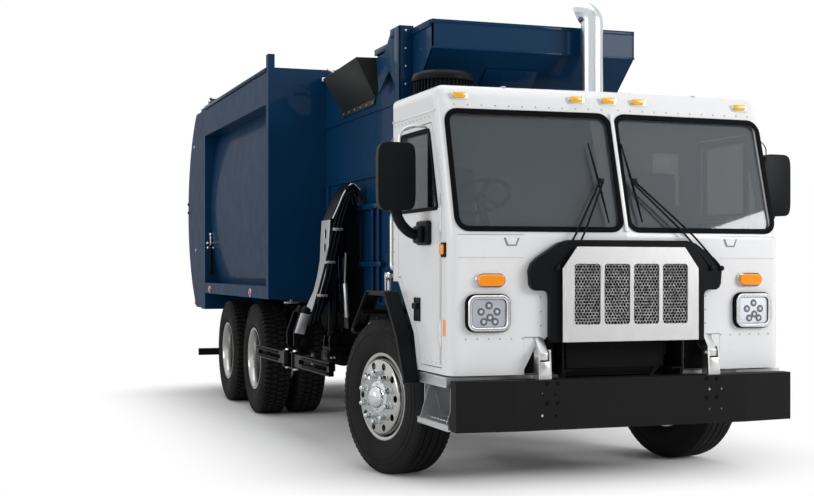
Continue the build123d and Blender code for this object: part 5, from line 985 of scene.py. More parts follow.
turn_base, turn_lens = Shape(), Shape()
for side, _ in SIDES:
    middle = side * 0.926
    turn_base.add(rounded_plate(middle - 0.098, middle + 0.098, 1.312, 1.404, 0.045, 0.018))
    turn_lens.add(rounded_plate(middle - 0.088, middle + 0.088, 1.321, 1.395, 0.036, 0.040))
piece("turn_bases", turn_base.drape(on_face), chrome, "cab", bevel=0.004)
piece("turn_lenses", turn_lens.drape(on_face), amber_painted_glow, "cab", bevel=0.010)

marker_bases, marker_lenses = Shape(), Shape()
for x in (-1.035, -0.236, -0.010, 0.212, 1.010):
    z = 2.527
    y = face_y(x, z)
    marker_bases.box((x - 0.060, y - 0.014, z - 0.026), (x + 0.060, y + 0.045, z + 0.018), 0.006)
    marker_lenses.box((x - 0.044, y - 0.028, z - 0.016), (x + 0.044, y + 0.030, z + 0.022), 0.011, 3)
piece("marker_bases", marker_bases, zinc, "cab")
piece("marker_lenses", marker_lenses, marker_amber, "cab")

# Hinge recesses under the grille's ends: a black lining of painted shade, white outer corner, bright lug
# sleeves.
RECESS_X, RECESS_Y, RECESS_Z = 0.700, 0.205, 1.003
shade_lining = Shape().box((0.471, st(RECESS_Y - 0.003), 0.770),
                     (RECESS_X - 0.001, st(RECESS_Y - 0.0005), RECESS_Z))
shade_lining.box((RECESS_X - 0.003, st(0.140), 0.770), (RECESS_X - 0.0005, st(RECESS_Y), RECESS_Z))
shade_lining.box((0.471, st(0.132), RECESS_Z - 0.003), (RECESS_X - 0.001, st(RECESS_Y), RECESS_Z - 0.0005))
corner = Shape().prism([(0.545, RECESS_Z), (0.600, 0.962), (0.618, 0.955), (0.699, 0.800), (0.699, RECESS_Z)],
                       "y", 0.0005, 0.012).drape(on_face)
lug = [(st(0.054), 0.862), (st(0.054), 0.903), (st(0.133), RECESS_Z - 0.003), (st(0.200), RECESS_Z - 0.003),
       (st(0.200), 0.935), (st(0.102), 0.862)]
sleeves = Shape()
for side, _ in SIDES:
    sleeves.prism(lug, "x", side * 0.600 - 0.0275, side * 0.600 + 0.0275, 0.002)
piece("recess_painted_shade", Shape().sides(shade_lining), black_and_painted_shade, "cab")
piece("recess_corners", Shape().sides(corner), white_paint, "cab")
piece("lug_sleeves", sleeves, step_alloy, "cab")

# ---- Wipers ----

WIPER_LIFT = 0.034


def wiper_point(x, z, lift=0.0):
    """A point that stands clear of the glass, or of the collar below the waist."""
    clear = WIPER_LIFT if z > WAIST_Z else 0.066
    return Vector((x, face_y(x, z) - clear - lift, z))


WIPER_TABLE = (
    # feet, knees, pivot, blade top, blade bottom as (x, z)
    (((-0.505, 1.432), (-0.440, 1.432)), ((-0.372, 1.645), (-0.316, 1.645)), (-0.150, 1.990), (-0.196, 2.236),
     (-0.122, 1.722)),
    (((0.600, 1.432), (0.672, 1.432)), ((0.416, 1.645), (0.470, 1.645)), (0.088, 1.994), (0.038, 2.240),
     (0.118, 1.726)),
)
arms, blades = Shape(), Shape()
for feet, knees, pivot, top, bottom in WIPER_TABLE:
    for number, (foot, knee) in enumerate(zip(feet, knees)):
        shift = 0.012 * (number * 2 - 1)
        path = [wiper_point(*foot), wiper_point(*knee, 0.012),
                wiper_point(pivot[0] + shift, pivot[1] - 0.01, 0.006)]
        arms.add(tube_shape(path, 0.0068, 0.05, 8))
        arms.bar(wiper_point(*foot, -0.02), wiper_point(*foot, 0.012), 0.017, 16, bevel=0.003)
    yoke = wiper_point(*pivot, 0.004)
    arms.box(yoke - Vector((0.022, 0.008, 0.018)), yoke + Vector((0.022, 0.008, 0.018)), 0.004)
    start, end = wiper_point(*top, -0.012), wiper_point(*bottom, -0.012)
    blades.bar(start, end, 0.0048, 6)
    blades.bar(wiper_point(*top, -0.020), wiper_point(*bottom, -0.020), 0.0030, 4)
    for low, high, lift in ((0.02, 0.98, 0.0), (0.10, 0.42, -0.005), (0.58, 0.90, -0.005)):
        first, last = start.lerp(end, low), start.lerp(end, high)
        arch = (first + last) / 2 - Vector((0, 0.016 + lift, 0))
        arms.add(tube_shape([first, arch, last], 0.0042, 0.12, 6))
piece("wiper_arms", arms, trim_black, "cab", replaces=["wipers"])
piece("wiper_blades", blades, gasket_rubber, "cab")

# ---- Mirrors ----

for side, name in SIDES:
    body = f"door_{name}"
    middle = Vector((1.398, st(0.580), 1.795 + 0.220))
    turn = Matrix.Translation(middle) @ Matrix.Rotation(math.radians(8), 4, "Z")
    curve = [(math.cos(TAU * step / 44), math.sin(TAU * step / 44)) for step in range(44)]
    outline = [(math.copysign(abs(c) ** 0.36, c) * 0.121, math.copysign(abs(h) ** 0.30, h) * 0.217)
               for c, h in curve]
    head = Shape().prism(outline, "y", -0.056, 0.050, 0.022, 4).move(turn)
    pane = Shape().box((-0.098, 0.048, -0.190), (0.098, 0.054, 0.190), 0.002).move(turn)
    block = Shape().box((CAB_HALF - 0.001, st(0.505), 1.580), (CAB_HALF + 0.034, st(0.735), 1.738), 0.018, 3)
    block.box((CAB_HALF + 0.028, st(0.560), 1.592), (CAB_HALF + 0.070, st(0.700), 1.706), 0.020, 3)
    arm = tube_shape([(CAB_HALF + 0.040, st(0.640), 1.640), (1.290, st(0.635), 1.660),
                      (1.372, st(0.610), 1.735),
                      (1.398, st(0.585), 1.830)], 0.034, 0.07)
    stay = tube_shape([(CAB_HALF - 0.001, st(0.612), 2.345), (1.300, st(0.612), 2.345),
                       (1.366, st(0.606), 2.300),
                       (1.366, st(0.600), 2.205)], 0.0085, 0.04)
    for shape, part, finish in ((head, "head", trim_black), (pane, "glass", mirror_glass),
                                (block, "mount", trim_black),
                                (arm, "arm", trim_black), (stay, "stay", zinc)):
        if side < 0:
            shape.move(mirror_x())
        piece(f"mirror_{part}_{name}", shape, finish, body, 30, [f"mirror_{name}"] if part == "head" else ())

# ---- Cab interior ----

wheel_tilt = Vector((0, 0.5, 0.866)).to_track_quat("Z", "Y").to_matrix().to_4x4()
wheel_place = Matrix.Translation((-0.800, st(0.640), 1.900)) @ wheel_tilt
rim = Shape().lathe([(0.013 * math.cos(TAU * k / 12),
                      0.200 + 0.013 * math.sin(TAU * k / 12)) for k in range(12)],
                    64, axis="z")
rim.bar((0, 0, -0.020), (0, 0, 0.016), 0.048, 28, 0.040, 0.006)
for turn in (0, 120, 240):
    spoke = Shape().box((0.03, -0.016, -0.004), (0.196, 0.016, 0.004), 0.003)
    rim.add(spoke, Matrix.Rotation(math.radians(turn + 90), 4, "Z"))
piece("steering_rim", rim.move(wheel_place), trim_black, "steering_wheel", 30, ["steering_wheel"])

paint_node("dashboard", dash_plastic)
hood = Shape().box((-1.06, st(0.235), 1.602), (-0.54, st(0.430), 1.665), 0.020, 3)
hood.box((-0.30, st(0.22), 1.602), (1.05, st(0.36), 1.618), 0.006)
piece("dash_hood", hood, dash_plastic, "cab")


def cushion(low, high, crown):
    """A padded block whose broad faces swell between its edges."""
    pad = Shape()
    low, high = Vector(low), Vector(high)
    size = Matrix.Diagonal((*(high - low), 1))
    bmesh.ops.create_cube(pad.bm, size=1, matrix=Matrix.Translation((low + high) / 2) @ size)
    bmesh.ops.subdivide_edges(pad.bm, edges=pad.bm.edges, cuts=6, use_grid_fill=True)
    middle, half = (low + high) / 2, (high - low) / 2
    thin = min(range(3), key=lambda k: half[k])
    for vert in pad.bm.verts:
        share = [(vert.co[k] - middle[k]) / half[k] for k in range(3)]
        fall = 1.0
        for k in range(3):
            if k != thin:
                fall *= 1 - abs(share[k]) ** 4
                vert.co[k] -= share[k] ** 3 * half[thin] * 0.35 * abs(share[thin])
        vert.co[thin] = middle[thin] + share[thin] * (half[thin] * 0.80 + crown * fall)
    return pad


for side, name in SIDES:
    x0, x1 = sorted((side * 0.565, side * 1.035))
    seat = cushion((x0, st(0.835), 1.425), (x1, st(1.20), 1.525), 0.012)
    back = cushion((x0 + 0.02, st(1.225), 1.500), (x1 - 0.02, st(1.325), 2.140), 0.012)
    made = piece(f"seat_cushion_{name}", seat, seat_cloth, "cab", 60, ["seats"] if side < 0 else (),
                 subdivide=1)
    made = piece(f"seat_back_{name}", back, seat_cloth, "cab", 60, (), subdivide=1)
    stand = Shape().box((x0 + 0.06, st(0.90), 1.372), (x1 - 0.06, st(1.28), 1.436), 0.008)
    piece(f"seat_stand_{name}", stand, frame_black, "cab")


# ---- Body ----

BODY_REAR = 8.220
FRAME_END = 8.470
HOPPER_KERB = -0.719
HOPPER_STREET = 0.860


def at(x, station, z):
    return Vector((x, st(station), z))


def slab(points, thickness, bevel=0.0):
    """A flat plate of any outline, given its thickness along the outline's normal."""
    shape = Shape()
    verts = [shape.bm.verts.new(Vector(point)) for point in points]
    face = shape.bm.faces.new(verts)
    face.normal_update()
    way = face.normal * thickness
    pushed = bmesh.ops.extrude_face_region(shape.bm, geom=[face], use_keep_orig=True)
    far = [item for item in pushed["geom"] if isinstance(item, bmesh.types.BMVert)]
    bmesh.ops.translate(shape.bm, verts=far, vec=way)
    bmesh.ops.recalc_face_normals(shape.bm, faces=shape.bm.faces)
    shape.round_off(shape.bm.edges[:], bevel)
    return shape


for node in ("body_shell", "hopper", "tailgate"):
    paint_node(node, blue_paint)

# Top rails, a dark strip of painted shadow under each, and the rounded ears of the tailgate's hinge.
caps, shadow_strips, ears, pins = Shape(), Shape(), Shape(), Shape()
for side, _ in SIDES:
    caps.box((side * 1.250, st(4.935), 3.284), (side * 1.284, st(BODY_REAR), 3.318), 0.004)
    # A dark strip of painted shadow under each rail.
    shadow_strips.box((side * 1.270, st(4.936), 3.272), (side * 1.2768, st(BODY_REAR - 0.001), 3.284))
    for lug in (1.085, 1.170):
        ears.bar((side * (lug - 0.010), st(8.432), 3.402), (side * (lug + 0.010), st(8.432), 3.402), 0.050,
                 28,
                 bevel=0.002)
    pins.bar((side * 1.058, st(8.432), 3.400), (side * 1.197, st(8.432), 3.400), 0.0255, 20, bevel=0.003)
for station in (5.30, 5.86, 6.42, 6.98, 7.54, 8.10):
    caps.box((-1.09, st(station) - 0.022, 3.306), (1.09, st(station) + 0.022, 3.324), 0.005)
piece("roof_rails", caps, blue_paint, "chassis", 30)
piece("rail_painted_shadows", shadow_strips, black_and_painted_shade, "chassis")
piece("gate_ears", ears, blue_paint, "chassis", 30)
piece("gate_pins", pins, zinc, "chassis", 30)

# Side lamps on the bottom rails.
grommets, lenses = Shape(), Shape()
for side, _ in SIDES:
    for station in (5.650, 7.900):
        grommets.bar((side * 1.274, st(station), 1.188), (side * 1.281, st(station), 1.188), 0.043, 24,
                     bevel=0.002)
        lenses.bar((side * 1.279, st(station), 1.188), (side * 1.290, st(station), 1.188), 0.034, 24, 0.028,
                   0.003)
piece("rail_lamp_grommets", grommets, chrome, "chassis", 30)
piece("rail_lamp_lenses", lenses, red_lens, "chassis", 30)

# Gate locks on the rear posts: a black screw under a bright fork.
screws, forks = Shape(), Shape()
for side, _ in SIDES:
    x, y = side * 1.212, st(8.192)
    screws.bar((x, y, 1.380), (x, y, 1.700), 0.0150, 14, bevel=0.003)
    screws.box((x - 0.022, y - 0.006, 1.36), (x + 0.022, st(BODY_REAR) + 0.001, 1.40), 0.004)
    forks.bar((x, y, 1.680), (x, y, 1.815), 0.0100, 12)
    for z, reach in ((1.722, 0.036), (1.668, 0.032)):
        forks.bar((x - reach, y, z), (x + reach, y, z), 0.0085, 10)
        for way in (-1, 1):
            forks.ball((x + way * reach, y, z), 0.0165, detail=2)
    forks.ball((x, y, 1.824), 0.021)
    forks.box((x - 0.012, y, 1.770), (x + 0.012, st(BODY_REAR) + 0.001, 1.794), 0.003)
piece("gate_lock_screws", screws, trim_black, "chassis", 30)
piece("gate_lock_forks", forks, zinc, "chassis", 30)

# Step rung and lamp bracket under the front corner.
under = Shape().box(at(-0.745, 4.845, 1.032), at(-0.628, 4.895, 1.056), 0.004)
for x in (-0.742, -0.634):
    under.box(at(x - 0.004, 4.850, 1.040), at(x + 0.004, 4.890, 1.142))
piece("corner_rung", under, blue_paint, "chassis")
bracket = Shape().box(at(-1.118, 4.842, 1.098), at(-0.978, 4.880, 1.114), 0.003)
bracket.box(at(-1.060, 4.850, 1.112), at(-1.040, 4.874, 1.142))
piece("corner_bracket", bracket, zinc, "chassis")

# ---- Tailgate ----

GATE_RADIUS = 1.404
GATE_CENTRE = (8.076, 2.125)


def gate_arc(low, high, lift, steps=28):
    """Points along the gate's bowed skin between two heights."""
    start = math.asin((low - GATE_CENTRE[1]) / GATE_RADIUS)
    end = math.asin((high - GATE_CENTRE[1]) / GATE_RADIUS)
    reach = GATE_RADIUS + lift
    angles = [start + (end - start) * step / steps for step in range(steps + 1)]
    return [(st(GATE_CENTRE[0] + reach * math.cos(a)), GATE_CENTRE[1] + reach * math.sin(a)) for a in angles]


def gate_strip(low, high, lift, x0, x1, steps=28):
    """A raised strip that follows the bow."""
    outline = gate_arc(low, high, lift, steps) + gate_arc(low, high, -0.004, steps)[::-1]
    return Shape().prism(outline, "x", x0, x1)


def gate_place(x, z, lift=0.0):
    """Where a shape that looks toward -Y lies on the gate's bowed skin."""
    turn = math.asin((z - GATE_CENTRE[1]) / GATE_RADIUS)
    reach = GATE_RADIUS + lift
    spot = (x, st(GATE_CENTRE[0] + reach * math.cos(turn)), GATE_CENTRE[1] + reach * math.sin(turn))
    return Matrix.Translation(spot) @ Matrix.Rotation(turn, 4, "X") @ Matrix.Rotation(math.pi, 4, "Z")


ribs = Shape()
for x in (-1.222, -0.405, 0.405, 1.222):
    ribs.add(gate_strip(0.985, 3.265, 0.034, x - 0.036, x + 0.036))
for z in (1.42, 2.95):
    ribs.add(gate_strip(z - 0.045, z + 0.045, 0.026, -1.19, 1.19, 4))
piece("gate_ribs", ribs, blue_paint, "tailgate", 30, bevel=0.004)

seal = Shape()
for side, _ in SIDES:
    seal.box(at(side * 1.205, FRAME_END - 0.001, 1.00), at(side * 1.228, FRAME_END + 0.008, 3.25), 0.002)
seal.box(at(-1.228, FRAME_END - 0.001, 3.228), at(1.228, FRAME_END + 0.008, 3.25), 0.002)
piece("gate_seal", seal, gasket_rubber, "chassis")

LOW_LAMP_Z, HIGH_LAMP_Z = 1.185, 3.13
housings, reds, clears = Shape(), Shape(), Shape()
for side, _ in SIDES:
    housings.add(rounded_plate(-0.240, 0.240, -0.075, 0.075, 0.030, 0.032),
                 gate_place(side * 0.86, LOW_LAMP_Z))
    for x, group in ((0.70, clears), (0.86, reds), (1.02, reds)):
        disc = Shape().bar((0, -0.030, 0), (0, -0.044, 0), 0.056, 28, 0.050, 0.003)
        group.add(disc, gate_place(side * x, LOW_LAMP_Z))
    housings.add(rounded_plate(-0.075, 0.075, -0.032, 0.032, 0.014, 0.014),
                 gate_place(side * 1.06, HIGH_LAMP_Z))
    reds.add(rounded_plate(-0.062, 0.062, -0.022, 0.022, 0.010, 0.026), gate_place(side * 1.06, HIGH_LAMP_Z))
for x in (-0.22, 0, 0.22):
    housings.add(rounded_plate(-0.060, 0.060, -0.030, 0.030, 0.014, 0.012), gate_place(x, HIGH_LAMP_Z))
    reds.add(rounded_plate(-0.048, 0.048, -0.020, 0.020, 0.010, 0.024), gate_place(x, HIGH_LAMP_Z))
piece("tail_lamp_housings", housings, trim_black, "tailgate", 30)
piece("tail_lamps_red", reds, red_lens, "tailgate", 30)
piece("tail_lamps_clear", clears, chrome, "tailgate", 30)
plate = rounded_plate(-0.165, 0.165, -0.085, 0.085, 0.016, 0.006).move(gate_place(-0.20, LOW_LAMP_Z, 0.012))
piece("blank_plate", plate, white_paint, "tailgate", 30)
frame_back = rounded_plate(-0.180, 0.180, -0.100, 0.100, 0.020, 0.014).move(gate_place(-0.20, LOW_LAMP_Z))
piece("plate_holder", frame_back, trim_black, "tailgate", 30)

# Small fastenings on the gate's sides, and the grab handles on its skin.
dark, bright, small = Shape(), Shape(), Shape()
for side, _ in SIDES:
    for z in (2.226, 2.124):
        dark.box(at(side * 1.246, 9.440, z - 0.018), at(side * 1.270, 9.506, z + 0.018), 0.005)
    for station, z in ((9.000, 2.905), (8.880, 1.643)):
        bright.bar(at(side * 1.260, station, z), at(side * 1.276, station, z), 0.019, 14, bevel=0.003)
    small.bar(at(side * 1.261, 8.930, 1.010), at(side * 1.272, 8.930, 1.010), 0.026, 18, bevel=0.003)
piece("gate_latches", dark, trim_black, "tailgate", 30)
piece("gate_bolts", bright, zinc, "tailgate", 30)
piece("gate_side_lamps", small, red_lens, "tailgate", 30)
grips = Shape()
for side, _ in SIDES:
    root = gate_place(side * 0.80, 1.62)
    bow = tube_shape([(0, 0.004, -0.13), (0, -0.075, -0.13), (0, -0.075, 0.13), (0, 0.004, 0.13)], 0.013,
                     0.03)
    grips.add(bow, root)
piece("gate_grips", grips, zinc, "tailgate", 30)

# ---- Hopper ----

wall_trim = Shape()
crease = [(HOPPER_KERB + 0.004, 2.236), (HOPPER_KERB - 0.026, 2.208), (HOPPER_KERB - 0.026, 2.194),
          (HOPPER_KERB + 0.004, 2.194)]
wall_trim.prism(crease, "y", st(2.41), st(4.838))
for z in (1.950, 1.466):
    wall_trim.box(at(HOPPER_KERB - 0.046, 2.960, z - 0.022), at(HOPPER_KERB + 0.002, 3.960, z + 0.020), 0.004)
for station in (3.765, 3.624, 3.250, 3.080):
    wall_trim.bar(at(HOPPER_KERB - 0.018, station, 1.148), at(HOPPER_KERB - 0.018, station, 1.935), 0.0155,
                  12)
for station in (2.430, 4.700):
    wall_trim.box(at(HOPPER_KERB - 0.030, station - 0.03, 1.145),
                  at(HOPPER_KERB + 0.002, station + 0.03, 2.196), 0.004)
for low, high in ((2.402, 3.170), (4.290, 4.838)):
    wall_trim.box(at(HOPPER_KERB - 0.030, low, 3.196), at(HOPPER_KERB + 0.002, high, 3.246), 0.004)
wall_trim.box(at(HOPPER_KERB - 0.014, 2.420, 2.74), at(HOPPER_KERB + 0.002, 4.820, 2.748))
wall_trim.box(at(HOPPER_STREET - 0.002, 2.402, 3.190), at(HOPPER_STREET + 0.036, 4.838, 3.246), 0.004)
for station in (2.46, 3.06, 3.66, 4.26, 4.78):
    wall_trim.box(at(HOPPER_STREET - 0.002, station - 0.032, 1.145),
                  at(HOPPER_STREET + 0.052, station + 0.032, 3.192),
                  0.005)
for z in (1.60, 2.30):
    wall_trim.box(at(HOPPER_STREET - 0.002, 2.44, z - 0.03), at(HOPPER_STREET + 0.044, 4.80, z + 0.03), 0.004)
piece("hopper_trim", wall_trim, blue_paint, "chassis", 30)

# ---- Apron over the cab ----

APRON_KERB = -0.780
LIP, FOOT = 1.635, 2.400
LIP_LOW, APRON_TOP, FOOT_Z = 3.035, 3.240, 2.420
apron = Shape()
apron.add(slab([at(APRON_KERB, LIP, LIP_LOW), at(HOPPER_STREET, LIP, LIP_LOW),
                at(HOPPER_STREET, LIP, APRON_TOP),
                at(APRON_KERB, LIP, APRON_TOP)], -0.012))
apron.add(slab([at(APRON_KERB, LIP, LIP_LOW), at(HOPPER_STREET, LIP, LIP_LOW),
                at(HOPPER_STREET, FOOT, FOOT_Z),
                at(APRON_KERB, FOOT, FOOT_Z)], 0.012))
cheek = [(st(LIP), LIP_LOW), (st(LIP), APRON_TOP), (st(FOOT + 0.10), APRON_TOP),
         (st(FOOT + 0.10), FOOT_Z + 0.02),
         (st(FOOT), FOOT_Z)]
for x0, x1 in ((APRON_KERB, APRON_KERB + 0.012), (HOPPER_STREET - 0.012, HOPPER_STREET)):
    apron.prism(cheek, "x", x0, x1)
# Turned edges: along the top of the lip, down the kerb corner and under the fold.
apron.box(at(APRON_KERB - 0.002, LIP - 0.003, APRON_TOP - 0.028),
          at(HOPPER_STREET + 0.002, LIP + 0.050, APRON_TOP + 0.004),
          0.004)
for x in (APRON_KERB, HOPPER_STREET):
    apron.box(at(x - 0.012, LIP + 0.02, APRON_TOP - 0.046), at(x + 0.012, FOOT + 0.10, APRON_TOP + 0.002),
              0.004)
piece("apron_hood", apron, blue_paint, "chassis", 30, ["hopper_guards"])
fold_line = slab([at(APRON_KERB - 0.004, LIP - 0.004, LIP_LOW - 0.006),
                  at(HOPPER_STREET + 0.004, LIP - 0.004, LIP_LOW - 0.006),
                  at(HOPPER_STREET + 0.004, LIP - 0.004, LIP_LOW + 0.010),
                  at(APRON_KERB - 0.004, LIP - 0.004, LIP_LOW + 0.010)], -0.010, 0.002)
piece("apron_fold", fold_line, blue_paint, "chassis", 30)
patch = slab([at(-0.303, 1.770, 2.921), at(0.115, 1.770, 2.921), at(0.115, 1.950, 2.776),
              at(-0.303, 1.950, 2.776)],
             -0.008, 0.002)
piece("apron_patch", patch, blue_paint, "chassis", 30)
spots = [(x, st(1.790), 2.898) for x in (-0.27, -0.17, -0.07, 0.03, 0.09)]
spots += [(x, st(1.930), 2.785) for x in (-0.27, -0.17, -0.07, 0.03, 0.09)]
rivets(spots, 0.009, "chassis", "apron_patch_bolts", blue_paint)

# The bolted flange and the slanted side board behind the apron's kerb corner.
side_board = slab([at(-0.830, 2.280, 3.262), at(-0.830, 2.440, 3.270), at(-0.800, 2.720, 3.120),
                   at(-0.800, 2.420, 2.860), at(-0.800, 2.300, 2.860)], 0.010)
flange = Shape().box(at(-0.890, 2.066, 2.480), at(APRON_KERB + 0.004, 2.080, 3.262), 0.003)
flange.box(at(-0.890, 2.066, 2.480), at(-0.878, 2.190, 3.262), 0.003)
flange.box(at(-0.890, 2.180, 3.200), at(APRON_KERB + 0.004, 2.300, 3.262), 0.003)
piece("apron_flange", flange, blue_paint, "chassis", 30)
gusset = slab([at(-0.790, 2.980, 3.150), at(-0.800, 2.300, 3.160), at(-0.770, 2.980, 2.860)], 0.010)
piece("apron_gusset", gusset.add(side_board), blue_paint, "chassis", 30)
spots = [(-0.838, st(2.064), z) for z in (3.225, 3.090, 2.955, 2.820, 2.685, 2.550)]
rivets(spots, 0.010, "chassis", "flange_bolts", zinc)
spots = [(APRON_KERB - 0.012, st(1.70 + index * 0.13), APRON_TOP - 0.022) for index in range(6)]
rivets(spots, 0.009, "chassis", "apron_bolts", blue_paint, Matrix.Rotation(math.radians(-90), 4, "Z"))

# ---- Chute guard ----

chute_grey = coated("chute_grey", (0.020, 0.022, 0.020), 0.40, 0.2, 260.0, 0.0004, Specular_IOR_Level=0.15)
A, E, B = at(-0.940, 3.060, 3.160), at(-0.722, 3.030, 3.160), at(-0.722, 3.215, 2.850)
C, D = at(-0.722, 4.230, 2.836), at(-0.955, 4.060, 3.110)
guard = slab([A, B, C, D], 0.010, 0.002)
guard.add(slab([A, E, B], 0.010, 0.002))
guard.add(slab([B, C, at(-0.722, 4.230, 2.790), at(-0.722, 3.240, 2.800)], 0.012, 0.002))
piece("chute_guard", guard, chute_grey, "chassis", 30)
spots = [(-0.732, st(3.28 + index * 0.18), 2.820) for index in range(6)]
rivets(spots, 0.010, "chassis", "chute_bolts", zinc, Matrix.Rotation(math.radians(-90), 4, "Z"))
light_bars = Shape().bar(at(-0.853, 4.300, 3.239), at(-0.700, 4.300, 3.165), 0.010, 10)
light_bars.box(at(-0.900, 4.290, 3.125), at(-0.760, 4.320, 3.160), 0.004)
light_bars.box(at(-0.765, 4.290, 3.100), at(-0.715, 4.320, 3.140), 0.004)
piece("chute_bars", light_bars, zinc, "chassis", 30)
# ---- Arm ----

ARM_STATION = 3.620
ARM_FRONT = ARM_STATION - 0.130
PIVOT = (-0.800, 0.860)
ELBOW = (-0.850, 2.080)
WRIST = (-1.262, 0.800)

for node in ("arm_base", "arm_boom", "arm_forearm", "gripper", "finger_front", "finger_rear",
             "cylinder_barrel"):
    paint_node(node, arm_black)
paint_node("cylinder_rod", chrome)


def ribbon(points, width):
    """The outline of a strip of even width along (x, z) points."""
    left, right = [], []
    for index, (x, z) in enumerate(points):
        ahead = points[min(index + 1, len(points) - 1)]
        back = points[max(index - 1, 0)]
        way = Vector((ahead[0] - back[0], ahead[1] - back[1])).normalized() * width / 2
        left.append((x - way.y, z + way.x))
        right.append((x + way.y, z - way.x))
    return left + right[::-1]


def plate_with(outline, low, high, holes):
    """A side plate with round holes, given as (x, z, radius)."""
    drills = Shape()
    for x, z, radius in holes:
        drills.bar((x, st(low) - 0.02, z), (x, st(high) + 0.02, z), radius, 20)
    return cut(Shape().prism(outline, "y", st(low), st(high)), drills)


# Forearm: two bowed side plates with a flange along the outer edge.
outer_edge = [(-0.862, 2.150), (-0.905, 2.112), (-0.952, 2.042), (-0.994, 1.940), (-1.040, 1.840),
              (-1.050, 1.675),
              (-1.056, 1.500), (-1.082, 1.350), (-1.114, 1.230), (-1.192, 1.062)]
inner_edge = [(-1.125, 1.020), (-1.045, 1.170), (-0.995, 1.330), (-0.970, 1.520), (-0.935, 1.730),
              (-0.870, 1.930),
              (-0.800, 2.020), (-0.784, 2.100), (-0.815, 2.148)]
plates = Shape()
for low in (ARM_STATION - 0.130, ARM_STATION + 0.108):
    plates.add(plate_with(outer_edge + inner_edge, low, low + 0.022,
                          [(-0.985, 1.850, 0.026), (-1.004, 1.660, 0.022), (-1.020, 1.450, 0.020)]))
piece("forearm_plates", plates, arm_black, "arm_forearm", 30, ["arm_forearm"], bevel=0.003)
# Its outer web below the elbow is drawn as a bright strip, a painted highlight on the black web, with two
# slots; round the elbow it is black.
highlight_edge = outer_edge[4:]
flange = Shape().prism(ribbon([(x - 0.002, z) for x, z in highlight_edge], 0.012), "y", st(ARM_FRONT - 0.001),
                       st(ARM_STATION + 0.131))
slots = Shape()
for low, high in ((1.708, 1.734), (1.592, 1.616)):
    for z in (low, high):
        slots.bar(at(-1.12, ARM_STATION - 0.020, z), at(-0.98, ARM_STATION - 0.020, z), 0.032, 20)
    slots.box(at(-1.12, ARM_STATION - 0.052, low), at(-0.98, ARM_STATION + 0.012, high))
flange = cut(flange, slots)
piece("forearm_painted_highlight", flange, step_alloy, "arm_forearm", 30, bevel=0.002)
web = Shape().prism(ribbon([(x + 0.008, z) for x, z in outer_edge[:5]], 0.012), "y", st(ARM_STATION - 0.110),
                    st(ARM_STATION + 0.110))
piece("forearm_web", web, arm_black, "arm_forearm", 30)
elbow = Shape().bar(at(ELBOW[0], ARM_STATION - 0.148, ELBOW[1]), at(ELBOW[0], ARM_STATION + 0.148, ELBOW[1]),
                    0.030,
                    24, bevel=0.003)
elbow.bar(at(ELBOW[0], ARM_STATION - 0.142, ELBOW[1]), at(ELBOW[0], ARM_STATION - 0.130, ELBOW[1]), 0.062, 28,
          bevel=0.003)
piece("elbow_pin", elbow, arm_black, "arm_forearm", 30)
# Thin bright lines along the outer edge round the elbow: painted highlights.
highlight_lines = Shape()
for low, points in ((ARM_STATION - 0.134, [(-0.800, 2.090)] + outer_edge[:5]),
                    (ARM_STATION - 0.060, outer_edge[2:5])):
    path = [at(x + 0.020, low, z + 0.012) for x, z in points]
    highlight_lines.add(tube_shape(path, 0.0065, 0.03, 8))
piece("forearm_edge_highlights", highlight_lines, step_alloy, "arm_forearm", 30)

# Rigid fluid pipes along the forearm's inner side.
pipes = Shape()
for number, (shift, station) in enumerate(((0.0, -0.146), (-0.040, -0.150), (-0.076, -0.144))):
    path = [(-0.770, 2.010), (-0.792, 2.085), (-0.850, 2.095), (-0.905, 1.960), (-0.952, 1.790),
            (-1.000, 1.560),
            (-1.056, 1.340), (-1.118, 1.130), (-1.160, 0.985)]
    line = [at(x + shift * 0.9, ARM_STATION + station, z - abs(shift) * 0.5) for x, z in path]
    pipes.add(tube_shape(line, 0.0115, 0.07, 8))
piece("forearm_pipes", pipes, trim_black, "arm_forearm", 30)
clamps = Shape()
for x, z in ((-0.962, 1.760), (-1.030, 1.480), (-1.098, 1.200)):
    clamps.box(at(x - 0.062, ARM_STATION - 0.164, z - 0.012), at(x + 0.026, ARM_STATION - 0.128, z + 0.012),
               0.003)
piece("pipe_clamps", clamps, step_alloy, "arm_forearm", 30)

# Collar, box and rod between the forearm's end and the wrist.
collar = Shape().bar(at(-1.228, ARM_STATION - 0.10, 1.098), at(-1.262, ARM_STATION - 0.10, 1.046), 0.034, 24,
                     bevel=0.004)
collar.bar(at(-1.228, ARM_STATION + 0.10, 1.098), at(-1.262, ARM_STATION + 0.10, 1.046), 0.034, 24,
           bevel=0.004)
piece("forearm_collars", collar, arm_black, "arm_forearm", 30)
box = Shape().prism([(-1.296, 1.056), (-1.214, 1.040), (-1.270, 0.872), (-1.352, 0.888)], "y",
                    st(ARM_FRONT - 0.012),
                    st(ARM_FRONT + 0.006), 0.003)
piece("wrist_face", box, step_alloy, "arm_forearm", 30)
cheeks = Shape()
for low in (ARM_STATION - 0.130, ARM_STATION + 0.108):
    cheeks.prism([(-1.300, 1.062), (-1.160, 1.034), (-1.190, 0.760), (-1.300, 0.726), (-1.356, 0.780),
                  (-1.358, 0.890)],
                 "y", st(low), st(low + 0.022))
piece("wrist_cheeks", cheeks, arm_black, "arm_forearm", 30, bevel=0.003)
pin = Shape().bar(at(WRIST[0], ARM_STATION - 0.146, WRIST[1]), at(WRIST[0], ARM_STATION + 0.146, WRIST[1]),
                  0.0295, 24,
                  bevel=0.003)
pin.bar(at(WRIST[0], ARM_STATION - 0.150, WRIST[1]), at(WRIST[0], ARM_STATION - 0.130, WRIST[1]), 0.040, 24,
        bevel=0.003)
piece("wrist_pin", pin, arm_black, "arm_forearm", 30)

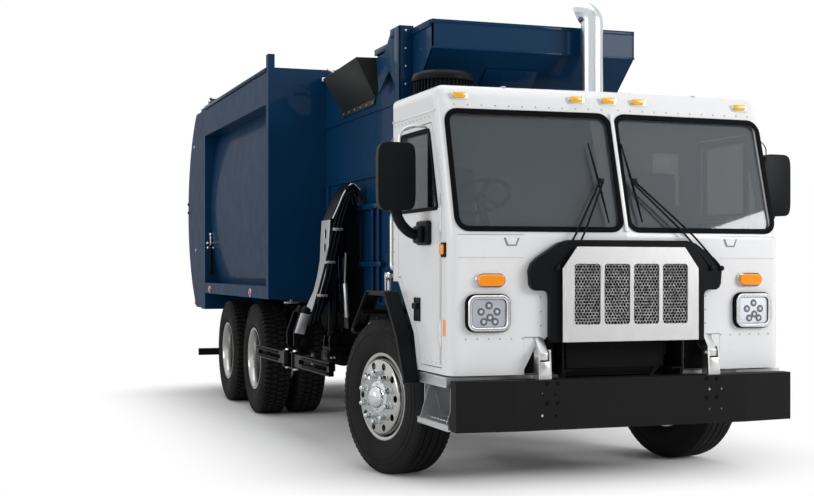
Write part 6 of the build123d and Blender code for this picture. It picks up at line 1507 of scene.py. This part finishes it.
# Boom: long side bars, its pin heads and the lifting cylinder's fittings.
bars = Shape()
for low in (ARM_STATION - 0.084, ARM_STATION + 0.062):
    bars.prism(ribbon([(-0.905, 1.980), (-0.935, 1.460), (-0.912, 1.050)], 0.030), "y", st(low),
               st(low + 0.022))
piece("boom_bars", bars, arm_black, "arm_boom", 30, bevel=0.003)
rods = Shape().bar(at(-0.898, ARM_STATION - 0.100, 1.560), at(-0.905, ARM_STATION - 0.100, 1.300), 0.011, 12)
rods.bar(at(-0.905, ARM_STATION - 0.100, 1.300), at(-0.885, ARM_STATION - 0.100, 1.010), 0.022, 16,
         bevel=0.003)
piece("boom_rods", rods, step_alloy, "arm_boom", 30)
bosses = Shape().bar(at(-0.955, ARM_STATION - 0.046, 1.600), at(-0.955, ARM_STATION - 0.037, 1.600), 0.026,
                     18,
                     bevel=0.002)
bosses.bar(at(-0.955, ARM_STATION + 0.037, 1.600), at(-0.955, ARM_STATION + 0.046, 1.600), 0.026, 18,
           bevel=0.002)
piece("boom_bosses", bosses, arm_black, "arm_boom", 30)

# Base: pin heads, valve block and mounting bolts.
heads = Shape()
for x, z, radius in ((PIVOT[0], PIVOT[1], 0.048), (-0.990, 0.815, 0.030)):
    for way in (-1, 1):
        heads.bar(at(x, ARM_STATION + way * 0.099, z), at(x, ARM_STATION + way * 0.116, z), radius, 24,
                  bevel=0.004)
piece("base_pins", heads, arm_black, "chassis", 30)
plugs = Shape()
for x in (-1.036, -1.009):
    plugs.bar(at(x, ARM_STATION - 0.126, 0.674), at(x, ARM_STATION - 0.152, 0.674), 0.0115, 20, 0.009, 0.002)
piece("base_plugs", plugs, zinc, "chassis", 30)
block = Shape().box(at(-1.058, ARM_STATION - 0.128, 0.640), at(-0.936, ARM_STATION + 0.120, 0.731), 0.006)
block.box(at(-0.76, ARM_STATION - 0.118, 0.64), at(-0.50, ARM_STATION + 0.10, 0.731), 0.006)
for x in (-0.72, -0.64, -0.56):
    block.bar(at(x, ARM_STATION - 0.118, 0.686), at(x, ARM_STATION - 0.150, 0.686), 0.020, 6)
piece("base_blocks", block, arm_black, "chassis", 30)
fittings = Shape()
for z in (0.90, 1.05, 1.22):
    fittings.ball(at(-0.925 - (z - 0.9) * 0.05, ARM_STATION - 0.090, z), 0.015)
piece("boom_fittings", fittings, arm_black, "arm_boom", 30)

# Barrel ends: gland, port bosses and a feed pipe.
along_barrel = (at(-0.955, ARM_STATION, 1.600) - at(-0.990, ARM_STATION, 0.815)).normalized()
foot = at(-0.990, ARM_STATION, 0.815)
gland = Shape().bar(foot + along_barrel * 0.470, foot + along_barrel * 0.5215, 0.0415, 28, bevel=0.003)
gland.bar(foot + along_barrel * 0.040, foot + along_barrel * 0.080, 0.0415, 28, bevel=0.003)
piece("cylinder_gland", gland, arm_black, "cylinder_barrel", 30)
feed = tube_shape([foot + along_barrel * 0.10 + Vector((0, -0.036, 0)),
                   foot + along_barrel * 0.10 + Vector((0, -0.056, 0)),
                   foot + along_barrel * 0.45 + Vector((0, -0.056, 0)),
                   foot + along_barrel * 0.45 + Vector((0, -0.036, 0))],
                  0.007, 0.02, 8)
piece("cylinder_feed", feed, arm_black, "cylinder_barrel", 30)

# Gripper head: bright castings, bolts and pads on the fingers.
castings = Shape()
for x0, x1, y0, y1, z0, z1 in ((-1.312, -1.180, -0.150, -0.110, 0.600, 0.722),
                               (-1.300, -1.226, -0.186, -0.150, 0.62, 0.70),
                               (-1.300, -1.200, 0.110, 0.150, 0.600, 0.722)):
    castings.box(at(x0, ARM_STATION + y0, z0), at(x1, ARM_STATION + y1, z1), 0.008)
piece("gripper_castings", castings, cast_grey, "gripper", 30)
knobs = Shape()
for x, z in ((-1.28, 0.70), (-1.21, 0.70), (-1.28, 0.63), (-1.21, 0.63)):
    knobs.bar(at(x, ARM_STATION - 0.148, z), at(x, ARM_STATION - 0.162, z), 0.014, 6)
for way in (-1, 1):
    station = ARM_STATION + way * 0.140
    knobs.bar(at(-1.346, station, 0.724), at(-1.346, station, 0.744), 0.024, 20, 0.020, 0.003)
    knobs.bar(at(-1.346, station, 0.596), at(-1.346, station, 0.574), 0.024, 20, 0.020, 0.003)
piece("gripper_knobs", knobs, zinc, "gripper", 30)
foot_block = Shape().box(at(-1.340, ARM_STATION - 0.140, 0.574), at(-1.250, ARM_STATION + 0.140, 0.592),
                         0.004)
piece("gripper_foot", foot_block, arm_black, "gripper", 30)
for way, name in ((-1, "front"), (1, "rear")):
    pads = Shape()
    root = ARM_STATION + way * 0.140
    for z in (0.627, 0.693):
        pads.box(at(-1.374, root + way * 0.30, z - 0.010), at(-1.366, root + way * 1.13, z + 0.010), 0.002)
    piece(f"finger_pads_{name}", pads, gasket_rubber, f"finger_{name}", 30)
    webs = Shape().box(at(-1.364, root + way * 0.02, 0.620), at(-1.330, root + way * 0.20, 0.700), 0.006)
    piece(f"finger_webs_{name}", webs, cast_grey, f"finger_{name}", 30)
# ---- Chassis ----

for node in ("frame_rails", "suspension", "drive_axles", "front_axle", "battery_box", "underrun_bar",
             "knuckle_kerb",
             "knuckle_street", "engine_block"):
    paint_node(node, frame_black)
paint_node("front_bumper", bumper_black)
paint_node("fuel_tank", step_alloy)
paint_node("hinge_brackets", zinc)
paint_node("steps", step_alloy)

# Bumper: the heads of its carriage bolts.
heads = Shape()
for middle in (-0.566, 0.560):
    for dx in (-0.036, 0.036):
        for z in (0.598, 0.722):
            heads.bar((middle + dx, st(0.001), z), (middle + dx, st(-0.006), z), 0.0145, 16, 0.010)
piece("bumper_bolts", heads, black_and_painted_shade, "chassis", 30)

# Bright front webs of the cab hinges.
webs = Shape()
for side, _ in SIDES:
    webs.box((side * 0.569, st(0.042), 0.757), (side * 0.631, st(0.036), 0.852), 0.0015)
piece("hinge_webs", webs, zinc, "chassis", 30)

# Fenders: a folded guard with a rolled lip over each front wheel, and its stays.
FENDER_PATH = [(0.725, 0.690), (0.748, 0.742), (0.885, 0.985), (1.160, 1.275), (1.590, 1.275), (1.975, 0.985)]
FENDER_IN, FENDER_OUT = 1.190, 1.292


def path_outline(points, thick):
    """Outline of a strip on the inner side of (station, z) points."""
    inner = []
    for index, (y, z) in enumerate(points):
        ahead = points[min(index + 1, len(points) - 1)]
        back = points[max(index - 1, 0)]
        way = Vector((ahead[0] - back[0], ahead[1] - back[1])).normalized() * thick
        inner.append((y + way.y, z - way.x))
    return [(st(y), z) for y, z in points + inner[::-1]]


for side, name in SIDES:
    low, high = sorted((side * FENDER_IN, side * FENDER_OUT))
    guard = Shape().prism(path_outline(FENDER_PATH, 0.010), "x", low, high)
    low, high = sorted((side * (FENDER_OUT - 0.012), side * (FENDER_OUT + 0.001)))
    guard.prism(path_outline(FENDER_PATH, 0.034), "x", low, high)
    low, high = sorted((side * FENDER_IN, side * (FENDER_IN + 0.010)))
    guard.prism(path_outline(FENDER_PATH, 0.034), "x", low, high)
    piece(f"fender_{name}", guard, trim_black, "chassis", 42, ["fenders"] if side < 0 else (),
          bevel=0.004)
    stays = Shape()
    for y, z in ((1.730, 1.122), (1.935, 0.980)):
        stays.bar((side * 0.430, st(y), z), (side * (FENDER_OUT - 0.008), st(y), z), 0.0245, 16)
    stays.box((side * 0.392, st(1.705), 0.99), (side * 0.433, st(1.755), 1.147), 0.003)
    brace = tube_shape([(side * 1.300, st(1.560), 1.262), (side * 1.300, st(1.900), 1.000)], 0.009, 0.02, 8)
    piece(f"fender_stays_{name}", stays.add(brace), frame_black, "chassis", 30)

# Steps: punched treads, edge beads, slanted gussets and a dark sheet of painted shade behind them.
for side, name in SIDES:
    punches = Shape()
    for row in range(3):
        for column in range(9):
            x = side * (0.905 + row * 0.110)
            y = st(0.245 + column * 0.055)
            punches.bar((x, y, 0.467), (x, y, 0.4735), 0.017, 10, 0.011)
            if column > 0:
                punches.bar((x, y, 0.757), (x, y, 0.7635), 0.017, 10, 0.011)
    piece(f"step_studs_{name}", punches, step_alloy, "chassis", 30)
    trim = Shape()
    face = side * 1.196
    for front, rear, low, high in ((0.170, 0.732, 0.430, 0.436), (0.170, 0.732, 0.459, 0.466),
                                   (0.195, 0.686, 0.696, 0.702), (0.195, 0.686, 0.748, 0.756)):
        trim.box((face - side * 0.004, st(front), low), (face + side * 0.006, st(rear), high), 0.002)
    for y in (0.24, 0.44, 0.64):
        trim.bar((face - side * 0.002, st(y), 0.448), (face + side * 0.008, st(y), 0.448), 0.009, 12, 0.006)
    for y in (0.178, 0.676):
        for top, low, wide in ((1.105, 1.178, 0.050), (1.085, 1.020, 0.060), (0.925, 0.960, 0.070)):
            trim.add(slab([(side * (top - wide / 2), st(y), 0.697), (side * (top + wide / 2), st(y), 0.697),
                           (side * (low + wide / 2), st(y), 0.468), (side * (low - wide / 2), st(y), 0.468)],
                          0.005))
    # A dark sheet of painted shade behind the gussets.
    shade_sheet = Shape().box((side * 0.872, st(0.184), 0.470), (side * 1.163, st(0.1895), 0.692))
    piece(f"step_painted_shade_{name}", shade_sheet, frame_black, "chassis", 30)
    piece(f"step_trim_{name}", trim, step_alloy, "chassis", 30)

# Exhaust: stack bent at its top, muffler, punched heat shield and clamps.
STACK = (0.432, 1.490)
MUFFLER = (1.170, 2.170, 0.100)
STACK_RADIUS, STACK_WALL, STACK_CROWN = 0.083, 0.004, 3.425
BEND_RADIUS, BEND_TURN, BEND_WAY = 0.086, math.radians(112), math.radians(142)


def pipe_wall(shape, radius, low):
    """One wall of the stack, from low up to the bend and round it; its two ends' edges."""
    top = STACK_CROWN - STACK_RADIUS - BEND_RADIUS
    way = Vector((math.cos(BEND_WAY), math.sin(BEND_WAY), 0))
    foot = bmesh.ops.create_circle(shape.bm, segments=40, radius=radius,
                                   matrix=Matrix.Translation((STACK[0], st(STACK[1]), low)))["verts"]
    ring = list({edge for vert in foot for edge in vert.link_edges})
    geom = foot + ring
    if low < top:
        made = bmesh.ops.extrude_edge_only(shape.bm, edges=ring)["geom"]
        geom = [item for item in made if not isinstance(item, bmesh.types.BMFace)]
        risen = [item for item in geom if isinstance(item, bmesh.types.BMVert)]
        bmesh.ops.translate(shape.bm, verts=risen, vec=(0, 0, top - low))
    centre = Vector((STACK[0], st(STACK[1]), top)) + way * BEND_RADIUS
    last = bmesh.ops.spin(shape.bm, geom=geom, cent=centre, axis=Vector((0, 0, 1)).cross(way),
                          angle=BEND_TURN,
                          steps=14)["geom_last"]
    return ring, [item for item in last if isinstance(item, bmesh.types.BMEdge)]


pipe = Shape()
foot, mouth = pipe_wall(pipe, STACK_RADIUS, 1.05)
floor, inner_mouth = pipe_wall(pipe, STACK_RADIUS - STACK_WALL, STACK_CROWN - STACK_RADIUS - BEND_RADIUS)
bmesh.ops.bridge_loops(pipe.bm, edges=mouth + inner_mouth)
for ring in (foot, floor):
    bmesh.ops.edgeloop_fill(pipe.bm, edges=ring)
pipe.clean()
muffler = Shape().bar((STACK[0], st(STACK[1]), MUFFLER[0]), (STACK[0], st(STACK[1]), MUFFLER[1]), MUFFLER[2],
                      48,
                      bevel=0.012)
piece("stack_pipe", pipe, stack_chrome, "chassis", 35, ["exhaust_stack"])
piece("stack_muffler", muffler, chrome, "chassis", 35)
low, high, ring = 1.210, 2.130, 0.112
wrap = Shape().lathe([(low, ring), (high, ring), (high, ring - 0.003), (low, ring - 0.003)], 48,
                     (STACK[0], st(STACK[1]), 0), "z")
slots = Shape()
for row in range(14):
    for column in range(9):
        turn = math.radians(195 + column * 19)
        x, y = STACK[0] + ring * math.cos(turn), st(STACK[1]) + ring * math.sin(turn)
        z = 1.265 + row * 0.063
        slots.bar((x - 0.02 * math.cos(turn), y - 0.02 * math.sin(turn), z),
                  (x + 0.02 * math.cos(turn), y + 0.02 * math.sin(turn), z), 0.0125, 8)
piece("stack_shield", cut(wrap, slots), chrome, "chassis", 30)
clamps = Shape()
for z in (1.19, 2.15, 2.36):
    clamps.add(Shape().lathe([(z, 0.0835), (z, 0.0875), (z + 0.028, 0.0875), (z + 0.028, 0.0835)], 40,
                             (STACK[0], st(STACK[1]), 0), "z"))
piece("stack_clamps", clamps, zinc, "chassis", 30)

# Air cleaner: a louvred can with a lipped cap and straps.
CLEANER = (-0.700, 1.625)
can = Shape().lathe([(2.172, 0.0005), (2.172, 0.185), (2.190, 0.198), (2.215, 0.200), (2.800, 0.200),
                     (2.812, 0.196),
                     (2.812, 0.0005)], 64, (CLEANER[0], st(CLEANER[1]), 0), "z")
can.box((-0.435, st(CLEANER[1] - 0.040), 1.094), (-0.350, st(CLEANER[1] + 0.040), 2.250), 0.006)
can.box((CLEANER[0], st(CLEANER[1] - 0.040), 2.165), (-0.350, st(CLEANER[1] + 0.040), 2.250), 0.006)
piece("cleaner_can", can, trim_black, "chassis", 30, ["air_cleaner"])
louvres = Shape()
vane = Shape().box((0.196, -0.0035, 2.50), (0.216, 0.0035, 2.78), 0.0015)
spin = Shape().ring_of(vane, 44, axis=(0, 0, 1))
louvres.add(spin, Matrix.Translation((CLEANER[0], st(CLEANER[1]), 0)))
cap = Shape().lathe([(2.790, 0.214), (2.782, 0.224), (2.796, 0.229), (2.812, 0.226), (2.836, 0.212),
                     (2.853, 0.176),
                     (2.864, 0.110), (2.869, 0.0005), (2.790, 0.0005)], 64, (CLEANER[0], st(CLEANER[1]), 0),
                    "z")
piece("cleaner_cap", louvres.add(cap), trim_black, "chassis", 35)
straps = Shape()
for z in (2.26, 2.44):
    straps.add(Shape().lathe([(z, 0.199), (z, 0.2045), (z + 0.022, 0.2045), (z + 0.022, 0.199)], 56,
                             (CLEANER[0], st(CLEANER[1]), 0), "z"))
piece("cleaner_straps", straps, zinc, "chassis", 30)
duct = tube_shape([(CLEANER[0], st(CLEANER[1]), 2.20), (CLEANER[0], st(CLEANER[1]), 2.02),
                   (-0.40, st(CLEANER[1]), 1.94),
                   (-0.30, st(CLEANER[1] + 0.02), 1.70), (-0.26, st(CLEANER[1]), 1.20)], 0.058, 0.12, 20)
piece("cleaner_duct", duct, gasket_rubber, "chassis", 30)

# Cooler and lower plate seen under the grille.
fins = Shape()
for index in range(9):
    z = 0.872 + index * 0.0105
    fins.box((-0.470, st(0.262), z), (0.350, st(0.300), z + 0.0045))
fins.box((-0.490, st(0.255), 0.862), (-0.470, st(0.330), 0.968), 0.003)
fins.box((0.350, st(0.255), 0.862), (0.370, st(0.330), 0.968), 0.003)
piece("cooler_fins", fins, frame_black, "chassis", 30)
lower = Shape().box((-0.500, st(0.270), 0.742), (0.270, st(0.286), 0.856), 0.006)
piece("lower_plate", lower, trim_black, "chassis", 30)

# Fuel tank: straps and filler cap.
TANK_X, TANK_Z, TANK_R = 0.780, 0.760, 0.290
belts = Shape()
for station in (2.52, 2.83, 3.14):
    belts.add(Shape().lathe([(st(station) - 0.026, TANK_R - 0.001), (st(station) - 0.026, TANK_R + 0.006),
                             (st(station) + 0.026, TANK_R + 0.006), (st(station) + 0.026, TANK_R - 0.001)],
                            64,
                            (TANK_X, 0, TANK_Z), "y"))
piece("tank_straps", belts, zinc, "chassis", 30)
cap = Shape().bar((TANK_X + 0.17, st(2.42), TANK_Z + 0.20), (TANK_X + 0.225, st(2.42), TANK_Z + 0.258), 0.048,
                  28,
                  0.044, 0.004)
piece("tank_cap", cap, trim_black, "chassis", 30)

# Battery box: lid, ribs and latches.
box_trim = Shape().box((-0.958, st(2.194), 1.000), (-0.430, st(2.846), 1.026), 0.005)
for station in (2.33, 2.52, 2.71):
    box_trim.box((-0.962, st(station) - 0.018, 0.640), (-0.950, st(station) + 0.018, 0.985), 0.003)
piece("battery_lid", box_trim, frame_black, "chassis", 30)
latches = Shape()
for station in (2.42, 2.62):
    latches.box((-0.968, st(station) - 0.016, 0.940), (-0.950, st(station) + 0.016, 1.008), 0.004)
piece("battery_latches", latches, zinc, "chassis", 30)

# The bright knob, thin rod and bracket behind the cab's kerb corner.
knob = Shape().ball((-1.150, st(1.500), 1.372), 0.034, detail=3)
knob.bar((-1.150, st(1.500), 1.262), (-1.150, st(1.500), 1.350), 0.013, 14)
knob.box((-1.19, st(1.47), 1.262), (-1.10, st(1.53), 1.272), 0.003)
piece("corner_knob", knob, chrome, "chassis", 30)
thin = Shape().bar((-1.185, st(1.470), 1.262), (-1.185, st(1.470), 1.400), 0.006, 8)
piece("corner_rod", thin, zinc, "chassis", 30)

# Frame fittings: crossmember bolts, and air tanks with their hangers.
bolts = Shape()
for side, _ in SIDES:
    for station in (2.10, 3.20, 3.40, 4.10, 4.30, 4.90, 5.10, 7.70, 7.90):
        for z in (0.86, 0.98):
            bolts.bar((side * 0.4325, st(station), z), (side * 0.446, st(station), z), 0.014, 6)
piece("rail_bolts", bolts, zinc, "chassis", 30)
tanks = Shape()
for x, z in ((0.30, 0.66), (-0.30, 0.66)):
    tanks.bar((x, st(3.55), z), (x, st(4.55), z), 0.118, 32, bevel=0.030)
piece("air_tanks", tanks, frame_black, "chassis", 30)
hangers = Shape()
for x in (0.30, -0.30):
    for station in (3.75, 4.35):
        hangers.box((x - 0.012, st(station) - 0.02, 0.765), (x + 0.012, st(station) + 0.02, 0.90))
piece("tank_hangers", hangers, frame_black, "chassis", 30)
# ---- Floor, light and camera ----

def plane_shape(half_x, half_y, place):
    made = Shape()
    bmesh.ops.create_grid(made.bm, x_segments=1, y_segments=1, size=1,
                          matrix=Matrix.Translation(place) @ Matrix.Diagonal((half_x, half_y, 1, 1)))
    return made


def stage_floor():
    """A pale floor with the truck's shadow, which fades to white away from it."""
    finish = Finish("floor_pale", (0.90, 0.90, 0.90), 0.9)
    finish.set("Specular IOR Level", 0.05)
    seen = finish.node("ShaderNodeLightPath")
    white = finish.node("ShaderNodeEmission", None, {"Color": (1, 1, 1, 1), "Strength": 1.0})
    past = [(abs(finish.axis(axis)) - SHADE_HALF[axis]) for axis in (0, 1)]
    past = [run.math("MAXIMUM", run, 0.0) for run in past]
    away = finish.node("ShaderNodeMath", {"operation": "SQRT"}, {0: past[0] * past[0] + past[1] * past[1]})
    share = away.ramp(*SHADE_FADE) * seen
    both = finish.node("ShaderNodeMixShader", None,
                       {0: share, 1: Wire(finish, finish.shader.outputs[0]), 2: white})
    finish.plug(both, finish.tree.nodes["Material Output"].inputs["Surface"])
    mesh = bpy.data.meshes.new("floor")
    shape = plane_shape(60, 60, (0, 0, 0))
    shape.bm.to_mesh(mesh)
    shape.bm.free()
    mesh.materials.append(finish.material)
    floor = bpy.data.objects.new("floor", mesh)
    bpy.context.scene.collection.objects.link(floor)


KEY_POWER, TOP_POWER, FILL_POWER = 640, 440, 380
SHADE_HALF = (0.75, 3.0)
SHADE_FADE = (0.35, 1.9)
stage_floor()


def stage_world():
    """Even pale light from all round, white where it is seen or mirrored."""
    world = bpy.data.worlds.new("studio")
    bpy.context.scene.world = world
    world.use_nodes = True
    nodes, links = world.node_tree.nodes, world.node_tree.links
    background = nodes["Background"]
    path = nodes.new("ShaderNodeLightPath")
    most = path.outputs["Is Camera Ray"]
    for ray in ("Is Glossy Ray", "Is Transmission Ray"):
        pick = nodes.new("ShaderNodeMath")
        pick.operation = "MAXIMUM"
        links.new(most, pick.inputs[0])
        links.new(path.outputs[ray], pick.inputs[1])
        most = pick.outputs[0]
    level = nodes.new("ShaderNodeMapRange")
    level.inputs[3].default_value = WORLD_LEVEL
    level.inputs[4].default_value = 1.0
    links.new(most, level.inputs[0])
    links.new(level.outputs[0], background.inputs["Strength"])
    background.inputs["Color"].default_value = (1, 1, 1, 1)


WORLD_LEVEL = 0.50
stage_world()


def lamp(name, place, target, size, power):
    """A soft square lamp that faces a point."""
    data = bpy.data.lights.new(name, "AREA")
    data.shape = "RECTANGLE"
    data.size, data.size_y = size
    data.energy = power
    made = bpy.data.objects.new(name, data)
    made.location = place
    made.rotation_euler = (Vector(target) - Vector(place)).to_track_quat("-Z", "Y").to_euler()
    bpy.context.scene.collection.objects.link(made)


lamp("key_front", (7.5, -12.5, 5.0), (0.2, -4.0, 1.4), (5.0, 4.0), KEY_POWER)
lamp("top_soft", (0.0, -1.0, 11.0), (0, -0.5, 1.0), (9.0, 14.0), TOP_POWER)
lamp("kerb_fill", (-13.0, -5.0, 5.0), (-0.5, -1.0, 1.4), (5.0, 5.0), FILL_POWER)


def card(name, place, size, shade):
    """A board out of view, which gives bright metal, paint and glass something to mirror."""
    finish = Finish(name, (shade, shade, shade), 0.9, Specular_IOR_Level=0.0)
    mesh = bpy.data.meshes.new(name)
    shape = plane_shape(size[0] / 2, size[1] / 2, (0, 0, 0))
    shape.bm.to_mesh(mesh)
    shape.bm.free()
    mesh.materials.append(finish.material)
    board = bpy.data.objects.new(name, mesh)
    aim = (Vector((0, -3, 1.5)) - Vector(place)).to_track_quat("Z", "Y").to_matrix().to_4x4()
    mesh.transform(Matrix.Translation(place) @ aim)
    board.visible_camera = False
    board.visible_diffuse = False
    board.visible_shadow = False
    bpy.context.scene.collection.objects.link(board)


card("front_card", (5.5, -19.0, 2.6), (13.0, 4.8), 0.03)
card("pane_card", (4.2, -19.0, 11.6), (5.0, 9.0), 0.75)
card("kerb_card", (-5.5, 14.5, 3.2), (8.0, 6.0), 0.60)

camera = bpy.data.cameras.new("camera")
camera.sensor_width = 36.0
camera.lens = 60.026
camera.shift_x = -0.0464
camera.shift_y = 0.0240
camera.clip_end = 300
CAMERA_YAW = math.radians(19.941)
camera_holder = bpy.data.objects.new("camera", camera)
camera_holder.location = (-4.0507, -12.3897, 1.4363)
camera_holder.rotation_euler = (math.radians(90), 0, -CAMERA_YAW)
bpy.context.scene.collection.objects.link(camera_holder)
bpy.context.scene.camera = camera_holder
bpy.context.scene.view_settings.view_transform = "Standard"
